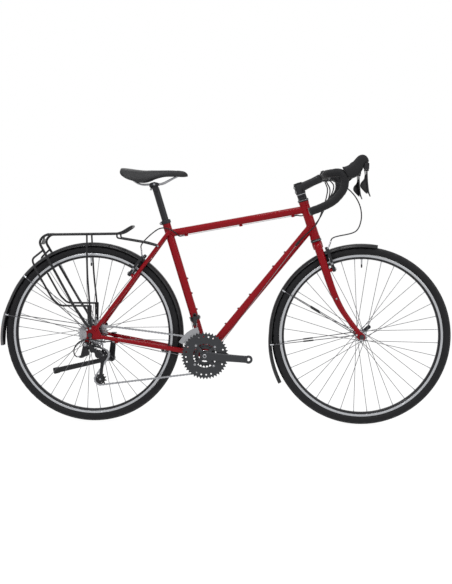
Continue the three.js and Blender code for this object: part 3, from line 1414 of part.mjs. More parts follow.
function rackGeometry() {
  const s = rackSizes;
  const at = (x, y, z) => V(rearAxle.x + x, y, rearAxle.z + z);
  const deckZ = s.deck;
  const fromShare = ([x, z], y) => at(x * s.deck, y, z * s.deck);
  const eyelet = at(rackEyelet[0], 0, rackEyelet[1]);
  const sides = [-1, 1].flatMap((side) => {
    const inY = side * s.halfWidth;
    const outY = side * s.footY;
    const lean = (share) => side * THREE.MathUtils.lerp(s.footY, s.halfWidth, share);
    const rail = [
      at(s.lipReach, 0, deckZ + s.lipRise), at(s.lipReach, inY * 0.75, deckZ + s.lipRise), at(s.frontReach, inY, deckZ),
      at(-s.rearReach, inY, deckZ - s.tube), ...rackLegShares.slice(1).map((share) => fromShare(share, lean(share[1] ** 2))),
      V(eyelet.x, outY, eyelet.z),
    ];
    const low = rackLowShares.map((share, i) => fromShare(share, i === 0 ? lean(share[1] ** 2) : outY * 0.97));
    const strut = [at(-s.tube * 3, inY, deckZ), at(-s.tube * 2, lean(0.35), s.deck * 0.6), at(0, outY, s.lowRailZ), V(eyelet.x, outY, eyelet.z)];
    const stay = [
      at(s.frontReach * 0.9, side * s.halfWidth * 0.95, deckZ), at(s.frontReach * 0.9, side * s.halfWidth * 0.95, deckZ - s.bend),
      at(s.frontReach * 1.85, side * s.halfWidth, deckZ - s.bend * 2.1), rackStayEnd(side),
    ];
    const plateHere = plate([
      [-s.plateWide / 2, 0], [s.plateWide / 2, 0], [s.plateWide * 0.4, -s.plateTall], [-s.plateWide * 0.4, -s.plateTall],
    ], s.plateThick, [0.28, 0.72].map((share) => slotHole(s.plateWide * 0.2, s.plateTall * 0.13, -share * s.plateTall)));
    return [
      bentTube(rail, s.tube, s.bend, rodSides, 1), bentTube(low, s.tube * 0.8, s.bend * 0.7, wireSides, 1),
      sweep(strut, circle(s.strutThick, wireFew)), bentTube(stay, s.strutThick, s.bend / 2, wireFew, 1),
      movedTo(plateHere, at(0, outY, s.lowRailZ)),
    ];
  });
  const bars = [-0.92, -0.5, -0.08, 0.6].map((share) => {
    const x = share < 0 ? share * s.rearReach : share * s.frontReach;
    return rod(at(x, -s.halfWidth, deckZ - s.tube / 2), at(x, s.halfWidth, deckZ - s.tube / 2), s.strutThick, wireFew);
  });
  const spine = rod(at(-s.rearReach, 0, deckZ - s.tube / 2), at(s.lipReach - s.bend, 0, deckZ + s.lipRise * 0.4), s.strutThick, wireFew);
  const lamp = new THREE.BoxGeometry(s.plateThick, s.halfWidth, s.plateWide);
  const lampArm = rod(at(-s.rearReach, 0, deckZ - s.tube / 2), at(-s.rearReach - s.tube * 3, 0, deckZ - s.plateWide * 1.3), s.strutThick, wireFew);
  lamp.rotateY(rad(18));
  return join(sides, bars, spine, lampArm, movedTo(lamp, at(-s.rearReach - s.tube * 3, 0, deckZ - s.plateWide * 1.5)));
}

const slotHole = (halfWidth, halfTall, z) => circle(halfWidth, rodSides, halfTall).map(([a, b]) => [a, b + z]);
const rackStayEnd = (side) => {
  const [foot, top] = seatStayLine(side);
  const point = between(foot, top, 0.86);
  return step(step(point, V(0, side, 0), frameSizes.seatStayRadius + rackSizes.strutThick + gap), seatUp, 0);
};

// Seat: post in the seat tube, a clamp ring, rails in the post's jaws and the saddle on them
const seatSizes = {
  insertion: 190,
  postTop: 142,
  headRadius: 13,
  headHalf: 24,
  railRadius: 3.5,
  railY: 21,
  railNoseY: 7,
  collarRadius: 19.5,
  collarHeight: 13,
  lugLong: 9,
  saddleLength: 262,
  cradleUp: 2.8,
};
// Stations of the saddle from rear to nose: place, half width, top, side edge and underside in shares of its length
const saddleShares = [
  [0.0, 0.16, -0.015, -0.045, -0.05], [0.04, 0.255, 0.0, -0.085, -0.055], [0.14, 0.295, 0.0, -0.17, -0.07],
  [0.28, 0.27, -0.018, -0.21, -0.08], [0.4, 0.215, -0.03, -0.2, -0.085], [0.52, 0.155, -0.035, -0.155, -0.09],
  [0.66, 0.1, -0.04, -0.12, -0.095], [0.82, 0.075, -0.05, -0.115, -0.1], [0.95, 0.062, -0.07, -0.12, -0.105],
  [1.0, 0.035, -0.095, -0.12, -0.11],
];

// The rails' cradle stands over the post's head, and the saddle stands over the cradle
const seatHead = step(seatTop, seatUp, seatSizes.postTop);
const railShares = [[0.1, -0.0752], [0.2, -0.19], [0.3, -0.245], [0.62, -0.235], [0.78, -0.15], [0.86, -0.1108]];
const clampShare = 0.509;
const cradle = V(seatHead.x, 0, seatHead.z + seatSizes.cradleUp);
const saddlePlace = ([x, z], y) => {
  const long = seatSizes.saddleLength;
  return V(cradle.x + (x - clampShare) * long, y, cradle.z + (z - railShares[2][1]) * long);
};

function saddleGeometry() {
  const { saddleLength: long } = seatSizes;
  const across9 = [[-1, 1], [-0.93, 0.42], [-0.66, 0.12], [-0.25, 0.03], [0.25, 0.03], [0.66, 0.12], [0.93, 0.42], [1, 1]];
  const rings = saddleShares.map(([x, half, top, edge, under]) => {
    const place = (y, z) => saddlePlace([x, z], y * half * long);
    const shell = 0.04;
    return [
      ...across9.map(([y, drop]) => place(y, THREE.MathUtils.lerp(top, edge, drop))),
      place(0.86, edge), place(0.6, Math.max(edge, under) + shell * 0.1), place(-0.6, Math.max(edge, under) + shell * 0.1),
      place(-0.86, edge),
    ];
  });
  return loft(rings);
}

function railsGeometry() {
  const s = seatSizes;
  const rails = [-1, 1].map((side) => {
    const points = railShares.map((share, i) => saddlePlace(share, side * (i > 3 ? s.railNoseY : s.railY)));
    return sweep(rounded(points, s.railRadius * 2, 1), circle(s.railRadius, wireSides));
  });
  const end = s.headHalf + s.railRadius;
  const bar = rod(across(cradle, -end), across(cradle, end), s.headRadius * 0.85, staySides);
  const nose = saddlePlace(railShares[5], 0);
  const bridge = rod(across(nose, -s.railNoseY), across(nose, s.railNoseY), s.railRadius, wireSides);
  return join(rails, bar, bridge);
}

function postGeometry() {
  const s = seatSizes;
  const low = step(seatTop, seatUp, -s.insertion);
  const post = rod(low, step(seatHead, seatUp, -s.headRadius), postRadius, tubeSides);
  const head = rod(across(step(seatHead, seatUp, -s.headRadius), -s.headHalf * 0.7), across(step(seatHead, seatUp, -s.headRadius), s.headHalf * 0.7), s.headRadius, staySides);
  const room = rod(across(cradle, -s.headHalf * 2), across(cradle, s.headHalf * 2), s.headRadius * 0.85 + gap, staySides);
  return cut(join(post, head), room);
}

function collarGeometry() {
  const s = seatSizes;
  const low = step(seatTop, seatUp, -s.collarHeight);
  const ring = rod(low, step(seatTop, seatUp, overrun), s.collarRadius, tubeSides);
  const back = heading(180 - seatAngle + 90);
  const centre = step(low, seatUp, s.collarHeight / 2);
  const lug = rod(across(step(centre, back, s.collarRadius), -s.lugLong), across(step(centre, back, s.collarRadius), s.lugLong), s.collarHeight * 0.42);
  const tube = rod(step(seatTop, seatUp, -s.collarHeight * 2), step(seatTop, seatUp, gap), boreFor(seatTubeRadius, tubeSides) - runningGap + gap, tubeSides);
  const post = rod(seatTop, step(seatTop, seatUp, s.collarHeight), postRadius + gap, tubeSides);
  return cut(join(ring, lug), tube, post);
}

// Kickstand: a block on the left chainstay and a leg that folds back along the wheel
const standSizes = {
  blockLong: 30,
  blockTall: 34,
  blockWide: 30,
  pivotDrop: 92,
  pivotForward: -8,
  pivotY: 64,
  legRadius: 9,
  legEndRadius: 6.5,
  legLength: 245,
  footRadius: 8.5,
  footLong: 22,
  hingeRadius: 13,
  hingeHalf: 9.6,
  neckWide: 6,
  pinRadius: 3.6,
};
const standAt = chainstayLine(1)[3].clone().lerp(chainstayLine(1)[2], 0.16);
const standPivot = V(standAt.x + standSizes.pivotForward, standSizes.pivotY, standAt.z - standSizes.pivotDrop);
const legFolded = V(-0.972, 0.03, -0.233).normalize();

function standBlockGeometry() {
  const s = standSizes;
  const block = new THREE.BoxGeometry(s.blockLong, s.blockWide, s.blockTall);
  const line = chainstayLine(1);
  const room = sweep(line, circle(1, staySides), {
    side: V(0, 1, 0),
    scale: (t) => [
      THREE.MathUtils.lerp(frameSizes.chainstayWide, frameSizes.stayEnd, t) + gap,
      THREE.MathUtils.lerp(frameSizes.chainstayTall, frameSizes.stayEnd, t) + gap,
    ],
  });
  const cheekY = s.pivotY - s.hingeHalf - gap;
  const neckPath = [
    V(standAt.x, standAt.y, standAt.z - s.blockTall / 3), V(standAt.x, standAt.y, standAt.z - s.blockTall),
    V(standPivot.x, cheekY - s.hingeHalf / 2, standPivot.z),
  ];
  const neck = sweep(neckPath, circle(1, rodSides), { side: V(0, 1, 0), scale: () => [s.neckWide, s.legRadius] });
  const cheek = rod(across(standPivot, cheekY - s.hingeHalf), across(standPivot, cheekY), s.hingeRadius, staySides);
  const pin = rod(across(standPivot, cheekY - s.hingeHalf / 2), across(standPivot, s.pivotY + s.hingeHalf), s.pinRadius);
  const hingeRoom = rod(across(standPivot, cheekY), across(standPivot, s.pivotY + s.hingeHalf * 3), boreFor(s.hingeRadius, staySides), staySides);
  return join(cut(join(movedTo(block, standAt), neck, cheek), room, hingeRoom), pin);
}

function standLegGeometry() {
  const s = standSizes;
  const hub = rod(across(standPivot, s.pivotY - s.hingeHalf), across(standPivot, s.pivotY + s.hingeHalf), s.hingeRadius, staySides);
  const end = step(standPivot, legFolded, s.legLength);
  const leg = rod(standPivot, end, s.legRadius, staySides, s.legEndRadius);
  const foot = rod(step(end, legFolded, -s.footLong), end, s.footRadius, staySides);
  const bore = rod(across(standPivot, 0), across(standPivot, s.pivotY + s.hingeHalf * 2), boreFor(s.pinRadius, rodSides));
  return cut(join(hub, leg, foot), bore);
}

// Front derailleur: band on the seat tube, two swinging links and the cage over the chain
const frontMech = {
  band: 148,
  bandTall: 15,
  bandRadius: 20.5,
  rootY: -30,
  rootUp: 146,
  rootForward: -40,
  linkReachY: -10,
  linkReachZ: -26,
  separation: 9,
  width: 13,
  eye: 3.4,
  pin: 1.7,
  ear: 2.2,
  earReach: 12,
  armRadius: 5,
  armReach: 9,
  armTip: 2.6,
  plateThick: 1.4,
  innerY: 5.4,
  outerY: 6.6,
  outerRadii: [97, 114],
  innerRadii: [78, 114],
  cageFrom: 104,
  cageTo: 153,
};
const frontLink = V(0, frontMech.linkReachY, frontMech.linkReachZ);
const frontLinkLength = frontLink.length();
frontLink.normalize();
const frontTravel = V(0, frontLink.z, -frontLink.y);
const frontRoot = V(bracket.x + frontMech.rootForward, frontMech.rootY, bracket.z + frontMech.rootUp);
const frontMechFrame = frameOf(frontRoot, frontLink, frontTravel);
const frontLinkage = {
  length: frontLinkLength, width: frontMech.width, eye: frontMech.eye, pin: frontMech.pin,
  separation: frontMech.separation, ear: frontMech.ear,
};

function frontMechBandGeometry() {
  const s = frontMech;
  const centre = step(bracket, seatUp, s.band);
  const [low, high] = [-1, 1].map((end) => step(centre, seatUp, (end * s.bandTall) / 2));
  const band = rod(low, high, s.bandRadius, tubeSides);
  const room = rod(step(low, seatUp, -s.bandTall), step(high, seatUp, s.bandTall), boreFor(seatTubeRadius, tubeSides) - runningGap + gap, tubeSides);
  const ears = linkEars(frontLinkage, 0, -s.earReach).applyMatrix4(frontMechFrame);
  const arm = rod(across(step(centre, seatUp, s.bandTall / 3), -seatTubeRadius), step(frontRoot, frontLink, -s.earReach - s.eye), s.armRadius);
  return cut(join(band, arm, ears), room);
}

// The inner link carries the arm that the gear cable pulls
function frontCableEnd() {
  const s = frontMech;
  const middle = step(frontRoot, frontLink, frontLinkLength / 2);
  const inner = step(middle, frontTravel, -s.separation / 2);
  return V(inner.x - s.width / 2 - s.armReach, inner.y, inner.z - s.armTip - gap);
}

function frontMechInnerLinkGeometry() {
  const s = frontMech;
  const tip = frontCableEnd();
  const centre = V(tip.x, tip.y, tip.z + s.armTip + gap);
  const arm = rod(V(centre.x + s.armReach + s.width / 2, centre.y, centre.z), centre, s.armTip, rodSides);
  return join(linkBar(frontLinkage, -s.separation / 2).applyMatrix4(frontMechFrame), arm);
}

function frontMechCageGeometry() {
  const s = frontMech;
  const sector = ([low, high], from, to) => [...arc(high, from, to, 4), ...arc(low, to, from, 4)];
  const centre = across(bracket, chainLineFront);
  const outer = moved(plate(sector(s.outerRadii, s.cageFrom, s.cageTo), s.plateThick), 0, -s.outerY, 0);
  const inner = moved(plate(sector(s.innerRadii, s.cageFrom, s.cageTo - overrun), s.plateThick), 0, s.innerY, 0);
  const top = s.outerRadii[1];
  const bridge = plate(sector([top - overrun, top], s.cageFrom, s.cageFrom + 22), s.outerY + s.innerY);
  const tail = heading(s.cageTo - overrun * 2).multiplyScalar(top * 0.93);
  const bolt = rod(across(tail, -s.outerY), across(tail, s.innerY), overrun);
  const cage = movedTo(join(outer, inner, moved(bridge, 0, (s.innerY - s.outerY) / 2, 0), bolt), centre);
  const ears = linkEars(frontLinkage, frontLinkLength, s.eye * 3).applyMatrix4(frontMechFrame);
  return join(cage, ears);
}

// Cables: each is whole, in housing from the lever to a stop, bare along the frame, and in housing again
const cordSides = 8;
const cableSizes = {
  housing: 2.4, wire: 0.9, fineStep: 2, longStep: 60, bendAngle: 25, exit: 15.1, straight: 5, unit: 100, lead: 22,
};

// Places along a curve in shares of its length, closer together where it bends
function bendPlaces(curve) {
  const length = curve.getLength();
  const fine = Math.ceil(length / cableSizes.fineStep);
  const places = [0];
  let direction = curve.getTangentAt(0);
  for (let i = 1; i < fine; i += 1) {
    const here = i / fine;
    const tangent = curve.getTangentAt(here);
    const run = (here - places[places.length - 1]) * length;
    if (direction.angleTo(tangent) > rad(cableSizes.bendAngle) || run > cableSizes.longStep) {
      places.push(here);
      direction = tangent;
    }
  }
  return [...places, 1];
}

// A tube through stretches of different radius, each a list of points or two ends
function cord(stretches) {
  const rings = stretches.flatMap(({ points, radius }) => {
    const curve = new THREE.CatmullRomCurve3(points);
    const places = points.length > 2 ? bendPlaces(curve) : [0, 1];
    return places.map((place) => ({ point: curve.getPointAt(place), direction: curve.getTangentAt(place), radius }));
  });
  return sweep(rings.map(({ point }) => point), circle(1, cordSides), {
    scale: (_, i) => [rings[i].radius, rings[i].radius],
    directions: rings.map(({ direction }) => direction),
  });
}

// Where a housing leaves the bar tape: beside the bar at the tape's inner end
function tapeExit(side, turn) {
  const start = tapeRun(side)[0];
  const beside = step(across(barCentre, start.y), heading(turn), cableSizes.exit);
  return [gap * 2, cableSizes.straight].map((distance) => across(beside, start.y - side * distance));
}

const { housing, wire } = cableSizes;
// Places a cable passes, from a point of the bicycle: forward, left and up in shares of one unit of length
const passing = (start, shares) =>
  shares.map(([x, y, z]) => V(start.x + x * cableSizes.unit, y * cableSizes.unit, start.z + z * cableSizes.unit));
const brakeExitTurn = -30;
const gearExitTurn = -78;

const frontBrakeShares = [
  [0.238, -0.49, -0.15],
  [0.448, -0.44, -0.26],
  [0.848, -0.48, -0.47],
  [1.178, -0.56, -0.82],
  [1.368, -0.6, -1.26],
  [1.378, -0.6, -1.72],
  [1.198, -0.56, -2.1],
];
const rearBrakeShares = [
  [0.238, 0.49, -0.15],
  [0.378, 0.42, -0.34],
  [0.278, 0.37, -0.72],
  [-0.042, 0.33, -1.08],
  [-0.422, 0.29, -1.33],
  [-0.682, 0.25, -1.47],
  [-0.882, 0.14, -1.52],
];
const rearBrakeArcShares = [
  [0.399, -0.15, -0.092],
  [0.219, -0.23, 0.058],
  [-0.001, -0.26, 0.178],
  [-0.301, -0.22, 0.208],
  [-0.601, -0.16, 0.048],
];
const frontGearShares = [
  [0.078, 0.5, -0.28],
  [0.138, 0.38, -0.48],
  [0.078, 0.18, -0.86],
  [-0.062, -0.02, -1.26],
  [-0.182, -0.18, -1.62],
  [-0.342, -0.27, -1.9],
  [-0.582, -0.27, -2.14],
];
const frontGearEndShares = [-0.272, -0.11, 0.08];
const rearGearShares = [
  [0.088, -0.5, -0.28],
  [0.198, -0.38, -0.5],
  [0.178, -0.18, -0.8],
  [0.048, 0.02, -1.16],
  [-0.122, 0.18, -1.54],
  [-0.322, 0.27, -1.84],
  [-0.562, 0.27, -2.1],
];
const rearGearLoopShares = [
  [0.45, -0.76, -0.25],
  [0.12, -0.81, -0.175],
  [-0.14, -0.82, -0.17],
  [-0.4, -0.86, -0.26],
  [-0.58, -0.88, -0.49],
  [-0.59, -0.88, -0.73],
];

function frontBrakeCable() {
  const { point, away } = noodleEnd(frontBrakePlace(-1), -1);
  const points = [
    ...tapeExit(-1, brakeExitTurn), ...passing(barCentre, frontBrakeShares),
    step(point, away, cableSizes.lead), step(point, away, gap),
  ];
  return cord([{ points, radius: housing }]);
}

function rearBrakeCable() {
  const { point, away } = noodleEnd(rearBrakePlace(-1), -1);
  const [, front] = stopEnds(topStop(stopShares[2]));
  const [rear] = stopEnds(topStop(stopShares[0]));
  const along = topTubeAlong;
  const lead = [
    ...tapeExit(1, brakeExitTurn), ...passing(barCentre, rearBrakeShares),
    step(front, along, cableSizes.straight * 2), step(front, along, cableSizes.straight), front,
  ];
  const arc = [
    rear, step(rear, along, -cableSizes.straight), step(rear, along, -cableSizes.straight * 2),
    ...passing(topTubeRear, rearBrakeArcShares), step(point, away, cableSizes.lead), step(point, away, gap),
  ];
  return cord([
    { points: lead, radius: housing }, { points: [step(front, along, -gap / 2), step(rear, along, gap / 2)], radius: wire },
    { points: arc, radius: housing },
  ]);
}

// The left-hand shifter moves the front derailleur; its cable crosses in front of the head tube
function frontGearCable() {
  const [low, high] = stopEnds(downStop(-1));
  const along = downTubeAlong;
  const lead = [
    ...tapeExit(1, gearExitTurn), ...passing(barCentre, frontGearShares), step(high, along, cableSizes.lead), high,
  ];
  const under = guideArc(-10, -10, [-32, -60, -95, -130, -158]);
  const bare = [
    step(high, along, -gap / 2), low, ...under, ...passing(bracket, [frontGearEndShares]), frontCableEnd(),
  ];
  return cord([{ points: lead, radius: housing }, ...wireRun(bare)]);
}

// The right-hand shifter moves the rear derailleur, with a last loop of housing behind the dropout
function rearGearCable() {
  const [low, high] = stopEnds(downStop(1));
  const along = downTubeAlong;
  const [back, ahead] = stopEnds(chainstayStop);
  const lead = [
    ...tapeExit(-1, gearExitTurn), ...passing(barCentre, rearGearShares), step(high, along, cableSizes.lead), high,
  ];
  const under = guideArc(8, -6, [-32, -60, -95]);
  const bare = [step(high, along, -gap / 2), low, ...under, ahead, step(back, chainstayStop.along, gap / 2)];
  const loop = [
    back, step(back, chainstayStop.along, -cableSizes.straight), step(back, chainstayStop.along, -cableSizes.straight * 2),
    ...passing(rearAxle, rearGearLoopShares), step(adjusterEnd, V(-1, 0, 0), cableSizes.straight * 2),
    step(adjusterEnd, V(-1, 0, 0), cableSizes.straight), adjusterEnd,
  ];
  return cord([{ points: lead, radius: housing }, ...wireRun(bare), { points: loop, radius: housing }]);
}

const wireRun = (points) => points.slice(1).map((point, i) => ({ points: [points[i], point], radius: wire }));
const guideArc = (from, to, angles) => angles.map((angle, i) => {
  const reach = (shellRadius + wire + gap) / Math.cos(Math.PI / tubeSides);
  return across(step(bracket, heading(angle), reach), THREE.MathUtils.lerp(from, to, i / (angles.length - 1)));
});

// Pieces in place
part('frame', frameGeometry(), redPaint);
wheel('front', frontAxle, frontHub, 90);
wheel('rear', rearAxle, rearHub, 91.5);
part('front_axle', axleGeometry(frontSpacing, dropoutPlate, frontHub.ends), steel, station(frontAxle));
part('rear_axle', axleGeometry(rearSpacing, dropoutPlate, [cassetteOuter, rearHub.ends[1]]), steel, station(rearAxle));
part('cassette', cassetteGeometry(chain.phase(3)), steel, station(rearAxle));
part('chain', chainGeometry(chain), steel);
const crankset = station(bracket);
crankset.rotation.y = toCrank;
part('right_crank', rightCrankGeometry(), greyAlloy, crankset);
part('left_crank', leftCrankGeometry(), greyAlloy, crankset);
part('small_chainring', ringGeometry(0, crankSizes.smallRingInner, chain.phase(0)), greyAlloy, crankset);
part('middle_chainring', ringGeometry(1, crankSizes.ringInner, chain.phase(0)), greyAlloy, crankset);
const boltHoles = boltTurns.map((turn) => {
  const [x, z] = boltPlace(turn, crankSizes.boltCircle);
  return shiftedCircle(boreFor(crankSizes.boltRadius, rodSides), rodSides, x, z);
});
part('large_chainring', ringGeometry(2, crankSizes.ringInner, chain.phase(0), boltHoles), greyAlloy, crankset);
part('bottom_bracket', cartridgeGeometry(), steel, station(bracket));
part('rear_mech_knuckle', mechKnuckleGeometry(), blackAlloy);
part('rear_mech_outer_link', linkBar(mechLinkage, -mechSizes.separation / 2).applyMatrix4(mechFrame), blackAlloy);
part('rear_mech_inner_link', linkBar(mechLinkage, mechSizes.separation / 2).applyMatrix4(mechFrame), blackAlloy);
part('rear_mech_tip', mechTipGeometry(), blackAlloy);
part('rear_mech_cage', cageGeometry(), blackAlloy);
const pulleyHomes = pulleyPlaces(chain.cageTurn);
part('guide_pulley', pulleyGeometry(chain.phase(2)), blackPlastic, station(pulleyHomes.guide));
part('tension_pulley', pulleyGeometry(chain.phase(1)), blackPlastic, station(pulleyHomes.tension));

const pairs = [['right', -1], ['left', 1]];
part('fork', forkGeometry(), redPaint);
part('stem', stemGeometry(), blackAlloy);
part('handlebar', handlebarGeometry(), blackAlloy);
pairs.forEach(([name, side]) => {
  part(`${name}_bar_tape`, tapeGeometry(side), blackTape);
  part(`${name}_hood`, hoodGeometry(side), blackRubber);
  part(`${name}_lever_block`, blockGeometry(side), blackAlloy);
  part(`${name}_lever_blade`, leafGeometry(bladeShares, leverSizes.bladeHalf, leverSizes.bladeThick, side, bladeBarrelShares), blackAlloy);
  part(`${name}_shift_paddle`, leafGeometry(paddleShares, leverSizes.paddleHalf, leverSizes.paddleThick, side, paddleBarrelShares), blackPlastic);
  brakeArm(`front_brake_${name}_arm`, side, frontBrakePlace(side), side < 0);
  brakeArm(`rear_brake_${name}_arm`, side, rearBrakePlace(side), side < 0);
});
const frontStays = { angles: [150, 186], eyelet: V(-forkSizes.eyeletBack, 0, forkSizes.eyeletUp), plateOut: frontSpacing / 2 + dropoutPlate };
part('front_mudguard', mudguardGeometry(80, 211, (t) => mudguardSizes.flapFlare * Math.max(0, t - 0.75) * 4, frontStays), blackPlastic, station(frontAxle));
const rearStays = { angles: [140, 168], eyelet: V(guardEyelet[0], 0, guardEyelet[1]), plateOut: rearSpacing / 2 + dropoutPlate };
part('rear_mudguard', mudguardGeometry(-12, 188, (t) => mudguardSizes.flapFlare * Math.max(0, t - 0.85) * 6.6, rearStays, guardBolts()), blackPlastic, station(rearAxle));
part('rear_rack', rackGeometry(), blackPaint);
part('seat_collar', collarGeometry(), blackAlloy);
part('seatpost', postGeometry(), blackAlloy);
part('saddle_rails', railsGeometry(), steel);
part('saddle', saddleGeometry(), blackRubber);
part('kickstand_bracket', standBlockGeometry(), blackAlloy);
part('kickstand_leg', standLegGeometry(), blackAlloy);
part('front_mech_band', frontMechBandGeometry(), blackAlloy);
part('front_mech_outer_link', linkBar(frontLinkage, frontMech.separation / 2).applyMatrix4(frontMechFrame), steel);
part('front_mech_inner_link', frontMechInnerLinkGeometry(), steel);
part('front_mech_cage', frontMechCageGeometry(), steel);

part('front_brake_cable', frontBrakeCable(), blackPlastic);
part('rear_brake_cable', rearBrakeCable(), blackPlastic);
part('front_gear_cable', frontGearCable(), blackPlastic);
part('rear_gear_cable', rearGearCable(), blackPlastic);

// The origin is on the ground under the middle of the bicycle
const extent = new THREE.Box3().setFromObject(bicycle);
bicycle.position.x = -(extent.min.x + extent.max.x) / 2;

export default bicycle;
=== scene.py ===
"""A touring bicycle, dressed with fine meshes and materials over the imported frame.

Shapes are written in millimetres from the foot of the rear axle: x forward, y to the rider's left and z up.
They are turned into metres about the model's own middle when a piece is made.
"""
import json
from math import asin, atan2, cos, degrees, pi, radians, sin, sqrt

import bpy
from mathutils import Matrix, Quaternion, Vector
from mathutils.geometry import tessellate_polygon


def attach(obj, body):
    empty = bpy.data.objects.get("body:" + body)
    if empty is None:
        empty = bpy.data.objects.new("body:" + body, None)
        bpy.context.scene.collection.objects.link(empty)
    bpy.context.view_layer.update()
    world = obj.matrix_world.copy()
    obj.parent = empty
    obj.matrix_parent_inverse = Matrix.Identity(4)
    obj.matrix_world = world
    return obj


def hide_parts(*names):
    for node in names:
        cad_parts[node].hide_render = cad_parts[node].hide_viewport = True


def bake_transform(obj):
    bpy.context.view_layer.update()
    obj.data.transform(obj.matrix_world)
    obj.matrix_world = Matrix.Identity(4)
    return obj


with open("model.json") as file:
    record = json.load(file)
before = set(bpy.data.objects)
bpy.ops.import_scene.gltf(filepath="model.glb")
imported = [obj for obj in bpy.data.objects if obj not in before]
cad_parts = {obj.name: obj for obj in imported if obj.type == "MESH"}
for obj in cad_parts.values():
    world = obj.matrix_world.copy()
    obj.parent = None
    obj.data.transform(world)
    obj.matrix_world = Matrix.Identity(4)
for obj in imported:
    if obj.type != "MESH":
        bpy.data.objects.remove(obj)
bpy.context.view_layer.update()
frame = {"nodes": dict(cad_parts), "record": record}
nodes = frame["nodes"]

MIDDLE = 512.9736
MM = 0.001
UP = Vector((0, 0, 1))
LEFT = Vector((0, 1, 0))
SIDES = (-1, 1)

# Sizes that several pieces share, in millimetres and degrees
WHEELBASE, CHAINSTAY, AXLE_HEIGHT, BRACKET_HEIGHT = 1047, 451, 346, 268
SEAT_ANGLE, HEAD_ANGLE, TOP_ANGLE, DOWN_ANGLE, STEM_ANGLE = 73, 71.7, 10.3, 50.8, 25.8
SEAT_LENGTH, HEAD_LENGTH, RAKE, STEM_LENGTH, CRANK_LENGTH = 545, 154, 52, 107, 170
MAIN_RADIUS, TOP_RADIUS, HEAD_RADIUS, SHELL_RADIUS = 15.9, 14.3, 18.3, 20.5
BRIDGE_REACH, PIVOT_REACH, PIVOT_HALF, POST_BASE, POST_GAP, ARM_HALF = 372, 281, 41, 10, 0.3, 5.5
AXLE_SLOT, RIM_SEAT, SPOKES = 5.5, 296.6, 36
BAR_HALF, LEVER = 205, 122
PITCH, LINKS = 12.7, 112


# Small helpers for points
def V(x, y, z):
    return Vector((x, y, z))


def heading(angle):
    return V(cos(radians(angle)), 0, sin(radians(angle)))


def across(point, y):
    return V(point.x, y, point.z)


def mix(a, b, share):
    return a + (b - a) * share


def lerp_table(table, t):
    """A value from a table of (place, value) pairs."""
    for (t0, a), (t1, b) in zip(table, table[1:]):
        if t <= t1:
            return a + (b - a) * (t - t0) / (t1 - t0)
    return table[-1][1]


def metres(point):
    """A point in millimetres as the model's own metres."""
    return (point - V(MIDDLE, 0, 0)) * MM


def circle(sides, a=1.0, b=None, power=2.0):
    """A round section, or a squarer one for a power above 2."""
    b = a if b is None else b
    points = []
    for k in range(sides):
        c, s = cos(2 * pi * k / sides), sin(2 * pi * k / sides)
        points.append((a * abs(c) ** (2 / power) * (1 if c >= 0 else -1),
                       b * abs(s) ** (2 / power) * (1 if s >= 0 else -1)))
    return points


def smooth(points, count):
    """Evenly spread points on a smooth curve through the given ones."""
    ring = [2 * points[0] - points[1]] + list(points) + [2 * points[-1] - points[-2]]
    fine = []
    steps = 14
    for i in range(len(ring) - 3):
        p0, p1, p2, p3 = ring[i:i + 4]
        t1 = max((p1 - p0).length, 1e-6) ** 0.5
        t2 = t1 + max((p2 - p1).length, 1e-6) ** 0.5
        t3 = t2 + max((p3 - p2).length, 1e-6) ** 0.5
        for k in range(steps):
            t = t1 + (t2 - t1) * k / steps
            a1 = p0 * ((t1 - t) / t1) + p1 * (t / t1)
            a2 = p1 * ((t2 - t) / (t2 - t1)) + p2 * ((t - t1) / (t2 - t1))
            a3 = p2 * ((t3 - t) / (t3 - t2)) + p3 * ((t - t2) / (t3 - t2))
            b1 = a1 * ((t2 - t) / t2) + a2 * (t / t2)
            b2 = a2 * ((t3 - t) / (t3 - t1)) + a3 * ((t - t1) / (t3 - t1))
            fine.append(b1 * ((t2 - t) / (t2 - t1)) + b2 * ((t - t1) / (t2 - t1)))
    fine.append(ring[-2])
    lengths = [0.0]
    for a, b in zip(fine, fine[1:]):
        lengths.append(lengths[-1] + (b - a).length)
    spread, k = [], 0
    for i in range(count + 1):
        goal = lengths[-1] * i / count
        while k < len(lengths) - 2 and lengths[k + 1] < goal:
            k += 1
        run = lengths[k + 1] - lengths[k]
        spread.append(mix(fine[k], fine[k + 1], (goal - lengths[k]) / run if run else 0))
    return spread


def rounded(points, reach, steps=6):
    """A path with its corners rounded; reach is how far before a corner its bend starts."""
    path = [points[0]]
    for before, corner, after in zip(points, points[1:], points[2:]):
        here = min(reach, (before - corner).length * 0.48, (after - corner).length * 0.48)
        a = corner + (before - corner).normalized() * here
        b = corner + (after - corner).normalized() * here
        for k in range(steps + 1):
            t = k / steps
            path.append(a * (1 - t) ** 2 + corner * 2 * t * (1 - t) + b * t * t)
    return path + [points[-1]]


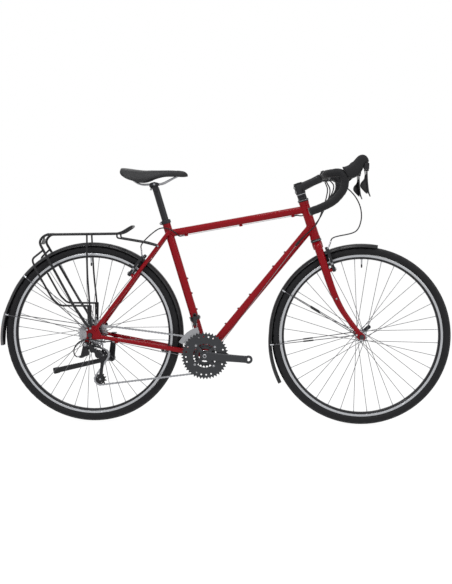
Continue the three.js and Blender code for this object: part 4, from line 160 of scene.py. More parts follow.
class Shape:
    """The corners and faces of one piece, in millimetres."""

    def __init__(self):
        self.corners = []
        self.faces = []

    def add(self, corners, faces):
        base = len(self.corners)
        self.corners += corners
        self.faces += [[base + i for i in face] for face in faces]
        return self

    def loft(self, rings, closed=False, caps=True):
        count = len(rings[0])
        faces = []
        spans = len(rings) if closed else len(rings) - 1
        for i in range(spans):
            here, there = i * count, (i + 1) % len(rings) * count
            for k in range(count):
                j = (k + 1) % count
                faces.append([here + k, here + j, there + j, there + k])
        if not closed and caps:
            last = (len(rings) - 1) * count
            faces.append(list(range(count))[::-1])
            faces.append([last + k for k in range(count)])
        return self.add([p for ring in rings for p in ring], faces)

    def sweep(self, path, section, side=None, scale=None, closed=False):
        """A flat section carried along a path; scale gives two factors at a share of the path."""
        last = len(path) - 1
        tangents = []
        for i in range(last + 1):
            before = path[(i - 1) % len(path)] if closed else path[max(i - 1, 0)]
            after = path[(i + 1) % len(path)] if closed else path[min(i + 1, last)]
            tangents.append((after - before).normalized())
        lead = side.copy() if side else (LEFT if abs(tangents[0].z) > 0.7 else UP).copy()
        rings = []
        for i, (point, tangent) in enumerate(zip(path, tangents)):
            if not side and i:
                lead = tangents[i - 1].rotation_difference(tangent) @ lead
            wide = (lead - tangent * lead.dot(tangent)).normalized()
            tall = tangent.cross(wide)
            a, b = scale(i / last) if scale else (1, 1)
            here = section(i / last) if callable(section) else section
            rings.append([point + wide * (p * a) + tall * (q * b) for p, q in here])
        return self.loft(rings, closed)

    def tube(self, path, radius, sides=20, closed=False):
        return self.sweep(path, circle(sides, radius), closed=closed)

    def rod(self, a, b, radius, end=None, sides=32, bevel=0.0):
        """A round bar whose ends can have a small bevel."""
        end = radius if end is None else end
        axis = (b - a).normalized()
        if not bevel:
            path, radii = [a, b], [radius, end]
        else:
            path = [a, a + axis * bevel, b - axis * bevel, b]
            radii = [radius - bevel, radius, end, end - bevel]
        wide = axis.orthogonal().normalized()
        tall = axis.cross(wide)
        rings = [[p + wide * (c * r) + tall * (s * r) for c, s in circle(sides)] for p, r in zip(path, radii)]
        return self.loft(rings)

    def lathe(self, profile, centre, sides=64, axis=None, closed=False, caps=False):
        """A turned piece from (radius, place along the axis) pairs."""
        axis = LEFT if axis is None else axis.normalized()
        wide = V(1, 0, 0) if abs(axis.x) < 0.7 else UP.copy()
        wide = (wide - axis * wide.dot(axis)).normalized()
        tall = axis.cross(wide)
        rings = [[centre + axis * y + wide * (c * r) + tall * (s * r) for c, s in circle(sides)]
                 for r, y in profile]
        return self.loft(rings, closed, caps)

    def side_lathe(self, profile, centre, side, sides, closed=True):
        """A turned ring whose profile is written for the left side, on either side."""
        return self.lathe([(r, side * y) for r, y in profile][::side], centre, sides, closed=closed)

    def plate(self, outline, thick, holes=(), place=None, y=0.0, basis=None):
        """A flat plate in the XZ plane, or in another plane by its basis; its thickness is centred on y."""
        loops = [list(outline)] + [list(hole) for hole in holes]
        flat = [V(x, z, 0) for loop in loops for x, z in loop]
        triangles = tessellate_polygon([[V(x, z, 0) for x, z in loop] for loop in loops])
        place = place or V(0, 0, 0)
        u, w, n = basis or (V(1, 0, 0), UP, LEFT)
        count = len(flat)
        corners = [place + u * p.x + w * p.y + n * (y + end * thick / 2) for end in SIDES for p in flat]
        faces = []
        for a, b, c in triangles:
            turn = (flat[b] - flat[a]).cross(flat[c] - flat[a]).z
            a, b, c = (a, b, c) if turn > 0 else (a, c, b)
            faces += [[a, b, c], [count + a, count + c, count + b]]
        start = 0
        for loop in loops:
            area = sum(p[0] * q[1] - q[0] * p[1] for p, q in zip(loop, loop[1:] + loop[:1]))
            flip = (area > 0) == (loop is loops[0])
            for k in range(len(loop)):
                i, j = start + k, start + (k + 1) % len(loop)
                face = [j, i, count + i, count + j]
                faces.append(face if flip else face[::-1])
            start += len(loop)
        return self.add(corners, faces)

    def bolt(self, at, direction, radius, height=None, turn=0.0):
        """A socket bolt's head with its hexagon."""
        direction = direction.normalized()
        height = height or radius * 1.1
        wide = direction.orthogonal().normalized()
        wide = Quaternion(direction, turn) @ wide
        tall = direction.cross(wide)
        count = 24

        def ring(r, up, hexagon=False):
            points = []
            for k in range(count):
                angle = 2 * pi * k / count
                reach = r
                if hexagon:
                    reach = r * cos(pi / 6) / cos((angle + pi / 6) % (pi / 3) - pi / 6)
                points.append(at + wide * (cos(angle) * reach) + tall * (sin(angle) * reach) + direction * up)
            return points

        return self.loft([
            ring(radius, -height * 0.3), ring(radius, height * 0.8), ring(radius * 0.88, height),
            ring(radius * 0.58, height, True), ring(radius * 0.55, height * 0.45, True),
        ])

    def moved(self, matrix):
        self.corners = [matrix @ p for p in self.corners]
        return self


def pitch_radius(teeth):
    return PITCH / (2 * sin(pi / teeth))


def gear(teeth, phase=0.0, root=4.1, tip=3.4, steps=8):
    """A sprocket's outline with rounded roots and narrow tips; a root is on the given angle."""
    radius = pitch_radius(teeth)
    points = []
    for i in range(teeth * steps):
        share = i / steps % 1
        wave = 0.5 - 0.5 * cos(2 * pi * share)
        reach = radius - root + (root + tip) * wave ** 1.7
        angle = phase + 2 * pi * i / (teeth * steps)
        points.append((reach * cos(angle), reach * sin(angle)))
    return points


def ring_hole(x, z, radius, sides=16, tall=None):
    return [(x + a, z + b) for a, b in circle(sides, radius, tall)]


def hull(circles, sides=28):
    """The tight outline round a few circles, each given as x, z and radius."""
    points = sorted((x + r * cos(2 * pi * k / sides), z + r * sin(2 * pi * k / sides))
                    for x, z, r in circles for k in range(sides))

    def half(points):
        kept = []
        for p in points:
            while len(kept) > 1 and ((kept[-1][0] - kept[-2][0]) * (p[1] - kept[-2][1])
                                     - (kept[-1][1] - kept[-2][1]) * (p[0] - kept[-2][0])) <= 0:
                kept.pop()
            kept.append(p)
        return kept[:-1]

    return half(points) + half(points[::-1])


# Materials: the plain values sit on the shader, and noise gives the surface its grain
def material(name, color, roughness, metallic=0.0, coat=0.0, grain=None, speckle=0.0, sheen=0.0,
             specular=0.5):
    mat = bpy.data.materials.new(name)
    mat.use_nodes = True
    tree = mat.node_tree
    shader = tree.nodes["Principled BSDF"]
    shader.inputs["Base Color"].default_value = (*color, 1)
    shader.inputs["Roughness"].default_value = roughness
    shader.inputs["Metallic"].default_value = metallic
    shader.inputs["Specular IOR Level"].default_value = specular
    shader.inputs["Coat Weight"].default_value = coat
    shader.inputs["Coat Roughness"].default_value = 0.06
    shader.inputs["Sheen Weight"].default_value = sheen
    coordinates = tree.nodes.new("ShaderNodeTexCoord")
    if speckle:
        noise = tree.nodes.new("ShaderNodeTexNoise")
        noise.inputs["Scale"].default_value = 38
        noise.inputs["Detail"].default_value = 5
        tree.links.new(coordinates.outputs["Object"], noise.inputs["Vector"])
        ramp = tree.nodes.new("ShaderNodeMapRange")
        ramp.inputs["To Min"].default_value = max(roughness - speckle, 0.03)
        ramp.inputs["To Max"].default_value = min(roughness + speckle, 1)
        tree.links.new(noise.outputs["Fac"], ramp.inputs["Value"])
        tree.links.new(ramp.outputs["Result"], shader.inputs["Roughness"])
    if grain:
        kind, scale, strength, depth = grain
        texture = tree.nodes.new(f"ShaderNodeTex{kind}")
        texture.inputs["Scale"].default_value = scale
        bump = tree.nodes.new("ShaderNodeBump")
        bump.inputs["Strength"].default_value = strength
        bump.inputs["Distance"].default_value = depth
        tree.links.new(coordinates.outputs["Object"], texture.inputs["Vector"])
        tree.links.new(texture.outputs["Fac" if kind == "Noise" else "Distance"], bump.inputs["Height"])
        tree.links.new(bump.outputs["Normal"], shader.inputs["Normal"])
    return mat


# Name, colour, roughness, metallic, coat, grain as texture, scale, strength and depth, and speckle
MATERIALS = {
    "red_paint": material("deep_red_enamel", (0.34, 0.001, 0.008), 0.3, 0.0, 0.22,
                          ("Noise", 420, 0.05, 0.0004), 0.04, specular=0.06),
    "black_paint": material("satin_black_powder", (0.016, 0.016, 0.018), 0.42, 0.0, 0.1,
                            ("Noise", 1500, 0.25, 0.0003), 0.06, specular=0.25),
    "black_plastic": material("semi_matt_plastic", (0.018, 0.018, 0.02), 0.36, 0.0, 0.1,
                              ("Noise", 1100, 0.16, 0.0003), 0.07, specular=0.25),
    "cable_housing": material("cable_housing", (0.014, 0.014, 0.016), 0.32, 0.0, 0.1,
                              ("Noise", 600, 0.1, 0.0002), specular=0.2),
    "tyre": material("tyre_rubber", (0.018, 0.018, 0.02), 0.62, 0.0, 0.0, ("Noise", 520, 0.4, 0.0005), 0.08,
                     specular=0.2),
    "bar_tape": material("wrapped_tape", (0.02, 0.02, 0.022), 0.72, 0.0, 0.0, ("Voronoi", 900, 0.5, 0.0005),
                         0.06, sheen=0.1, specular=0.2),
    "hood_rubber": material("moulded_rubber", (0.016, 0.016, 0.018), 0.6, 0.0, 0.0,
                            ("Voronoi", 620, 0.35, 0.0005), 0.06, specular=0.25),
    "saddle_cover": material("fine_grained_cover", (0.014, 0.014, 0.016), 0.46, 0.0, 0.0,
                             ("Voronoi", 1300, 0.3, 0.0004), 0.06, sheen=0.05, specular=0.25),
    "black_alloy": material("black_anodised", (0.02, 0.02, 0.023), 0.34, 0.3, 0.12,
                            ("Noise", 900, 0.1, 0.0002), 0.06, specular=0.25),
    "grey_alloy": material("dark_grey_anodised", (0.05, 0.052, 0.057), 0.34, 0.6, 0.05,
                           ("Noise", 900, 0.12, 0.0002), 0.07, specular=0.25),
    "polished_steel": material("bright_steel", (0.3, 0.305, 0.32), 0.24, 1.0, 0.0,
                               ("Noise", 700, 0.08, 0.0002), 0.08),
    "silver_alloy": material("silver_anodised", (0.46, 0.47, 0.49), 0.32, 0.9, 0.0,
                             ("Noise", 900, 0.12, 0.0002), 0.08),
    "spoke_wire": material("drawn_wire", (0.1, 0.1, 0.107), 0.3, 1.0, 0.0, ("Noise", 900, 0.06, 0.0001),
                           0.06),
    # A flat grey for the rear guard's end: a painted highlight in place of the shine on the glossy guard
    "guard_highlight_grey": material("painted_highlight_grey", (0.15, 0.145, 0.15), 0.34, 0.0, 0.1, ("Noise", 700, 0.1, 0.0003),
                             0.06, specular=0.3),
}


def piece(name, shape, body, slot, *replaced, sharp=38, bevel=0.0, material_name=None):
    """Makes an object of a shape; it rides on a body and may stand for CAD nodes."""
    mesh = bpy.data.meshes.new(name)
    mesh.from_pydata([metres(p) for p in shape.corners], [], shape.faces)
    mesh.validate()
    mesh.update()
    mesh.shade_smooth()
    mesh.set_sharp_from_angle(angle=radians(sharp))
    obj = bpy.data.objects.new(name, mesh)
    bpy.context.scene.collection.objects.link(obj)
    mesh.materials.append(MATERIALS[material_name or slot])
    if bevel:
        soften(obj, bevel)
    if body:
        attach(obj, body)
    if replaced:
        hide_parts(*replaced)
    return obj


def soften(obj, width, segments=2):
    """Rounds an object's hard edges."""
    modifier = obj.modifiers.new("edges", "BEVEL")
    modifier.width = width * MM
    modifier.segments = segments
    modifier.limit_method = "ANGLE"
    modifier.angle_limit = radians(34)
    modifier.harden_normals = False
    return obj


# Camera at the photograph's viewpoint
eye = V(0.2314, -4.1412, 0.7748)
yaw, pitch, roll = radians(3.072), radians(-3.621), radians(0.2365)
forward = V(-sin(yaw) * cos(pitch), cos(yaw) * cos(pitch), sin(pitch))
right = V(cos(yaw), sin(yaw), 0)
up = right.cross(forward)
turned_right = right * cos(roll) + up * sin(roll)
turned_up = up * cos(roll) - right * sin(roll)
lens = bpy.data.cameras.new("photo_view")
lens.lens = 65.65
lens.sensor_fit = "VERTICAL"
lens.sensor_height = 36
lens.clip_end = 100
camera = bpy.data.objects.new("photo_view", lens)
camera.matrix_world = Matrix((turned_right, turned_up, -forward)).transposed().to_4x4()
camera.location = eye
bpy.context.scene.collection.objects.link(camera)
bpy.context.scene.camera = camera


# Floor, backdrop light and lamps
def stage():
    light_on_object, floor_glow, glow_share, floor_grey, reach = 0.4, 1.16, 0.8, 0.9, 14
    scene = bpy.context.scene
    scene.view_settings.view_transform = "Standard"
    world = bpy.data.worlds.new("studio")
    scene.world = world
    world.use_nodes = True
    tree = world.node_tree
    background = tree.nodes["Background"]
    background.inputs["Color"].default_value = (1, 1, 1, 1)
    shown = camera_rays(tree)
    strength = tree.nodes.new("ShaderNodeMapRange")
    strength.inputs["To Min"].default_value = light_on_object
    strength.inputs["To Max"].default_value = 1.0
    tree.links.new(shown, strength.inputs["Value"])
    tree.links.new(strength.outputs["Result"], background.inputs["Strength"])

    floor_mesh = bpy.data.meshes.new("floor")
    corners = [(-reach, -reach, 0), (reach, -reach, 0), (reach, reach, 0), (-reach, reach, 0)]
    floor_mesh.from_pydata(corners, [], [(0, 1, 2, 3)])
    floor = bpy.data.objects.new("floor", floor_mesh)
    floor.location.z = -0.0005
    scene.collection.objects.link(floor)
    pale = bpy.data.materials.new("pale_floor")
    pale.use_nodes = True
    tree = pale.node_tree
    shader = tree.nodes["Principled BSDF"]
    shader.inputs["Base Color"].default_value = (floor_grey, floor_grey, floor_grey, 1)
    shader.inputs["Roughness"].default_value = 0.9
    white = tree.nodes.new("ShaderNodeEmission")
    both = tree.nodes.new("ShaderNodeMixShader")
    white.inputs["Strength"].default_value = floor_glow
    both.inputs["Fac"].default_value = glow_share
    choose = tree.nodes.new("ShaderNodeMixShader")
    tree.links.new(shader.outputs[0], both.inputs[1])
    tree.links.new(white.outputs[0], both.inputs[2])
    tree.links.new(camera_rays(tree), choose.inputs["Fac"])
    tree.links.new(shader.outputs[0], choose.inputs[1])
    tree.links.new(both.outputs[0], choose.inputs[2])
    tree.links.new(choose.outputs[0], tree.nodes["Material Output"].inputs["Surface"])
    floor_mesh.materials.append(pale)

    # Name, place, width in metres and power in watts
    lamps = (
        ("key", (-1.4, -2.6, 3.2), 0.5, 24), ("fill", (2.6, -2.2, 2.2), 1.4, 12),
        ("back", (0.2, 3.0, 2.8), 2.2, 16), ("top", (0.0, -0.6, 3.6), 0.9, 18),
    )
    for name, place, width, power in lamps:
        light = bpy.data.lights.new(name, "AREA")
        light.size = width
        light.energy = power
        lamp = bpy.data.objects.new(name, light)
        lamp.location = place
        aim = V(0, 0, 0.5) - V(*place)
        lamp.rotation_euler = aim.to_track_quat("-Z", "Y").to_euler()
        scene.collection.objects.link(lamp)


def camera_rays(tree):
    """1 for what the camera sees straight or in gloss and glass, and 0 for what lights the object."""
    path = tree.nodes.new("ShaderNodeLightPath")
    first = tree.nodes.new("ShaderNodeMath")
    first.operation = "MAXIMUM"
    second = tree.nodes.new("ShaderNodeMath")
    second.operation = "MAXIMUM"
    tree.links.new(path.outputs["Is Camera Ray"], first.inputs[0])
    tree.links.new(path.outputs["Is Glossy Ray"], first.inputs[1])
    tree.links.new(first.outputs[0], second.inputs[0])
    tree.links.new(path.outputs["Is Transmission Ray"], second.inputs[1])
    return second.outputs[0]


stage()

# Key points of the frame, from the same sizes as the CAD
REAR = V(0, 0, AXLE_HEIGHT)
FRONT = V(WHEELBASE, 0, AXLE_HEIGHT)
BRACKET = V(sqrt(CHAINSTAY ** 2 - (AXLE_HEIGHT - BRACKET_HEIGHT) ** 2), 0, BRACKET_HEIGHT)
SEAT_UP = heading(180 - SEAT_ANGLE)
SEAT_AHEAD = heading(90 - SEAT_ANGLE)
HEAD_UP = heading(180 - HEAD_ANGLE)
FORK_FORWARD = heading(90 - HEAD_ANGLE)
HEAD_FOOT = FRONT - FORK_FORWARD * RAKE
HEAD_BOTTOM = HEAD_FOOT + HEAD_UP * 410
HEAD_TOP = HEAD_BOTTOM + HEAD_UP * HEAD_LENGTH
SEAT_TOP = BRACKET + SEAT_UP * SEAT_LENGTH


def meet(p, u, q, w):
    """Where the line from p along u crosses the line from q along w."""
    share = ((q.x - p.x) * w.z - (q.z - p.z) * w.x) / (u.x * w.z - u.z * w.x)
    return p + u * share


TOP_TUBE = heading(TOP_ANGLE)
DOWN_TUBE = heading(DOWN_ANGLE)
TOP_REAR = BRACKET + SEAT_UP * 492.7
TOP_FRONT = meet(TOP_REAR, TOP_TUBE, HEAD_BOTTOM, HEAD_UP)
DOWN_FRONT = meet(BRACKET, DOWN_TUBE, HEAD_BOTTOM, HEAD_UP)
TOP_UP = heading(90 + TOP_ANGLE)
DOWN_UP = heading(90 + DOWN_ANGLE)
CROWN = HEAD_FOOT + HEAD_UP * 400.7
STEM_FOOT = HEAD_FOOT + HEAD_UP * 617
STEM_OUT = heading(STEM_ANGLE)
BAR = STEM_FOOT + STEM_OUT * STEM_LENGTH


def weld(shape, start, end, radius, axis_a, axis_b, other, bead=1.7, sides=56):
    """The bead of weld where a tube from start to end meets another tube."""
    along = (end - start).normalized()
    axis = (axis_b - axis_a).normalized()
    wide = along.orthogonal().normalized()
    tall = along.cross(wide)
    loop = []
    for c, s in circle(sides, radius):
        point = start + wide * c + tall * s
        offset = point - axis_a
        d = along - axis * along.dot(axis)
        e = offset - axis * offset.dot(axis)
        a, b, c2 = d.dot(d), 2 * d.dot(e), e.dot(e) - other * other
        root = b * b - 4 * a * c2
        if root < 0:
            return
        loop.append(point + along * ((-b - sqrt(root)) / (2 * a)))
    shape.tube(loop, bead, 8, closed=True)


def stay_lines(side):
    """The middle lines of one side's chainstay and seat stay."""
    to_bracket = (BRACKET - REAR).normalized()
    chain = [
        V(BRACKET.x - 10.25, side * 25, BRACKET.z),
        across(BRACKET - to_bracket * 51.25, side * 25.3),
        across(mix(REAR + to_bracket * (CHAINSTAY - 123), REAR, 0.25), side * 41),
        across(REAR + to_bracket * 40, side * 70.2),
    ]
    foot = V(18, side * 71.1, 364)
    top = across(TOP_REAR + SEAT_UP * 5, side * 21)
    return chain, [foot, top]


def stay_point(line, distance, axle=REAR):
    """The point of a stay's line at a distance from an axle."""
    start = across(line[0] - axle, 0)
    run = line[-1] - line[0]
    flat = across(run, 0)
    a, b, c = flat.dot(flat), start.dot(flat), start.dot(start) - distance * distance
    return line[0] + run * ((-b + sqrt(b * b - a * c)) / a)


def bridge_end(side, low):
    """Where a bridge between the stays meets them; the low one is at the chainstays."""
    chain, seat = stay_lines(side)
    return stay_point([chain[2], chain[1]] if low else seat, BRIDGE_REACH)


def brake_place(line, surface, side, axle):
    """A brake arm's pivot over its stay or blade, with its directions."""
    upward = across(line[1] - line[0], 0).normalized()
    ahead = 1 if axle is FRONT else -1
    out = V(upward.z, 0, -upward.x) * ahead
    reach = surface + POST_BASE + POST_GAP + ARM_HALF
    lifted = [p + out * reach for p in line]
    pivot = stay_point(lifted, PIVOT_REACH, axle)
    inner = pivot - out * reach
    return {"centre": across(pivot, side * PIVOT_HALF), "inner": inner, "up": upward, "out": out,
            "root": across(inner, side * PIVOT_HALF), "surface": surface}


def blade_point(share, side, rake=0.0):
    """A point of a fork blade's middle line, at shares of its length and of its rake."""
    drop = CROWN + HEAD_UP * (-13 - share * (401 - 13))
    return across(drop + FORK_FORWARD * (rake * RAKE), (36 + 16 * share) * side)


REAR_BRAKES = {side: brake_place(stay_lines(side)[1], 7.5, side, REAR) for side in SIDES}
FRONT_BRAKES = {side: brake_place([blade_point(1, side), blade_point(0, side)], 14.5, side, FRONT)
                for side in SIDES}


def brake_post(red, dark, place):
    red.rod(place["inner"], place["root"] + place["out"] * (place["surface"] + 2), 6.6, sides=24)
    base = place["root"] + place["out"] * (place["surface"] + POST_BASE)
    red.rod(place["root"] + place["out"] * (place["surface"] / 2), base, 7, 6.2, 28, 0.6)
    dark.rod(base - place["out"] * 2, base + place["out"] * 15.6, 3.9)


# The painted frame with its welds, braze-ons and dropouts
def build_frame():
    red, dark, bright = Shape(), Shape(), Shape()
    red.rod(BRACKET, SEAT_TOP, MAIN_RADIUS, sides=56)
    red.rod(BRACKET, DOWN_FRONT, MAIN_RADIUS, sides=56)
    red.rod(TOP_REAR, TOP_FRONT, TOP_RADIUS, sides=56)
    collar = 9
    red.lathe([
        (17, 0), (19.3, 0.2), (19.6, 1), (19.6, collar), (HEAD_RADIUS, collar + 2),
        (HEAD_RADIUS, HEAD_LENGTH - collar - 2), (19.6, HEAD_LENGTH - collar),
        (19.6, HEAD_LENGTH - 1), (19.3, HEAD_LENGTH - 0.2), (17, HEAD_LENGTH),
    ], HEAD_BOTTOM, 64, HEAD_UP, caps=True)
    red.lathe([
        (16.9, -33.6), (19.9, -34), (20.5, -33.2), (20.5, 33.2), (19.9, 34), (16.9, 33.6),
    ], BRACKET, 64, closed=True)
    weld(red, across(BRACKET, 0) + DOWN_TUBE * 300, BRACKET, MAIN_RADIUS, across(BRACKET, -40),
         across(BRACKET, 40), SHELL_RADIUS)
    weld(red, BRACKET + SEAT_UP * 300, BRACKET, MAIN_RADIUS, across(BRACKET, -40), across(BRACKET, 40),
         SHELL_RADIUS)
    weld(red, BRACKET, DOWN_FRONT + DOWN_TUBE * 40, MAIN_RADIUS, HEAD_BOTTOM, HEAD_TOP, HEAD_RADIUS)
    weld(red, TOP_REAR, TOP_FRONT + TOP_TUBE * 40, TOP_RADIUS, HEAD_BOTTOM, HEAD_TOP, HEAD_RADIUS)
    weld(red, TOP_FRONT, TOP_REAR, TOP_RADIUS, BRACKET, SEAT_TOP, MAIN_RADIUS)
    for side in SIDES:
        chain, seat = stay_lines(side)
        path = smooth(chain, 40)
        red.sweep(path, circle(32), side=LEFT, scale=lambda t: (8.5 - 1.5 * t, 10.5 - 3.5 * t))
        red.tube([seat[0], mix(seat[0], seat[1], 0.9), seat[1] + (seat[1] - seat[0]).normalized() * 6], 7.4,
                 32)
        # The stay's top is capped where it lies against the seat tube
        red.rod(seat[1], seat[1] + V(7, -side * 12, 2), 7.2, 5.5, 24)
        build_dropout(red, side)
        brake_post(red, dark, REAR_BRAKES[side])
        rack_end = mix(seat[0], seat[1], 0.86)
        red.rod(rack_end, rack_end + LEFT * side * 9.5, 4.4, sides=20, bevel=0.4)
    for low in (False, True):
        red.rod(bridge_end(1, low), bridge_end(-1, low), 6, sides=28)
    for share in (0.78, 0.67, 0.45, 0.34, 0.22):
        point = mix(BRACKET, DOWN_FRONT, share) + DOWN_UP * MAIN_RADIUS
        braze_on(red, bright, point, DOWN_UP)
    for share in (0.56, 0.45, 0.33):
        point = mix(BRACKET, SEAT_TOP, share) + SEAT_AHEAD * MAIN_RADIUS
        braze_on(red, bright, point, SEAT_AHEAD)
    for share in (0.12, 0.52, 0.9):
        cable_stop(red, dark, top_stop(share), TOP_TUBE, TOP_UP)
    for side in SIDES:
        point = down_stop(side)
        cable_stop(dark, bright, point, DOWN_TUBE, LEFT * -side)
        dark.lathe([(0, 0), (5.4, 0), (5.4, 3), (4.2, 4), (4.2, 11), (3, 12), (0, 12)], point + DOWN_TUBE * 4,
                   24, DOWN_TUBE)
    cable_stop(red, dark, *chain_stop(), UP)
    piece("frame_painted", red, "frame", "red_paint", "frame", sharp=32)
    piece("frame_posts_and_stops", dark, "frame", "black_alloy")
    piece("frame_bolts", bright, "frame", "polished_steel")


def braze_on(red, bright, point, direction):
    """A boss with its bolt."""
    red.rod(point - direction * 2, point + direction * 2.2, 4.6, 4, 24, 0.4)
    bright.bolt(point + direction * 2.2, direction, 3.4, 2.6)


def cable_stop(body, inner, point, along, toward):
    """A stop along a cable, with a foot toward its tube."""
    body.rod(point - along * 6, point + along * 6, 4.4, sides=24, bevel=0.7)
    body.rod(point, point + toward * 4, 3.4, sides=16)
    inner.rod(point + along * 5.4, point + along * 6.5, 3.0, sides=20)
    inner.rod(point - along * 6.5, point - along * 5.4, 3.0, sides=20)


def axle_slot(step, low):
    """The open slot's outline round (0, 0), from its left foot to its right one."""
    arc = [(AXLE_SLOT * cos(radians(a)), AXLE_SLOT * sin(radians(a))) for a in range(180, -1, -step)]
    return [(-AXLE_SLOT, low)] + arc + [(AXLE_SLOT, low)]


def build_dropout(red, side):
    outline = [(46, -15), (46, -3.5), (38, 12), (29, 34), (22, 37), (9, 36), (-4, 31), (-17, 27),
               (-19, 22), (-14, 11), (-13.3, -7)]
    if side < 0:
        # The hanger's round eye
        outline += [(-15.6 + 9.1 * cos(radians(a)), -34.7 + 9.1 * sin(radians(a)))
                    for a in range(165, 376, 15)]
        outline += [(-7.2, -18)]
    else:
        outline += [(-12, -16), (-7.2, -18)]
    outline += axle_slot(20, -17) + [(14, -18.5)]
    red.plate(outline, 6, [ring_hole(3, 27, 2.6), ring_hole(-11, 21, 2.4)], across(REAR, side * 70.5))


def build_headset():
    dark, bright = Shape(), Shape()
    dark.lathe([(15, -9), (20.4, -9), (21.5, -7.6), (21.5, -2.2), (20, -0.6), (20, 0.6), (15, 0.6)],
               HEAD_BOTTOM, 64, HEAD_UP, closed=True)
    dark.lathe([(15, -0.6), (20, -0.6), (20, 0.6), (21.5, 2.2), (21.5, 6), (20, 8.8), (15, 8.8)], HEAD_TOP,
               64, HEAD_UP, closed=True)
    bright.lathe([(20.6, -5.6), (21.8, -5.3), (21.8, -4.1), (20.6, -3.8)], HEAD_BOTTOM, 64, HEAD_UP,
                 closed=True)
    bright.lathe([(20.6, 3.4), (21.8, 3.7), (21.8, 4.9), (20.6, 5.2)], HEAD_TOP, 64, HEAD_UP, closed=True)
    piece("headset_cups", dark, "frame", "black_alloy")
    piece("headset_trim", bright, "frame", "polished_steel")


def build_fork():
    red, dark, bright = Shape(), Shape(), Shape()
    for side in SIDES:
        rakes = ((0.93, 0.84), (0.82, 0.54), (0.68, 0.23), (0.5, 0.045), (0.26, 0), (0.1, 0))
        points = [blade_point(share, side, rake) for share, rake in rakes]
        points += [across(CROWN - HEAD_UP * drop, side * out)
                   for drop, out in ((24, 34.5), (15, 25), (13, 10), (13, -2))]
        path = smooth(points, 80)

        def girth(t):
            deep = lerp_table([(0, 9), (0.45, 12.6), (0.75, 14.5), (1, 15.2)], t)
            return deep, lerp_table([(0, 7), (0.75, 10), (0.86, 11), (1, 12.2)], t)

        red.sweep(path, circle(36), side=FORK_FORWARD, scale=girth)
        end = blade_point(0.93, side, 0.84) - FRONT
        outline = hull([(0, 0, 14), (end.x, end.z, 7), (-20, 8, 6)])
        holes = [ring_hole(-20, 8, 2.6)]
        red.plate(slotted(outline), 6, holes, across(FRONT, side * 53))
        carrier = blade_point(0.56, side, 0.1) + LEFT * side * 8
        red.rod(carrier, carrier + LEFT * side * 4.6, 5, 4.4, 24, 0.5)
        bright.bolt(carrier + LEFT * side * 4.6, LEFT * side, 3.6, 2.4)
        brake_post(red, dark, FRONT_BRAKES[side])
    red.lathe([(14.3, -30), (19.4, -27), (20.2, -12), (19.6, -3), (18.6, 0), (14.3, 0)], CROWN, 56, HEAD_UP,
              caps=True)
    dark.rod(CROWN - HEAD_UP * 4, HEAD_FOOT + HEAD_UP * 630, 14.2, sides=40)
    piece("fork_painted", red, "steering", "red_paint", "fork", sharp=32)
    piece("fork_posts_and_steerer", dark, "steering", "black_alloy")
    piece("fork_bolts", bright, "steering", "polished_steel")


def slotted(outline):
    """An axle's open slot cut up into a convex outline round (0, 0)."""
    low = min(z for _, z in outline)
    beside = AXLE_SLOT + 0.1
    kept = [(x, z) for x, z in outline if not (abs(x) < beside and z < 0)]
    start = next(i for i, (x, z) in enumerate(kept) if x > beside and z < 0 and kept[i - 1][0] < 0)
    return kept[:start] + axle_slot(15, low + 1.2) + kept[start:]


# Wheels: tyres with cut tread, rims with bright brake tracks, hubs, spokes and nipples
def build_tyre(prefix, axle, body):
    shape = Shape()
    profile = [
        (316, -11), (319, -13.4), (323, -15.9), (324.2, -16.9), (325, -16.5), (328.3, -17.5), (333, -17.2),
        (337, -15.8), (338.6, -15.6), (341.2, -12.4), (343.6, -9), (344.9, -6.4), (345.4, -2.9),
        (345.9, -1.9), (345.9, 0),
    ]
    profile += [(r, -y) for r, y in profile[-2::-1]]
    # Two of every six steps are cut on each shoulder, and the left cuts are two steps from the right ones
    sides, block_depth, groove_depth = 420, 1.5, 1.0
    rings = []
    for k in range(sides):
        ring = []
        for r, y in profile:
            row = abs(y)
            shift = k + (2 if y > 0 else 0)
            if 6 < row < 16 and r > 337 and shift % 6 < 2:
                r -= block_depth
            if 2.5 < row < 3.2:
                r -= groove_depth
            angle = 2 * pi * k / sides
            ring.append(axle + V(cos(angle) * r, y, sin(angle) * r))
        rings.append(ring)
    shape.loft(rings, closed=True)
    piece(f"{prefix}_tyre_tread", shape, body, "tyre", f"{prefix}_tyre", sharp=28)


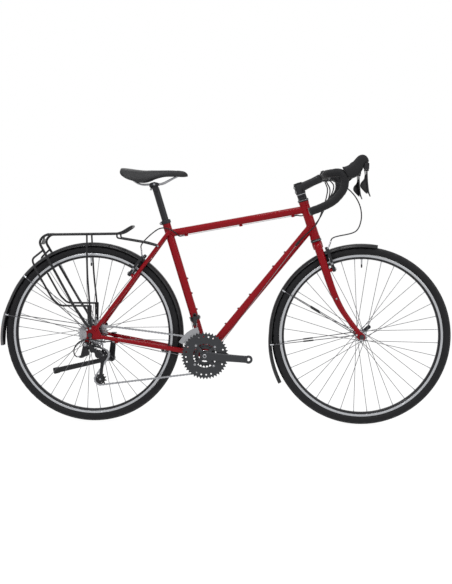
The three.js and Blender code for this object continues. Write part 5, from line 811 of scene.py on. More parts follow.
def build_rim(prefix, axle, body, valve_angle):
    dark, bright, black = Shape(), Shape(), Shape()
    half = [(298, 0), (297.7, 4), (298.4, 6.4), (300.6, 8.8), (302.6, 10.6), (304.4, 11.4)]
    edge = [(315, 11.2), (315.4, 10.8), (315.4, 10.2), (311, 9.6), (310, 5), (309.6, 0)]
    outline = half + edge
    dark.lathe([(r, y) for r, y in outline] + [(r, -y) for r, y in outline[-2:0:-1]], axle, 200, closed=True)
    for side in SIDES:
        track = [(306.2, 11.3), (306.5, 11.6), (314.4, 11.6), (315, 11.2), (315, 10.8), (306.2, 10.8)]
        bright.side_lathe(track, axle, side, 200)
        for r in (307.6, 309.8, 312):
            bright.lathe([(r + 0.25 * cos(a), side * (11.5 + 0.16 * sin(a))) for a in (0, 1.6, 3.1, 4.7)],
                         axle, 200, closed=True)
    out = heading(valve_angle)
    bright.lathe([(0, 0), (4.6, 0), (4.6, 2.4), (3, 3), (3, 17), (2.5, 17.4)]
                 + [(2.5 + 0.3 * (k % 2), 17.8 + k * 0.5) for k in range(9)] + [(0, 22.5)],
                 axle + out * (RIM_SEAT + 1), 24, -out)
    black.lathe([(0, 21), (3.1, 21), (3.2, 27), (2.6, 32), (1.6, 33.2), (0, 33.3)],
                axle + out * (RIM_SEAT + 1), 24, -out)
    piece(f"{prefix}_rim_section", dark, body, "black_alloy", f"{prefix}_rim", sharp=30)
    piece(f"{prefix}_brake_tracks", bright, body, "silver_alloy")
    piece(f"{prefix}_valve_cap", black, body, "black_plastic")


def build_hub(prefix, axle, body, shell, flanges, ends):
    hub, wires, dark = Shape(), Shape(), Shape()
    (right_y, radius), (left_y, _) = flanges
    bulge = ((shell + 3, -2), (radius - 0.6, -1.7), (radius, -1.1), (radius, 1.1), (radius - 0.6, 1.7),
             (shell + 3, 2))
    profile = [(5.2, ends[0]), (shell - 2, ends[0]), (shell - 1, ends[0] + 1), (shell, ends[0] + 2),
               (shell, right_y - 3)]
    profile += [(r, right_y + y) for r, y in bulge]
    profile += [(shell, right_y + 4), (shell - 2, right_y + 9), (shell - 2, left_y - 9), (shell, left_y - 4)]
    profile += [(r, left_y + y) for r, y in bulge]
    profile += [(shell, left_y + 3), (shell, ends[1] - 2), (shell - 1, ends[1] - 1), (shell - 2, ends[1]),
                (5.2, ends[1])]
    hub.lathe(profile, axle, 64, closed=True)
    for i in range(SPOKES):
        y, radius = flanges[i % 2]
        turn = 1 if (i // 2) % 2 == 0 else -1
        rim_angle = 90 - (-5.3 + 10 * i)
        hole = axle + V(0, y + turn * 2.3, 0) + heading(rim_angle + turn * 60) * (radius - 2.6)
        inside = hole - V(0, turn * 4.2, 0)
        seat = axle + heading(rim_angle) * RIM_SEAT
        along = (seat - hole).normalized()
        neck = hole + along * 2.4
        wires.tube([inside, hole - V(0, turn * 0.7, 0), hole + along * 0.7 - V(0, turn * 0.1, 0), neck], 1.15,
                   8)
        wires.rod(neck, seat - along * 11, 1.1, sides=8)
        wires.rod(inside, inside - V(0, turn * 0.9, 0), 2.0, sides=10)
        hub.rod(seat - along * 12.5, seat + along * 0.8, 1.7, 2.0, 10, 0.3)
    for side, y in ((-1, ends[0]), (1, ends[1])):
        seal = [(5.4, 0.4), (shell - 3, 0.4), (shell - 3.4, 1.1), (5.4, 1.1)]
        dark.side_lathe(seal, axle + V(0, y, 0), side, 48)
    piece(f"{prefix}_hub_shell", hub, body, "silver_alloy", f"{prefix}_hub_and_spokes", sharp=30)
    piece(f"{prefix}_spokes", wires, body, "polished_steel", material_name="spoke_wire")
    piece(f"{prefix}_hub_seals", dark, body, "black_plastic")


def build_axle(prefix, axle, body, inside, inner):
    bright, dark = Shape(), Shape()
    outside = inside + 6
    bright.lathe([(0, -outside - 9), (6.6, -outside - 9), (8.4, -outside - 8), (9.3, -outside - 5),
                  (9.3, -outside - 0.4), (4.6, -outside - 0.4), (4.6, -inside + 0.4), (8.4, -inside + 0.4),
                  (8.4, inner[0] - 1.4), (4.6, inner[0] - 1.4), (4.6, inner[1] + 1.4), (8.4, inner[1] + 1.4),
                  (8.4, inside - 0.4), (4.6, inside - 0.4), (4.6, outside + 0.4), (9.3, outside + 0.4),
                  (9.3, outside + 6), (8.2, outside + 8.8), (0, outside + 9)], axle, 40)
    for k in range(12):
        angle = radians(30 * k)
        spot = axle + V(cos(angle) * 9.2, -outside - 2.7, sin(angle) * 9.2)
        bright.rod(spot - LEFT * 2, spot + LEFT * 2, 0.8, sides=8)
    along = heading(38)
    root = axle + LEFT * (outside + 6.2)
    path = smooth([root - along * 4, root + along * 8 + LEFT * 1.5, root + along * 20 + LEFT * 5,
                   root + along * 38 + LEFT * 4.6, root + along * 53 + LEFT * 2.2], 30)
    bright.sweep(path, circle(28, 1, 1, 2.6), side=LEFT,
                 scale=lambda t: (3.0 - 1.0 * t,
                                  lerp_table([(0, 5.2), (0.3, 6), (0.85, 8.2), (0.96, 7), (1, 3.5)], t)))
    for side in SIDES:
        low, high = inside - 3.6, inside - 2.6
        dark.side_lathe([(4.7, low), (8.8, low), (8.8, high), (4.7, high)], axle, side, 40)
    piece(f"{prefix}_skewer", bright, body, "polished_steel", f"{prefix}_axle", sharp=30,
          material_name="grey_alloy")
    piece(f"{prefix}_axle_washers", dark, body, "black_alloy")


# Chain and sprockets
RIGHT_LINE, CHAIN_REAR, CAGE_TURN = -47.5, -43.3, 0.0408129538643
CAGE_PIVOT = V(36.6, -43.3, 272.6)


def build_cassette():
    bright, dark = Shape(), Shape()
    first = -64.9 + 1.5 + 0.9
    phase = chain_phase(3)
    for i, teeth in enumerate((11, 13, 15, 17, 20, 23, 26, 30)):
        radius = pitch_radius(teeth)
        holes = [circle(40, 12)[::-1]]
        if radius > 38:
            middle, wide = (17 + radius - 6) / 2 + 1, (radius - 26) / 2
            count = 6 if radius < 50 else 8
            for k in range(count):
                angle = 2 * pi * (k + 0.3 * i) / count
                hole = [(middle * cos(angle) + a * cos(angle) - b * sin(angle),
                         middle * sin(angle) + a * sin(angle) + b * cos(angle))
                        for a, b in circle(20, wide * 0.9, wide * 1.25, 2.6)]
                holes.append(hole[::-1])
        bright.plate(gear(teeth, phase=phase), 1.7, holes, across(REAR, first + 4.8 * i))
        if i:
            dark.lathe([(12, -1.4), (17.2, -1.4), (17.2, 1.4), (12, 1.4)],
                       across(REAR, first + 4.8 * i - 2.4), 48, closed=True)
    bright.lathe([(9.5, -64.8), (15.5, -64.8), (17.3, -64.3), (17.3, -63.6), (9.5, -63.6)], REAR, 48,
                 closed=True)
    for k in range(12):
        angle = radians(30 * k)
        spot = V(cos(angle) * 10.6, 0, sin(angle) * 10.6) + REAR
        dark.rod(across(spot, -64.95), across(spot, -63), 1.2, sides=10)
    dark.lathe([(5.2, -64.2), (11.9, -64.2), (11.9, -26.5), (5.2, -26.5)], REAR, 48, closed=True)
    piece("cassette_cogs", bright, "cassette", "polished_steel", "cassette", sharp=30)
    piece("cassette_spacers", dark, "cassette", "black_alloy")


def pulley_place(x, z):
    c, s = cos(CAGE_TURN), sin(CAGE_TURN)
    return CAGE_PIVOT + V(x * c + z * s, 0, -x * s + z * c)


GUIDE, TENSION = pulley_place(10, -6), pulley_place(2, -102)


def chain_pieces():
    """The chain's path over its four wheels: arcs and straight runs in turn."""
    wheels = ((BRACKET, 32, 1, RIGHT_LINE), (TENSION, 11, 1, CHAIN_REAR), (GUIDE, 11, -1, CHAIN_REAR),
              (REAR, 20, 1, CHAIN_REAR))
    runs = []
    for here, there in zip(wheels, wheels[1:] + wheels[:1]):
        offset = here[2] * pitch_radius(here[1]) - there[2] * pitch_radius(there[1])
        gap = across(there[0] - here[0], 0)
        runs.append(atan2(gap.z, gap.x) - asin(offset / gap.length))

    def rim(wheel, angle):
        return across(wheel[0], wheel[3]) + V(cos(angle), 0, sin(angle)) * pitch_radius(wheel[1])

    pieces = []
    for i, wheel in enumerate(wheels):
        enter, leave = runs[i - 1] + wheel[2] * pi / 2, runs[i] + wheel[2] * pi / 2
        wrap = (wheel[2] * (enter - leave)) % (2 * pi)
        there = wheels[(i + 1) % 4]
        start, end = rim(wheel, leave), rim(there, runs[i] + there[2] * pi / 2)

        def angle_at(t, w=wheel, e=enter, r=wrap):
            return e - w[2] * r * t

        pieces.append((wrap * pitch_radius(wheel[1]), lambda t, w=wheel, a=angle_at: rim(w, a(t)), angle_at))
        pieces.append(((end - start).length, lambda t, a=start, b=end: mix(a, b, t), None))
    return pieces


def chain_pins():
    """The pins' places, one pitch apart, each with its piece of the path and its share of that."""
    pieces = chain_pieces()
    total = sum(length for length, _, _ in pieces)

    def locate(distance):
        rest = distance % total
        for index, (length, _, _) in enumerate(pieces):
            if rest <= length:
                return index, rest / length
            rest -= length
        return len(pieces) - 1, 1.0

    def at(distance):
        index, share = locate(distance)
        return pieces[index][1](share)

    pins, distance = [], 0.0
    for _ in range(LINKS):
        pins.append((at(distance), *locate(distance)))
        following = distance + PITCH
        for _ in range(8):
            following += PITCH - (pins[-1][0] - at(following)).length
        distance = following
    return pins, pieces


PINS, CHAIN_PIECES = chain_pins()


def chain_phase(wheel):
    """The angle at which a pin lies on one of the chain's four wheels."""
    index, share = next((i, t) for _, i, t in PINS if i == wheel * 2)
    return CHAIN_PIECES[index][2](share)


def link_outline(half=10.3, pin=6.35, radius=3.95, steps=24):
    """A link plate's outline, with a waist between its round ends."""
    upper = []
    for k in range(steps + 1):
        x = -half + 2 * half * k / steps
        tall = radius * sqrt(max(0, 1 - max(0, abs(x) - pin) ** 2 / radius ** 2))
        upper.append((x, tall * (0.72 + 0.28 * min(abs(x) / pin, 1) ** 2)))
    return upper + [(x, -z) for x, z in upper[-2:0:-1]]


def build_chain():
    plates, rollers = Shape(), Shape()
    outline = link_outline()
    for i, (here, _, _) in enumerate(PINS):
        there = PINS[(i + 1) % LINKS][0]
        along = (there - here).normalized()
        flat = across(along, 0).normalized()
        tall = V(-flat.z, 0, flat.x)
        middle = (here + there) / 2
        sideways = tall.cross(flat).normalized()
        if sideways.y < 0:
            sideways = -sideways
        near = 1.25 if i % 2 else 2.25
        for side in SIDES:
            plates.plate(outline, 0.85, (), middle, side * (near + 0.45), (along, tall, sideways))
        rollers.rod(here - LEFT * 1.2, here + LEFT * 1.2, 3.8, sides=16)
        rollers.rod(here - LEFT * 3.45, here + LEFT * 3.45, 1.75, sides=12, bevel=0.25)
    piece("chain_plates", plates, "frame", "polished_steel", "chain", sharp=35)
    piece("chain_rollers", rollers, "frame", "polished_steel")


CRANK_TURN = radians(3.3)


def build_crankset():
    turn = Matrix.Translation(BRACKET) @ Matrix.Rotation(CRANK_TURN, 4, "Y") @ Matrix.Translation(-BRACKET)
    dark, bright, black = Shape(), Shape(), Shape()
    phase = chain_phase(0) + CRANK_TURN
    for i, (teeth, inner) in enumerate(((22, 26), (32, 46.4), (44, 46.4))):
        y = RIGHT_LINE - (i - 1) * 7
        holes = [circle(64, inner)[::-1]]
        if i == 2:
            for k in range(24):
                a = 2 * pi * (k + 0.5) / 24
                if abs((degrees(a) % 90) - 45) > 16:
                    holes.append([(74 * cos(a) + p, 74 * sin(a) + q) for p, q in circle(14, 3.2)][::-1])
        dark.plate(gear(teeth, phase=phase), 1.9, holes, across(BRACKET, y))
        radius = pitch_radius(teeth)
        dark.lathe([(radius - 9.5, y - 1.2), (radius - 8.5, y - 1.7), (radius - 7, y - 1.2),
                    (radius - 7, y + 1.2), (radius - 9.5, y + 1.2)], BRACKET, 96, closed=True)
    # Four arms to the bolt circle, the arm itself and its boss
    for degree in (45, 135, 225, 315):
        out = heading(degree)
        arm = ((0, -60.5), (20, -56.5), (34, -51.4), (48, -51), (57, -51))
        path = smooth([BRACKET + out * far + LEFT * y for far, y in arm], 26)
        dark.sweep(path, circle(28, 1, 1, 3), side=LEFT,
                   scale=lambda t: (3.2 - 1.2 * t,
                                    lerp_table([(0, 12), (0.4, 7.2), (0.75, 7), (0.92, 8.2), (1, 5.5)], t)))
        spot = BRACKET + out * 52
        bright.bolt(across(spot, -56.2), -LEFT, 4.6, 1.6, radians(degree))
        black.rod(across(spot, -56.3), across(spot, -45.5), 4.2, sides=24)
        inner = BRACKET + out * 32
        dark.rod(across(inner, -50.5), across(inner, -41.6), 4.6, sides=24)
    for side in SIDES:
        arm = ((-3, 63.5), (36, 63.9), (94, 72.5), (136, 76.6), (CRANK_LENGTH - 4, 78.9))
        path = smooth([BRACKET + V(x, side * y, 0) for x, y in arm], 48)
        if side > 0:
            path = [V(2 * BRACKET.x - p.x, p.y, p.z) for p in path]
        table = [(0, 17), (0.16, 16.6), (0.45, 14.8), (0.8, 13.8), (1, 14)]
        dark.sweep(path, circle(40, 1, 1, 3.4), side=LEFT, scale=lambda t: (6.3, lerp_table(table, t)))
        away = BRACKET + V(-side * CRANK_LENGTH, 0, 0)
        eye = [(7.2, 72.4), (14.8, 72.4), (15.8, 73.6), (15.8, 84), (14.8, 85.3), (8.4, 85.3), (7.2, 84.2)]
        dark.side_lathe(eye, away, side, 48)
        for k in range(7):
            y = side * (74 + k * 1.5)
            black.lathe([(6.8, y), (7.3, y + 0.35), (7.3, y - 0.35)], away, 32, closed=True)
        boss = [(8.6, 38), (14.5, 38), (17, 41), (17, 67), (15.6, 69.6), (10, 69.6), (8.6, 68)]
        dark.side_lathe(boss, BRACKET, side, 56)
        bolt = [(0, 66), (8.8, 66), (8.8, 69.4), (7.8, 70.2), (4.6, 70.2), (4.2, 68), (0, 68)]
        bright.side_lathe(bolt, BRACKET, side, 6, closed=False)
    bright.rod(across(BRACKET, -56), across(BRACKET, 63), 8.2, sides=32)
    for shape in (dark, bright, black):
        shape.moved(turn)
    piece("crank_arms_and_rings", dark, "crankset", "grey_alloy", "right_crank", "left_crank",
          "small_chainring", "middle_chainring", "large_chainring", sharp=32)
    piece("crank_bolts", bright, "crankset", "polished_steel")
    piece("crank_threads", black, "crankset", "black_alloy")
    cups, seals = Shape(), Shape()
    for side in SIDES:
        cup = [(9.4, 34.4), (20, 34.4), (20.3, 35), (20.3, 37), (19.6, 37.4), (9.4, 37.4)]
        cups.side_lathe(cup, BRACKET, side, 16)
        seals.side_lathe([(9.2, 34.2), (12, 34.2), (12, 37.6), (9.2, 37.6)], BRACKET, side, 40)
    cups.lathe([(9.3, -34), (16.4, -34), (16.4, 34), (9.3, 34)], BRACKET, 48, closed=True)
    piece("bottom_bracket_cups", cups, "frame", "polished_steel", "bottom_bracket", sharp=30)
    piece("bottom_bracket_seals", seals, "frame", "black_plastic")


# CAD nodes that keep their shape: rounded edges and a finish of their own
SLOT_OF = {part["node"]: part["material_slot"] for part in frame["record"]["subparts"]}


def dress(width, *names, material_name=None):
    for name in names:
        obj = nodes[name]
        obj.data.materials.clear()
        obj.data.materials.append(MATERIALS[material_name or SLOT_OF[name]])
        soften(obj, width)


# Cockpit
PIVOT = V(1034.9, 0, 1000.1)
BEND = 68
# Ahead, out and up along one half of the bar, in shares of its bend and its half width
BAR_SHARES = (
    (0, 0, 0), (0, 0.72, 0), (0.05, 0.86, 0.01), (0.3, 0.955, 0.04), (0.66, 0.99, 0.07), (0.9, 1, -0.06),
    (0.99, 1.005, -0.42), (0.93, 1.012, -0.78), (0.72, 1.02, -1.12), (0.36, 1.03, -1.48), (-0.24, 1.04, -1.8),
    (-0.86, 1.05, -2.04),
)


def bar_path(side, count=156):
    return smooth([V(BAR.x + x * BEND, side * y * BAR_HALF, BAR.z + z * BEND) for x, y, z in BAR_SHARES],
                  count)


def build_bar():
    bar, plug = Shape(), Shape()
    right_side, left_side = bar_path(-1), bar_path(1)
    path = right_side[::-1] + left_side[1:]
    half = len(left_side) - 1
    tape_width = 19

    def girth(t):
        away = abs(t - 0.5) * 2 * half
        reach = (left_side[min(int(away), half)] - BAR).length
        radius = lerp_table([(0, 15.9), (36, 15.9), (52, 11.9), (9999, 11.9)], reach)
        return radius, radius

    bar.sweep(path, circle(28), scale=girth)
    piece("bar_tube", bar, "steering", "black_alloy", "handlebar")
    for name, side in (("right", -1), ("left", 1)):
        run = bar_path(side, 468)[72:]
        length = sum((b - a).length for a, b in zip(run, run[1:]))

        def wrap(t, length=length):
            """The tape's section; its edge winds round the bar once in a tape's width."""
            points = []
            for k in range(30):
                angle = 2 * pi * k / 30
                lap = (t * length / tape_width + k / 30) % 1
                radius = 14.6 + 0.75 * (lap if lap < 0.9 else (1 - lap) * 9)
                points.append((radius * cos(angle), radius * sin(angle)))
            return points

        tape = Shape().sweep(run, wrap)
        piece(f"{name}_wrapped_tape", tape, "steering", "bar_tape", f"{name}_bar_tape", sharp=50)
        end, back = run[-1], (run[-1] - run[-3]).normalized()
        plug.lathe([(0, -3), (14.2, -3), (15.2, 0.4), (15, 2.6), (12, 4.4), (4, 4.9), (0, 4.9)], end, 40,
                   back)
        band = run[0]
        plug.lathe([(12.2, -1), (15.4, -1), (15.8, 0.5), (15.8, 13), (15.4, 14.2), (12.2, 14.2)], band, 40,
                   run[6] - run[0], closed=True)
    piece("bar_plugs_and_bands", plug, "steering", "black_plastic")


def build_stem():
    dark, bright, rings = Shape(), Shape(), Shape()
    low = HEAD_FOOT + HEAD_UP * 573.4
    rings.lathe([(14.8, 0), (17, 0), (17.6, 0.6), (17.6, 9.3), (17, 9.9), (16.6, 10.2), (17, 10.5),
                 (17.6, 11.1), (17.6, 17.4), (17, 18), (14.8, 18)], low, 56, HEAD_UP, closed=True)
    bright.lathe([(14.9, 18.2), (17.7, 18.4), (17.7, 20.4), (14.9, 20.6)], low, 56, HEAD_UP, closed=True)
    dark.lathe([(14.9, 20.8), (17.8, 20.8), (19, 22.2), (19, 57.8), (18.2, 59.2), (14.9, 59.4)], low, 56,
               HEAD_UP, closed=True)
    dark.lathe([(0, 59.6), (17, 59.6), (17.5, 60.4), (17.5, 63.6), (16, 65.2), (7.4, 65.8), (6.6, 64.4),
                (0, 64.4)], low, 56, HEAD_UP)
    bright.bolt(low + HEAD_UP * 64.3, HEAD_UP, 4.6, 2.2)
    path = [STEM_FOOT + STEM_OUT * 8, STEM_FOOT + STEM_OUT * 30, STEM_FOOT + STEM_OUT * 84,
            BAR - STEM_OUT * 17]
    dark.sweep(smooth(path, 30), circle(40, 1, 1, 2.7), side=LEFT,
               scale=lambda t: (lerp_table([(0, 17.5), (0.5, 15.2), (0.85, 16), (1, 20)], t),
                                lerp_table([(0, 17.6), (0.6, 15.4), (1, 17)], t)))
    for start, end in ((-1.2, 178.8), (181.2, 358.8)):
        shell = []
        for k in range(31):
            angle = radians(90 + STEM_ANGLE + start + (end - start) * k / 30)
            shell.append(V(cos(angle), 0, sin(angle)))
        outline = [(p.x * 16.4, p.z * 16.4) for p in shell] + [(p.x * 20.2, p.z * 20.2) for p in shell[::-1]]
        dark.plate(outline, 41, (), BAR)
    across_plate = heading(STEM_ANGLE + 90)
    for side in SIDES:
        for high in SIDES:
            spot = BAR + LEFT * side * 13.5 + across_plate * high * 18.2 + STEM_OUT * 4
            dark.rod(spot - STEM_OUT * 10, spot + STEM_OUT * 1.5, 4.6, sides=24, bevel=0.5)
            bright.bolt(spot + STEM_OUT * 1.5, STEM_OUT, 3.4, 2.2)
        back = STEM_FOOT - STEM_OUT * 16 + HEAD_UP * side * 9
        dark.rod(back - LEFT * 9.5, back + LEFT * 9.5, 5.4, sides=24, bevel=0.6)
        bright.bolt(back - LEFT * 9.5, -LEFT, 3.4, 2)
    piece("stem_body", dark, "steering", "black_alloy", "stem", sharp=32, bevel=0.5)
    piece("stem_bolts_and_line", bright, "steering", "silver_alloy")
    piece("stem_spacers", rings, "steering", "black_alloy", sharp=30)


HOOD = (
    # top, bottom and half width of each station
    ((958.7, 986.5), (981.3, 947.5), 16), ((978, 993), (1000, 947), 15.2),
    ((994.3, 1004.7), (1021.7, 963.3), 14.2), ((1004.8, 1016.4), (1033.2, 980.6), 14),
    ((1016, 1027.6), (1038, 994.4), 14.6), ((1030, 1032.5), (1045, 1000), 14.6),
    ((1044, 1028), (1051, 1004), 11.6), ((1050.5, 1020), (1054.5, 1008), 5),
)


# Ahead, up and width of the brake blade, in shares of its length and of its own width
BLADE = ((0.1, -0.206, 0.7), (0.1, -0.42, 1), (0.12, -0.66, 1.05), (0.15, -0.84, 0.9), (0.21, -0.99, 0.5))
BLADE_HALF, BLADE_THICK, BARREL_DROP = 8, 4, -0.175 * LEVER - 3.5
# Height, front edge and rear edge of the shift paddles, in shares of the brake blade's length
PADDLE = (
    (-0.34, 0.06, 0.04), (-0.4, 0.06, 0.03), (-0.45, 0.061, 0.02), (-0.5, 0.064, -0.01),
    (-0.56, 0.07, -0.062), (-0.63, 0.08, -0.09), (-0.7, 0.09, -0.084), (-0.77, 0.1, -0.036),
    (-0.84, 0.112, 0.03), (-0.9, 0.12, 0.09),
)


def build_lever(name, side):
    rings = []
    tops = smooth([V(x, 0, z) for (x, z), _, _ in HOOD], 40)
    lows = smooth([V(x, 0, z) for _, (x, z), _ in HOOD], 40)
    wides = smooth([V(i, half, 0) for i, (_, _, half) in enumerate(HOOD)], 40)
    rubber, ridge = Shape(), Shape()
    for i, (top, low, wide) in enumerate(zip(tops, lows, wides)):
        middle, arm = (top + low) / 2, (top - low) / 2
        ring = []
        for c, s in circle(36, 1, 1, 2.3):
            swell = 1 + 0.05 * cos(4 * pi * i / 40) * c
            ring.append(middle + arm * s + LEFT * (side * BAR_HALF + c * wide.y * swell))
        rings.append(ring)
    rubber.loft(rings)
    for i in (0, 1):
        ridge.tube(rings[i], 1.1, 8, closed=True)
    for i in range(9, 22, 2):
        ridge.tube([rings[i][k] for k in range(26, 30)], 0.55, 6)
        ridge.tube([rings[i][k] for k in range(7, 12)], 0.55, 6)
    piece(f"{name}_hood_cover", rubber, "steering", "hood_rubber", f"{name}_hood", sharp=60)
    piece(f"{name}_hood_ridges", ridge, "steering", "hood_rubber")

    def barrel(shape, start, end):
        low, high = (PIVOT + V(x * LEVER, side * BAR_HALF, BARREL_DROP) for x in (start, end))
        shape.rod(low, high, 3.2, sides=28, bevel=0.3)
        return mix(low, high, 0.5)

    widths = [(i / (len(BLADE) - 1), w) for i, (_, _, w) in enumerate(BLADE)]
    path = smooth([PIVOT + V(x * LEVER, side * BAR_HALF, z * LEVER) for x, z, _ in BLADE], 40)
    blade = Shape().sweep(path, circle(28, 1, 1, 2.4), side=LEFT,
                          scale=lambda t: (BLADE_HALF * lerp_table(widths, t),
                                           BLADE_THICK * min(1, lerp_table(widths, t))))
    barrel(blade, 0.075, 0.155)
    piece(f"{name}_brake_blade", blade, f"{name}_lever_blade", "black_alloy", f"{name}_lever_blade", sharp=50)
    rings = []
    rows = smooth([V(ahead, behind, high) for high, ahead, behind in PADDLE], 44)
    for row in rows:
        outer, inner = [], []
        for k in range(9):
            t = k / 8
            x = row.x + (row.y - row.x) * t
            y = BAR_HALF + 5.5 - 12.5 * t ** 1.3
            outer.append(PIVOT + V(x * LEVER, side * y, row.z * LEVER))
            inner.append(PIVOT + V(x * LEVER + 1.2, side * (y - 2.1), row.z * LEVER))
        rings.append(outer + inner[::-1])
    paddle = Shape().loft(rings)
    root = barrel(paddle, 0.012, 0.0725)
    paddle.rod(root, PIVOT + V(0.05 * LEVER, side * BAR_HALF, -0.38 * LEVER), 2.2, 1.4, 20)
    piece(f"{name}_gear_paddle", paddle, f"{name}_shift_paddle", "black_plastic", f"{name}_shift_paddle",
          sharp=50)


# Seat
SEAT_HEAD = SEAT_TOP + SEAT_UP * 142
CRADLE = V(SEAT_HEAD.x, 0, SEAT_HEAD.z + 2.8)
LONG = 262


def saddle_place(x, y, z):
    return V(CRADLE.x + (x - 0.509) * LONG, y, CRADLE.z + (z + 0.245) * LONG)


SADDLE = (
    # place, half width, top, side edge and underside, in shares of the saddle's length
    (0.0, 0.16, -0.015, -0.045, -0.05), (0.04, 0.255, 0.0, -0.085, -0.055), (0.14, 0.295, 0.0, -0.17, -0.07),
    (0.28, 0.27, -0.018, -0.21, -0.08), (0.4, 0.215, -0.03, -0.2, -0.085),
    (0.52, 0.155, -0.028, -0.155, -0.09), (0.66, 0.105, -0.028, -0.124, -0.098),
    (0.82, 0.08, -0.028, -0.124, -0.104), (0.95, 0.068, -0.045, -0.126, -0.112),
    (1.0, 0.04, -0.074, -0.112, -0.104),
)


def build_saddle():
    stations = list(zip(*(smooth([V(row[0], row[k], 0) for row in SADDLE], 64) for k in (1, 2, 3, 4))))
    cover, base, thread = Shape(), Shape(), Shape()
    rings, seams = [], ([], [])
    for i, (wide, top, edge, under) in enumerate(stations):
        x, half, high, low, floor = wide.x, wide.y, top.y, edge.y, under.y
        end = min(i, 64 - i)
        plump = 1 - 0.5 * max(0, 1 - end / 3) ** 2
        ring = []
        for k in range(25):
            u = -1 + 2 * k / 24
            drop = abs(u) ** (2.4 if 0.1 < x < 0.6 else 2.9)
            channel = 0.006 * max(0, 1 - abs(u) * half * LONG / 9) if 0.2 < x < 0.85 else 0
            ring.append(saddle_place(x, u * half * LONG * plump ** 0.5,
                                     high - (high - low) * drop - channel - (1 - plump) * 0.03))
        inner = max(low, floor)
        for k in range(7):
            u = 0.9 - 1.8 * k / 6
            ring.append(saddle_place(x, u * half * LONG * plump ** 0.5,
                                     (inner if abs(u) < 0.7 else low) + (0.004 if abs(u) < 0.7 else -0.001)))
        rings.append(ring)
        for n, k in ((0, 1), (1, 23)):
            seams[n].append(ring[k])
    cover.loft(rings)
    obj = piece("saddle_cover", cover, "saddle", "saddle_cover", "saddle", sharp=70)
    subdivide = obj.modifiers.new("round", "SUBSURF")
    subdivide.levels = 1
    subdivide.render_levels = 1
    for line in seams:
        path = smooth(line[3:-3], 150)
        for a, b in zip(path[::2], path[1::2]):
            thread.tube([a, (a + b) / 2 + UP * 0.25, b], 0.5, 6)
    for side in SIDES:
        for i in range(12, 30, 2):
            a = rings[i][12 + side * 7] + UP * 0.2
            b = rings[i + 1][12 + side * 7] + UP * 0.2
            thread.tube([a, b], 0.45, 6)
    piece("saddle_stitching", thread, "saddle", "saddle_cover", material_name="black_plastic")
    base.tube([saddle_place(0.1, -20, -0.062), saddle_place(0.06, 0, -0.058), saddle_place(0.1, 20, -0.062)],
              4.2, 16)
    base.rod(saddle_place(0.86, -8, -0.108), saddle_place(0.86, 8, -0.108), 5.2, sides=24, bevel=0.6)
    piece("saddle_bridges", base, "saddle", "saddle_cover", material_name="black_plastic")


def build_seatpost():
    dark, bright, rails = Shape(), Shape(), Shape()
    rail_shares = ((0.1, -0.0752), (0.2, -0.19), (0.3, -0.245), (0.62, -0.235), (0.78, -0.15),
                   (0.86, -0.1108))
    for side in SIDES:
        points = [saddle_place(x, side * (7 if i > 3 else 21), z) for i, (x, z) in enumerate(rail_shares)]
        rails.tube(rounded(points, 14, 8), 3.5, 20)
    head = SEAT_HEAD - SEAT_UP * 13
    dark.rod(SEAT_TOP - SEAT_UP * 150, head, 13.5, sides=48)
    dark.rod(head - LEFT * 17, head + LEFT * 17, 12.4, sides=44, bevel=1.2)
    along = (saddle_place(0.62, 0, -0.235) - saddle_place(0.3, 0, -0.245)).normalized()
    for side in SIDES:
        spot = across(CRADLE, side * 21)
        outline = [(19 * cos(radians(a)), 7.6 * sin(radians(a)) + 1.5) for a in range(0, 360, 15)]
        dark.plate(outline, 9, (), spot + UP * 0.6, 0, (along, UP, LEFT))
        bright.bolt(spot + LEFT * side * 4.4 + UP * 1.6, LEFT * side, 4.4, 2.4)
    dark.rod(across(CRADLE, -20) + UP * 1.5, across(CRADLE, 20) + UP * 1.5, 9.4, sides=36)
    yoke = SEAT_HEAD - SEAT_UP * 4 - V(17, 0, -2)
    dark.rod(yoke - LEFT * 9, yoke + LEFT * 9, 5.4, sides=24, bevel=0.7)
    dark.rod(yoke, head, 6.4, 9, 24)
    bright.rod(yoke - UP * 15, yoke + UP * 12, 2.4, sides=16)
    bright.bolt(yoke - UP * 13, -UP, 4, 3.4)
    piece("seatpost_and_clamp", dark, "saddle", "black_alloy", "seatpost", sharp=32, bevel=0.4)
    piece("saddle_rail_wires", rails, "saddle", "polished_steel", "saddle_rails")
    piece("seatpost_bolts", bright, "saddle", "polished_steel")
    collar, bolt = Shape(), Shape()
    collar.lathe([(16.2, -12.6), (19, -12.6), (19.5, -12), (19.5, 0.6), (19, 1.4), (16.4, 1.6), (13.9, 1.6),
                  (13.9, 0.2), (16.2, 0.1)], SEAT_TOP, 56, SEAT_UP, closed=True)
    back = heading(180 - SEAT_ANGLE + 90)
    lug = SEAT_TOP - SEAT_UP * 6 + back * 20
    collar.rod(lug - LEFT * 9, lug - LEFT * 0.9, 5.2, sides=24, bevel=0.6)
    collar.rod(lug + LEFT * 0.9, lug + LEFT * 9, 5.2, sides=24, bevel=0.6)
    bolt.bolt(lug - LEFT * 9, -LEFT, 4.2, 2.6)
    bolt.rod(lug - LEFT * 2, lug + LEFT * 10.6, 2.6, sides=20)
    piece("collar_ring", collar, "frame", "black_alloy", "seat_collar", sharp=32)
    piece("collar_bolt", bolt, "frame", "polished_steel")


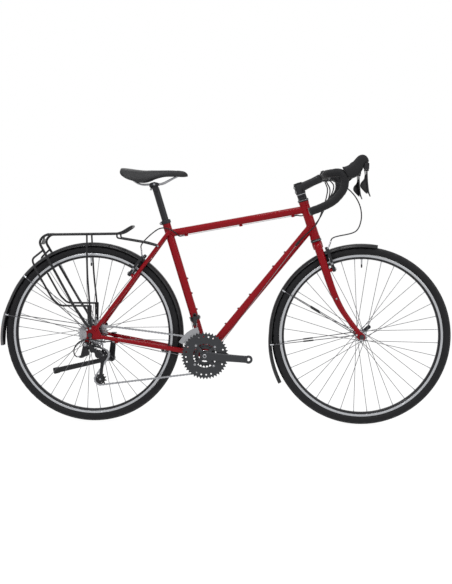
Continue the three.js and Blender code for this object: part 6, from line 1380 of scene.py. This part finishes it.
# Mudguards on their wire stays
def build_guard(prefix, axle, body, start, end, flare, angles, eyelet, plate_out, bolts=()):
    """A blade from one angle to another, with its stays at some angles and bolts to the bridges."""
    sheet, wires, bright, sleeves = Shape(), Shape(), Shape(), Shape()
    steps = int((end - start) / 1.5)
    rings = []
    for i in range(steps + 1):
        t = i / steps
        out = heading(start + (end - start) * t)
        base = axle + out * (358 + flare(t))
        squeeze = 1 - 0.55 * max(0, 1 - min(t, 1 - t) * steps / 5) ** 2
        outer, inner = [], []
        for k in range(17):
            u = -1 + k / 8
            rib = 0.5 * max(0, 1 - abs(abs(u) - 0.42) / 0.08)
            outer.append(base + LEFT * u * 21.8 * squeeze + out * (-0.4 - 12.6 * abs(u) ** 2.7 + rib))
            inner.append(base + LEFT * u * 20.6 * squeeze + out * (-1.8 - 12.2 * abs(u) ** 2.7 + rib))
        rings.append(outer + inner[::-1])
    sheet.loft(rings)
    for k in (0, 16):
        sheet.tube([ring[k] for ring in rings], 1.35, 8)
    for angle in angles:
        for side in SIDES:
            clip = axle + heading(angle) * 343.5 + LEFT * side * 20.6
            home = axle + V(eyelet[0], side * (plate_out + 3.3), eyelet[1])
            inward = across(axle + V(eyelet[0], 0, eyelet[1]) - clip, 0).normalized()
            knee = clip + inward * 8 + LEFT * side * 9.4
            path = rounded([clip - inward * 7, clip, knee, mix(knee, home, 0.93) + LEFT * side * 0.6, home],
                           6, 6)
            wires.tube(path, 1.6, 12)
            bright.rod(clip - inward * 9 + LEFT * side * 0.6, clip + inward * 5 + LEFT * side * 4, 3.1,
                       sides=20, bevel=0.5)
            bright.bolt(clip + LEFT * side * 3.2, LEFT * side, 2.7, 2)
            if prefix == "front":
                run = (home - knee).normalized()
                sleeves.rod(knee + run * 112, knee + run * 152, 3.0, sides=20, bevel=0.8)
    for side in SIDES:
        home = axle + V(eyelet[0], side * plate_out, eyelet[1])
        wires.side_lathe([(2.3, 0.4), (4, 0.4), (4, 5.8), (2.3, 5.8)], home, side, 28)
        bright.bolt(home + LEFT * side * 5.9, LEFT * side, 3.6, 2.4)
        bright.rod(home - LEFT * side * 5, home + LEFT * side * 6, 2.1, sides=16)
    for place in bolts:
        out = across(place - axle, 0).normalized()
        bright.rod(place + out * -6.6, axle + out * 356, 2.6, sides=18)
        bright.rod(axle + out * 353.6, axle + out * 355.2, 6.2, sides=28, bevel=0.4)
    piece(f"{prefix}_guard_blade", sheet, body, "black_plastic", f"{prefix}_mudguard", sharp=40)
    piece(f"{prefix}_guard_stays", wires, body, "black_alloy", material_name="spoke_wire")
    piece(f"{prefix}_guard_clips", bright, body, "silver_alloy")
    if sleeves.corners:
        piece(f"{prefix}_guard_sleeves", sleeves, body, "black_plastic")
    else:
        # The last tenth of the rear guard gets a thin grey sheet over it: a painted highlight of the guard's
        # glossy end, not a real mud flap
        highlight_sheet = Shape()
        layers = []
        for i in range(int(0.9 * steps), steps + 1):
            out = heading(start + (end - start) * i / steps)
            layers.append([rings[i][k] + out * 1.4 + LEFT * (k - 8) / 8 * 1.2 for k in range(17)]
                          + [rings[i][k] + out * 0.2 + LEFT * (k - 8) / 8 * 0.2 for k in range(16, -1, -1)])
        highlight_sheet.loft(layers)
        piece(f"{prefix}_guard_painted_highlight", highlight_sheet, body, "black_plastic", sharp=40, material_name="guard_highlight_grey")


def build_rack():
    dark, bright = Shape(), Shape()
    rail_half, foot_half, height = 52, 78.5, 392

    def at(x, y, z):
        return REAR + V(x, y, z)

    def lean(side, share):
        return side * (foot_half + (rail_half - foot_half) * share)

    legs = ((-0.515, 0.915), (-0.455, 0.81), (-0.168, 0.303), (-0.03, 0.1))
    lows = ((-0.47, 0.835), (-0.575, 0.745), (-0.53, 0.635), (-0.375, 0.36), (-0.3, 0.29), (0.0, 0.29))
    for side in SIDES:
        inner, outer = side * rail_half, side * foot_half
        rail = [at(157, 0, 420), at(157, inner * 0.75, 420), at(113, inner, height), at(-180, inner, 387)]
        rail += [at(x * height, lean(side, z * z), z * height) for x, z in legs] + [at(3, outer, 27)]
        dark.tube(rounded(rail, 20, 7), 4.9, 20)
        low = [at(x * height, lean(side, z * z) if i == 0 else outer * 0.97, z * height)
               for i, (x, z) in enumerate(lows)]
        dark.tube(rounded(low, 14, 6), 3.9, 18)
        dark.tube(smooth([at(-15, inner, height), at(-10, lean(side, 0.35), 235), at(0, outer, 113),
                          at(3, outer, 27)], 30), 3.5, 16)
        foot, top = stay_lines(side)[1]
        anchor = mix(foot, top, 0.86) + LEFT * side * 11.3
        dark.tube(rounded([at(101.7, side * 49.4, height), at(101.7, side * 49.4, 376), at(209, inner, 358.4),
                           anchor], 9, 6), 3.3, 16)
        bright.bolt(anchor + LEFT * side * 2.6, LEFT * side, 4, 3)
        holes = [ring_hole(0, -19.6, 3, 20, 8)[::-1], ring_hole(0, -50.4, 3, 20, 8)[::-1]]
        outline = [(-8, 2), (-6.4, 4), (6.4, 4), (8, 2), (6.6, -68), (4.4, -71), (-4.4, -71), (-6.6, -68)]
        dark.plate(outline, 3.6, holes, at(0, outer, 113))
        bright.bolt(at(3, outer + side * 4.4, 27), LEFT * side, 4.2, 3)
        bright.rod(at(3, side * 66, 27), at(3, outer, 27), 2.5, sides=16)
    for share in (-0.92, -0.5, -0.08, 0.6):
        x = share * (180 if share < 0 else 113)
        dark.rod(at(x, -rail_half, height - 2.5), at(x, rail_half, height - 2.5), 3.3, sides=20)
    dark.tube(smooth([at(-180, 0, 389.5), at(60, 0, 389.6), at(120, 0, 397), at(155, 0, 417)], 24), 3.3, 16)
    tilt = radians(18)
    along = V(sin(tilt), 0, cos(tilt))
    lamp = at(-195, 0, 359)
    dark.tube(smooth([at(-180, 0, 389.5), at(-192, 0, 380), lamp + UP * 8], 12), 3.2, 14)
    holes = [[(a, b + y) for a, b in circle(20, 2.8)][::-1] for y in (-20, 20)]
    dark.plate(circle(40, 11, 26, 5), 3.4, holes, lamp, 0, (along, LEFT, along.cross(LEFT)))
    piece("rack_tubes", dark, "frame", "black_paint", "rear_rack", sharp=36)
    piece("rack_bolts", bright, "frame", "polished_steel")


# Rim brakes: springs, pads' washers, cable boot and the curved guide pipe
def brake_basis(place, side):
    """Places by out, sideways and up from a brake arm's pivot, the sideways direction and its sign."""
    sideways = place["up"].cross(place["out"])
    centre = place["centre"]

    def to(o, s, u):
        return centre + place["out"] * o + sideways * s + place["up"] * u

    return to, sideways, side * (1 if sideways.y > 0 else -1)


def noodle(place, side, count=5):
    """The guide pipe's path, and the direction in which its cable leaves."""
    to, _, mirror = brake_basis(place, side)
    points = [(16.5, 0, 98.7), (8.8, mirror * 3, 89.7), (0, mirror * 3, 82.5), (0, -mirror * 38.95, 82.5)]
    path = smooth([to(*p) for p in points], count)
    return path, (path[0] - path[1]).normalized()


def build_brake(prefix, places):
    for name, side in (("right", -1), ("left", 1)):
        place = places[side]
        to, sideways, mirror = brake_basis(place, side)
        inward = -mirror
        body = f"{prefix}_brake_{name}_arm"
        bright, dark = Shape(), Shape()
        bright.bolt(to(6.2, 0, 0), place["out"], 5.4, 3.2)
        bright.lathe([(4.4, 5.6), (8.4, 5.6), (8.4, 6.4), (4.4, 6.4)], to(0, 0, 0), 36, place["out"],
                     closed=True)
        bright.tube(smooth([to(-4.5, mirror * 7, 2), to(-5.6, mirror * 10.5, 24), to(-4.6, mirror * 9.4, 48),
                            to(-4.4, mirror * 5, 52)], 24), 0.85, 8)
        bright.bolt(to(0, mirror * 12, 23.5), sideways * mirror, 4.4, 2.6)
        for reach in (-3.4, 3.4):
            dark.rod(to(0, mirror * reach, 23.5), to(0, mirror * (reach + 1.2), 23.5), 6.6, sides=28,
                     bevel=0.3)
        face = PIVOT_HALF - 11.5 - 2.2
        # Ribs across the pad's face
        for k in range(-3, 4):
            dark.rod(to(k * 7.2, inward * (face - 0.6), 19.9), to(k * 7.2, inward * (face - 0.6), 27.1), 0.7,
                     sides=8)
        if side < 0:
            bright.tube(noodle(place, side, 30)[0], 2.6, 18)
            ribs = smooth([to(0, -mirror * 8, 82.5), to(0, -mirror * 26, 82.5)], 40)
            dark.sweep(ribs, circle(18), scale=lambda t: (2.95 + 0.2 * cos(t * 2 * pi * 8),) * 2)
        else:
            bright.bolt(to(6.4, 0, 78), place["out"], 4.2, 2.6)
        piece(f"{body}_bolts", bright, body, "polished_steel")
        piece(f"{body}_rubbers", dark, body, "black_plastic")
        dress(1.0, body)


# Rear derailleur's cage and pulleys
def build_pulleys():
    cage, bright = Shape(), Shape()
    along = (TENSION - GUIDE).normalized()
    beside = V(-along.z, 0, along.x)
    waist = [(-12.4 * cos(radians(a)), 12.4 * sin(radians(a))) for a in range(0, 100, 12)]
    waist += [(20, 8.6), (34, 6.2), (56, 5.4), (76, 6.6), (86, 9.6)]
    waist += [(96.3 + 13.4 * sin(radians(a)), 13.4 * cos(radians(a))) for a in range(-20, 91, 11)]
    waist += [(x, -z) for x, z in waist[-2:0:-1]]
    outline = [GUIDE + along * x + beside * z for x, z in waist]
    for side in SIDES:
        cage.plate([(p.x, p.z) for p in outline[::-1]], 1.5, (), V(0, CHAIN_REAR, 0), side * 4.8)
    for place in (GUIDE, TENSION):
        cage.rod(across(place, CHAIN_REAR - 5.4), across(place, CHAIN_REAR + 5.4), 2.3, sides=20)
        bright.bolt(across(place, CHAIN_REAR - 5.5), -LEFT, 3.9, 1.5)
    piece("rear_cage_plates", cage, "rear_mech_cage", "black_alloy", "rear_mech_cage", sharp=32, bevel=0.25)
    piece("rear_cage_bolts", bright, "rear_mech_cage", "polished_steel")
    for name, place, wheel in (("guide_pulley", GUIDE, 2), ("tension_pulley", TENSION, 1)):
        disc = Shape()
        holes = [circle(24, 2.9)[::-1]]
        for k in range(5):
            a = 2 * pi * k / 5
            holes.append([(12.6 * cos(a) + p, 12.6 * sin(a) + q) for p, q in circle(12, 2.1)][::-1])
        disc.plate(gear(11, phase=chain_phase(wheel), steps=10), 1.9, holes, across(place, CHAIN_REAR))
        disc.lathe([(2.9, -3.5), (8.6, -3.5), (8.9, -3.1), (8.9, 3.1), (8.6, 3.5), (2.9, 3.5)],
                   across(place, CHAIN_REAR), 40, closed=True)
        piece(f"{name}_wheel", disc, name, "black_plastic", name, sharp=32)


ADJUSTER = V(-27.6, -87, 263.3) - V(12.3, 0, 0)


def build_mech_details():
    bright, dark, front = Shape(), Shape(), Shape()
    hanger = V(-15.6, 0, 311.3)
    bright.bolt(across(hanger, -97), -LEFT, 6.4, 2.4)
    for k in range(7):
        dark.lathe([(3.4, k * 1.4), (5.2, k * 1.4 + 0.3), (5.2, k * 1.4 + 1), (3.4, k * 1.4 + 1.3)],
                   ADJUSTER + V(2, 0, 0), 28, V(1, 0, 0), closed=True)
    cover, body = Shape(), Shape()
    root, tip = V(7.4, -99.6, 295.5), V(18.2, -99.6, 288)
    cover.plate(hull([(root.x, root.z, 6.5), (tip.x, tip.z, 6.5), (11, 287, 6)]), 3, (), V(0, root.y, 0),
                -1.6)
    body.plate(hull([(-17, 302, 9), (-25, 270, 8.6), (-8, 276, 8)]), 9, (), V(0, -87, 0), 1.5)
    piece("rear_mech_link_cover", cover, "rear_mech_outer_link", "black_alloy", sharp=32, bevel=1.2)
    piece("rear_mech_body", body, "frame", "black_alloy", sharp=32, bevel=1.6)
    barrel = Shape().lathe([(4, -101.2), (12.6, -101.2), (13.6, -100), (13.6, -78), (12, -76), (4, -76)],
                           across(CAGE_PIVOT, 0), 48, closed=True)
    barrel.bolt(across(CAGE_PIVOT, -101.3), -LEFT, 5, 2)
    piece("rear_mech_barrel", barrel, "rear_mech_tip", "black_alloy", sharp=32)
    piece("rear_mech_bolt", bright, "frame", "polished_steel")
    piece("rear_mech_adjuster", dark, "frame", "black_alloy")
    centre = BRACKET + SEAT_UP * 148
    front.bolt(centre + V(-20, 3, 0) + LEFT * 8, LEFT, 3.8, 2.4)
    front.bolt(centre + SEAT_AHEAD * 20.4, SEAT_AHEAD, 3.4, 2.4)
    piece("front_mech_bolts", front, "frame", "polished_steel")
    dress(0.5, "rear_mech_knuckle", "rear_mech_outer_link", "rear_mech_inner_link", "rear_mech_tip",
          "front_mech_band", "front_mech_cage", "right_lever_block", "left_lever_block")
    dress(0.5, "front_mech_outer_link", "front_mech_inner_link", material_name="black_alloy")


# Kickstand
STAND_PIVOT = V(63.9, 64, 241.4)
LEG = V(-0.972, 0.03, -0.233).normalized()


def build_stand():
    leg, foot, bright = Shape(), Shape(), Shape()
    end = STAND_PIVOT + LEG * 245
    leg.lathe([(4.2, -9.4), (12.2, -9.4), (12.9, -8.6), (12.9, 8.6), (12.2, 9.4), (4.2, 9.4)], STAND_PIVOT,
              48, closed=True)
    path = [STAND_PIVOT + LEG * d for d in (9, 30, 60, 120, 180, 226)]
    leg.sweep(smooth(path, 40), circle(36, 1, 1, 2.8), side=LEFT, scale=lambda t: (7.2, 8.6 + 2.4 * t))
    under = V(-LEG.z, 0, LEG.x)
    for k in range(16):
        spot = STAND_PIVOT + LEG * (60 + k * 9) - under * (9.2 + 0.1 * k)
        leg.rod(spot - LEFT * 3.4, spot + LEFT * 3.4, 0.9, sides=10)
    foot.sweep([end - LEG * d for d in (24, 22, 14, 5, 1.2, 0)], circle(36, 1, 1, 2.8), side=LEFT,
               scale=lambda t: (lerp_table([(0, 7.4), (0.1, 8.2), (0.9, 8.6), (1, 7)], t),
                                lerp_table([(0, 11.2), (0.1, 12), (0.9, 12.4), (1, 10)], t)))
    for k in range(4):
        spot = end - LEG * (5 + k * 5)
        foot.rod(spot + under * 12 - LEFT * 4, spot + under * 12 + LEFT * 4, 0.9, sides=10)
        foot.rod(spot - under * 12 - LEFT * 4, spot - under * 12 + LEFT * 4, 0.9, sides=10)
    bright.bolt(end - LEG * 12 + LEFT * 7.8, LEFT, 2.8, 1.6)
    piece("stand_leg", leg, "kickstand_leg", "black_alloy", "kickstand_leg", sharp=34)
    piece("stand_foot", foot, "kickstand_leg", "black_alloy", material_name="black_plastic")
    piece("stand_foot_bolt", bright, "kickstand_leg", "polished_steel")
    pin = Shape().bolt(across(STAND_PIVOT, 73.9), LEFT, 4.6, 2.6)
    pin.bolt(V(71.9, 65.5, 333.4 - 17), -UP, 5, 3.4)
    piece("stand_bolts", pin, "frame", "polished_steel")
    block = Shape()
    spot = V(71.9, 65.5, 333.4)
    outline = [(a * 15, b * 13) for a, b in circle(32, 1, 1, 5)]
    flat = (V(1, 0, 0), LEFT, -UP)
    block.plate(outline, 8, (), spot - UP * 12.5, 0, flat)
    block.plate([(x * 0.7, y) for x, y in outline], 3, (), spot + UP * 9.6, 0, flat)
    block.plate(hull([(0, 0, 12.6), (8, 76, 10)]), 8, (), STAND_PIVOT, -14.4)
    block.rod(across(STAND_PIVOT, 46), across(STAND_PIVOT, 73.4), 3.6, sides=24)
    block.rod(spot - UP * 10, spot + UP * 10, 3, sides=20)
    piece("stand_clamp", block, "frame", "black_alloy", "kickstand_bracket", sharp=32, bevel=1.2)


# Cables: housings with their ferrules, and bare wire along the frame
HOUSING, WIRE = 2.4, 0.9


def tape_exit(side, turn):
    start = bar_path(side, 13)[2]
    beside = across(BAR, start.y) + heading(turn) * 15.1
    return [across(beside, start.y - side * d) for d in (0.6, 5)]


def top_stop(share):
    return mix(TOP_REAR, TOP_FRONT, share) - TOP_UP * (TOP_RADIUS + 3)


def down_stop(side):
    return across(mix(BRACKET, DOWN_FRONT, 0.86), side * (MAIN_RADIUS - 0.3 + 3))


def chain_stop():
    """The stop under the right chainstay, and the stay's direction."""
    chain = stay_lines(-1)[0]
    along = (chain[2] - chain[3]).normalized()
    tall = 7 + (10.5 - 7) * 0.3
    return mix(chain[3], chain[2], 0.3) - UP * (tall - 1 + 3), along


def from_point(point, rows):
    """A route's points, written from a point in the middle plane."""
    return [V(point.x + x, y, point.z + z) for x, y, z in rows]


def build_housing(name, points, node=None, body="frame", ends=None, blend=None):
    """A housing on its route; its ferrules go to the shape of ends, where one is given."""
    path = smooth(points, 120)
    shape = Shape().tube(path, HOUSING, 16)
    obj = piece(name, shape, None if blend else body, "cable_housing", *([node] if node else []), sharp=60)
    if blend:
        start, end = blend
        tuple(metres(start))
        tuple(metres(end))
        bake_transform(obj)
    if ends:
        for tip, toward in ((path[0], path[3]), (path[-1], path[-4])):
            along = (toward - tip).normalized()
            ends.rod(tip + along * 0.2, tip + along * 9, 3.0, 2.8, 20, 0.4)


def under_shell(turns, first, last):
    """A wire's points round the bracket's shell, from one y to another."""
    reach = (SHELL_RADIUS + WIRE + 0.3) / cos(pi / 10)
    return [across(BRACKET + heading(a) * reach, first + (last - first) * i / (len(turns) - 1))
            for i, a in enumerate(turns)]


def build_cables():
    ends, steer_ends, wires = Shape(), Shape(), Shape()
    half_stop = 6.3
    path, away = noodle(FRONT_BRAKES[-1], -1)
    route = ((23.8, -49, -15), (44.8, -44, -26), (84.8, -48, -47), (117.8, -56, -82), (136.8, -60, -126),
             (137.8, -60, -172), (119.8, -56, -210))
    points = tape_exit(-1, -30) + from_point(BAR, route) + [path[0] + away * 22, path[0] + away * 0.3]
    build_housing("front_brake_housing", points, "front_brake_cable", "steering", steer_ends)

    front, rear = top_stop(0.9) + TOP_TUBE * half_stop, top_stop(0.12) - TOP_TUBE * half_stop
    route = ((23.8, 49, -15), (37.8, 42, -34), (27.8, 37, -72), (-4.2, 33, -108), (-42.2, 29, -133),
             (-68.2, 25, -147), (-88.2, 14, -152))
    points = tape_exit(1, -30) + from_point(BAR, route) + [front + TOP_TUBE * 10, front + TOP_TUBE * 5, front]
    build_housing("rear_brake_lead", points, "rear_brake_cable",
                  blend=(front + TOP_TUBE * 30, V(912, 45, 935)))
    path, away = noodle(REAR_BRAKES[-1], -1)
    route = ((39.9, -15, -9.2), (21.9, -23, 5.8), (-0.1, -26, 17.8), (-30.1, -22, 20.8), (-60.1, -16, 4.8))
    points = [rear, rear - TOP_TUBE * 5, rear - TOP_TUBE * 10] + from_point(TOP_REAR, route)
    build_housing("rear_brake_arc", points + [path[0] + away * 22, path[0] + away * 0.3], ends=ends)
    wires.rod(front, rear, WIRE, sides=10)

    high, low = down_stop(-1) + DOWN_TUBE * half_stop, down_stop(-1) - DOWN_TUBE * half_stop
    route = ((7.8, 50, -28), (13.8, 38, -48), (7.8, 18, -86), (-6.2, -2, -126), (-18.2, -18, -162),
             (-34.2, -27, -190), (-58.2, -27, -214))
    points = tape_exit(1, -78) + from_point(BAR, route) + [high + DOWN_TUBE * 22, high]
    build_housing("front_gear_lead", points, "front_gear_cable",
                  blend=(high + DOWN_TUBE * 8, V(906, 46, 926)))
    # The wire runs under the shell and up to the front derailleur's arm
    run = [high, low] + under_shell((-32, -60, -95, -130, -158), -10, -10) + [V(417, -11, 276)]
    inner = V(404.2, -30, 414) + V(0, -0.359, -0.9333) * 13.93 + V(0, 0.9333, -0.359) * 4.5
    run.append(V(inner.x - 6.5 - 9, inner.y, inner.z - 2.9))
    wires.tube(run, WIRE, 10)

    high, low = down_stop(1) + DOWN_TUBE * half_stop, down_stop(1) - DOWN_TUBE * half_stop
    route = ((8.8, -50, -28), (19.8, -38, -50), (17.8, -18, -80), (4.8, 2, -116), (-12.2, 18, -154),
             (-32.2, 27, -184), (-56.2, 27, -210))
    points = tape_exit(-1, -78) + from_point(BAR, route) + [high + DOWN_TUBE * 22, high]
    build_housing("rear_gear_lead", points, "rear_gear_cable", blend=(high + DOWN_TUBE * 8, V(906, -46, 926)))
    stop, along = chain_stop()
    ahead, back = stop + along * half_stop, stop - along * half_stop
    wires.tube([high, low] + under_shell((-32, -60, -95), 8, -6) + [ahead, back], WIRE, 10)
    route = ((45, -76, -25), (12, -81, -17.5), (-14, -82, -17), (-40, -86, -26), (-58, -88, -49),
             (-59, -88, -73))
    points = [back, back - along * 5, back - along * 10] + from_point(REAR, route)
    points += [ADJUSTER - V(10, 0, 0), ADJUSTER - V(5, 0, 0), ADJUSTER]
    build_housing("rear_gear_loop", points, ends=ends)
    piece("cable_wires", wires, "frame", "polished_steel")
    piece("cable_ferrules", ends, "frame", "polished_steel")
    piece("front_cable_ferrules", steer_ends, "steering", "polished_steel")


build_frame()
build_headset()
build_fork()
build_tyre("front", FRONT, "front_wheel")
build_tyre("rear", REAR, "rear_wheel")
build_rim("front", FRONT, "front_wheel", 90)
build_rim("rear", REAR, "rear_wheel", 91.5)
build_hub("front", FRONT, "front_wheel", 12, ((-34, 20), (34, 20)), (-40, 40))
build_hub("rear", REAR, "rear_wheel", 14, ((-19.5, 23), (34, 23)), (-23.5, 55))
build_axle("front", FRONT, "steering", 50, (-40, 40))
build_axle("rear", REAR, "frame", 67.5, (-64.9, 55))
build_cassette()
build_chain()
build_crankset()
build_bar()
build_stem()
build_lever("right", -1)
build_lever("left", 1)
build_saddle()
build_seatpost()
build_guard("front", FRONT, "steering", 80, 211, lambda t: 14 * max(0, t - 0.75) * 4, (150, 186), (-20, 8),
            56)
build_guard("rear", REAR, "frame", -12, 188, lambda t: 14 * max(0, t - 0.85) * 6.6, (140, 168), (-11, 21),
            73.5, [across(bridge_end(1, low), 0) for low in (False, True)])
build_rack()
build_brake("front", FRONT_BRAKES)
build_brake("rear", REAR_BRAKES)
build_pulleys()
build_mech_details()
build_stand()
build_cables()
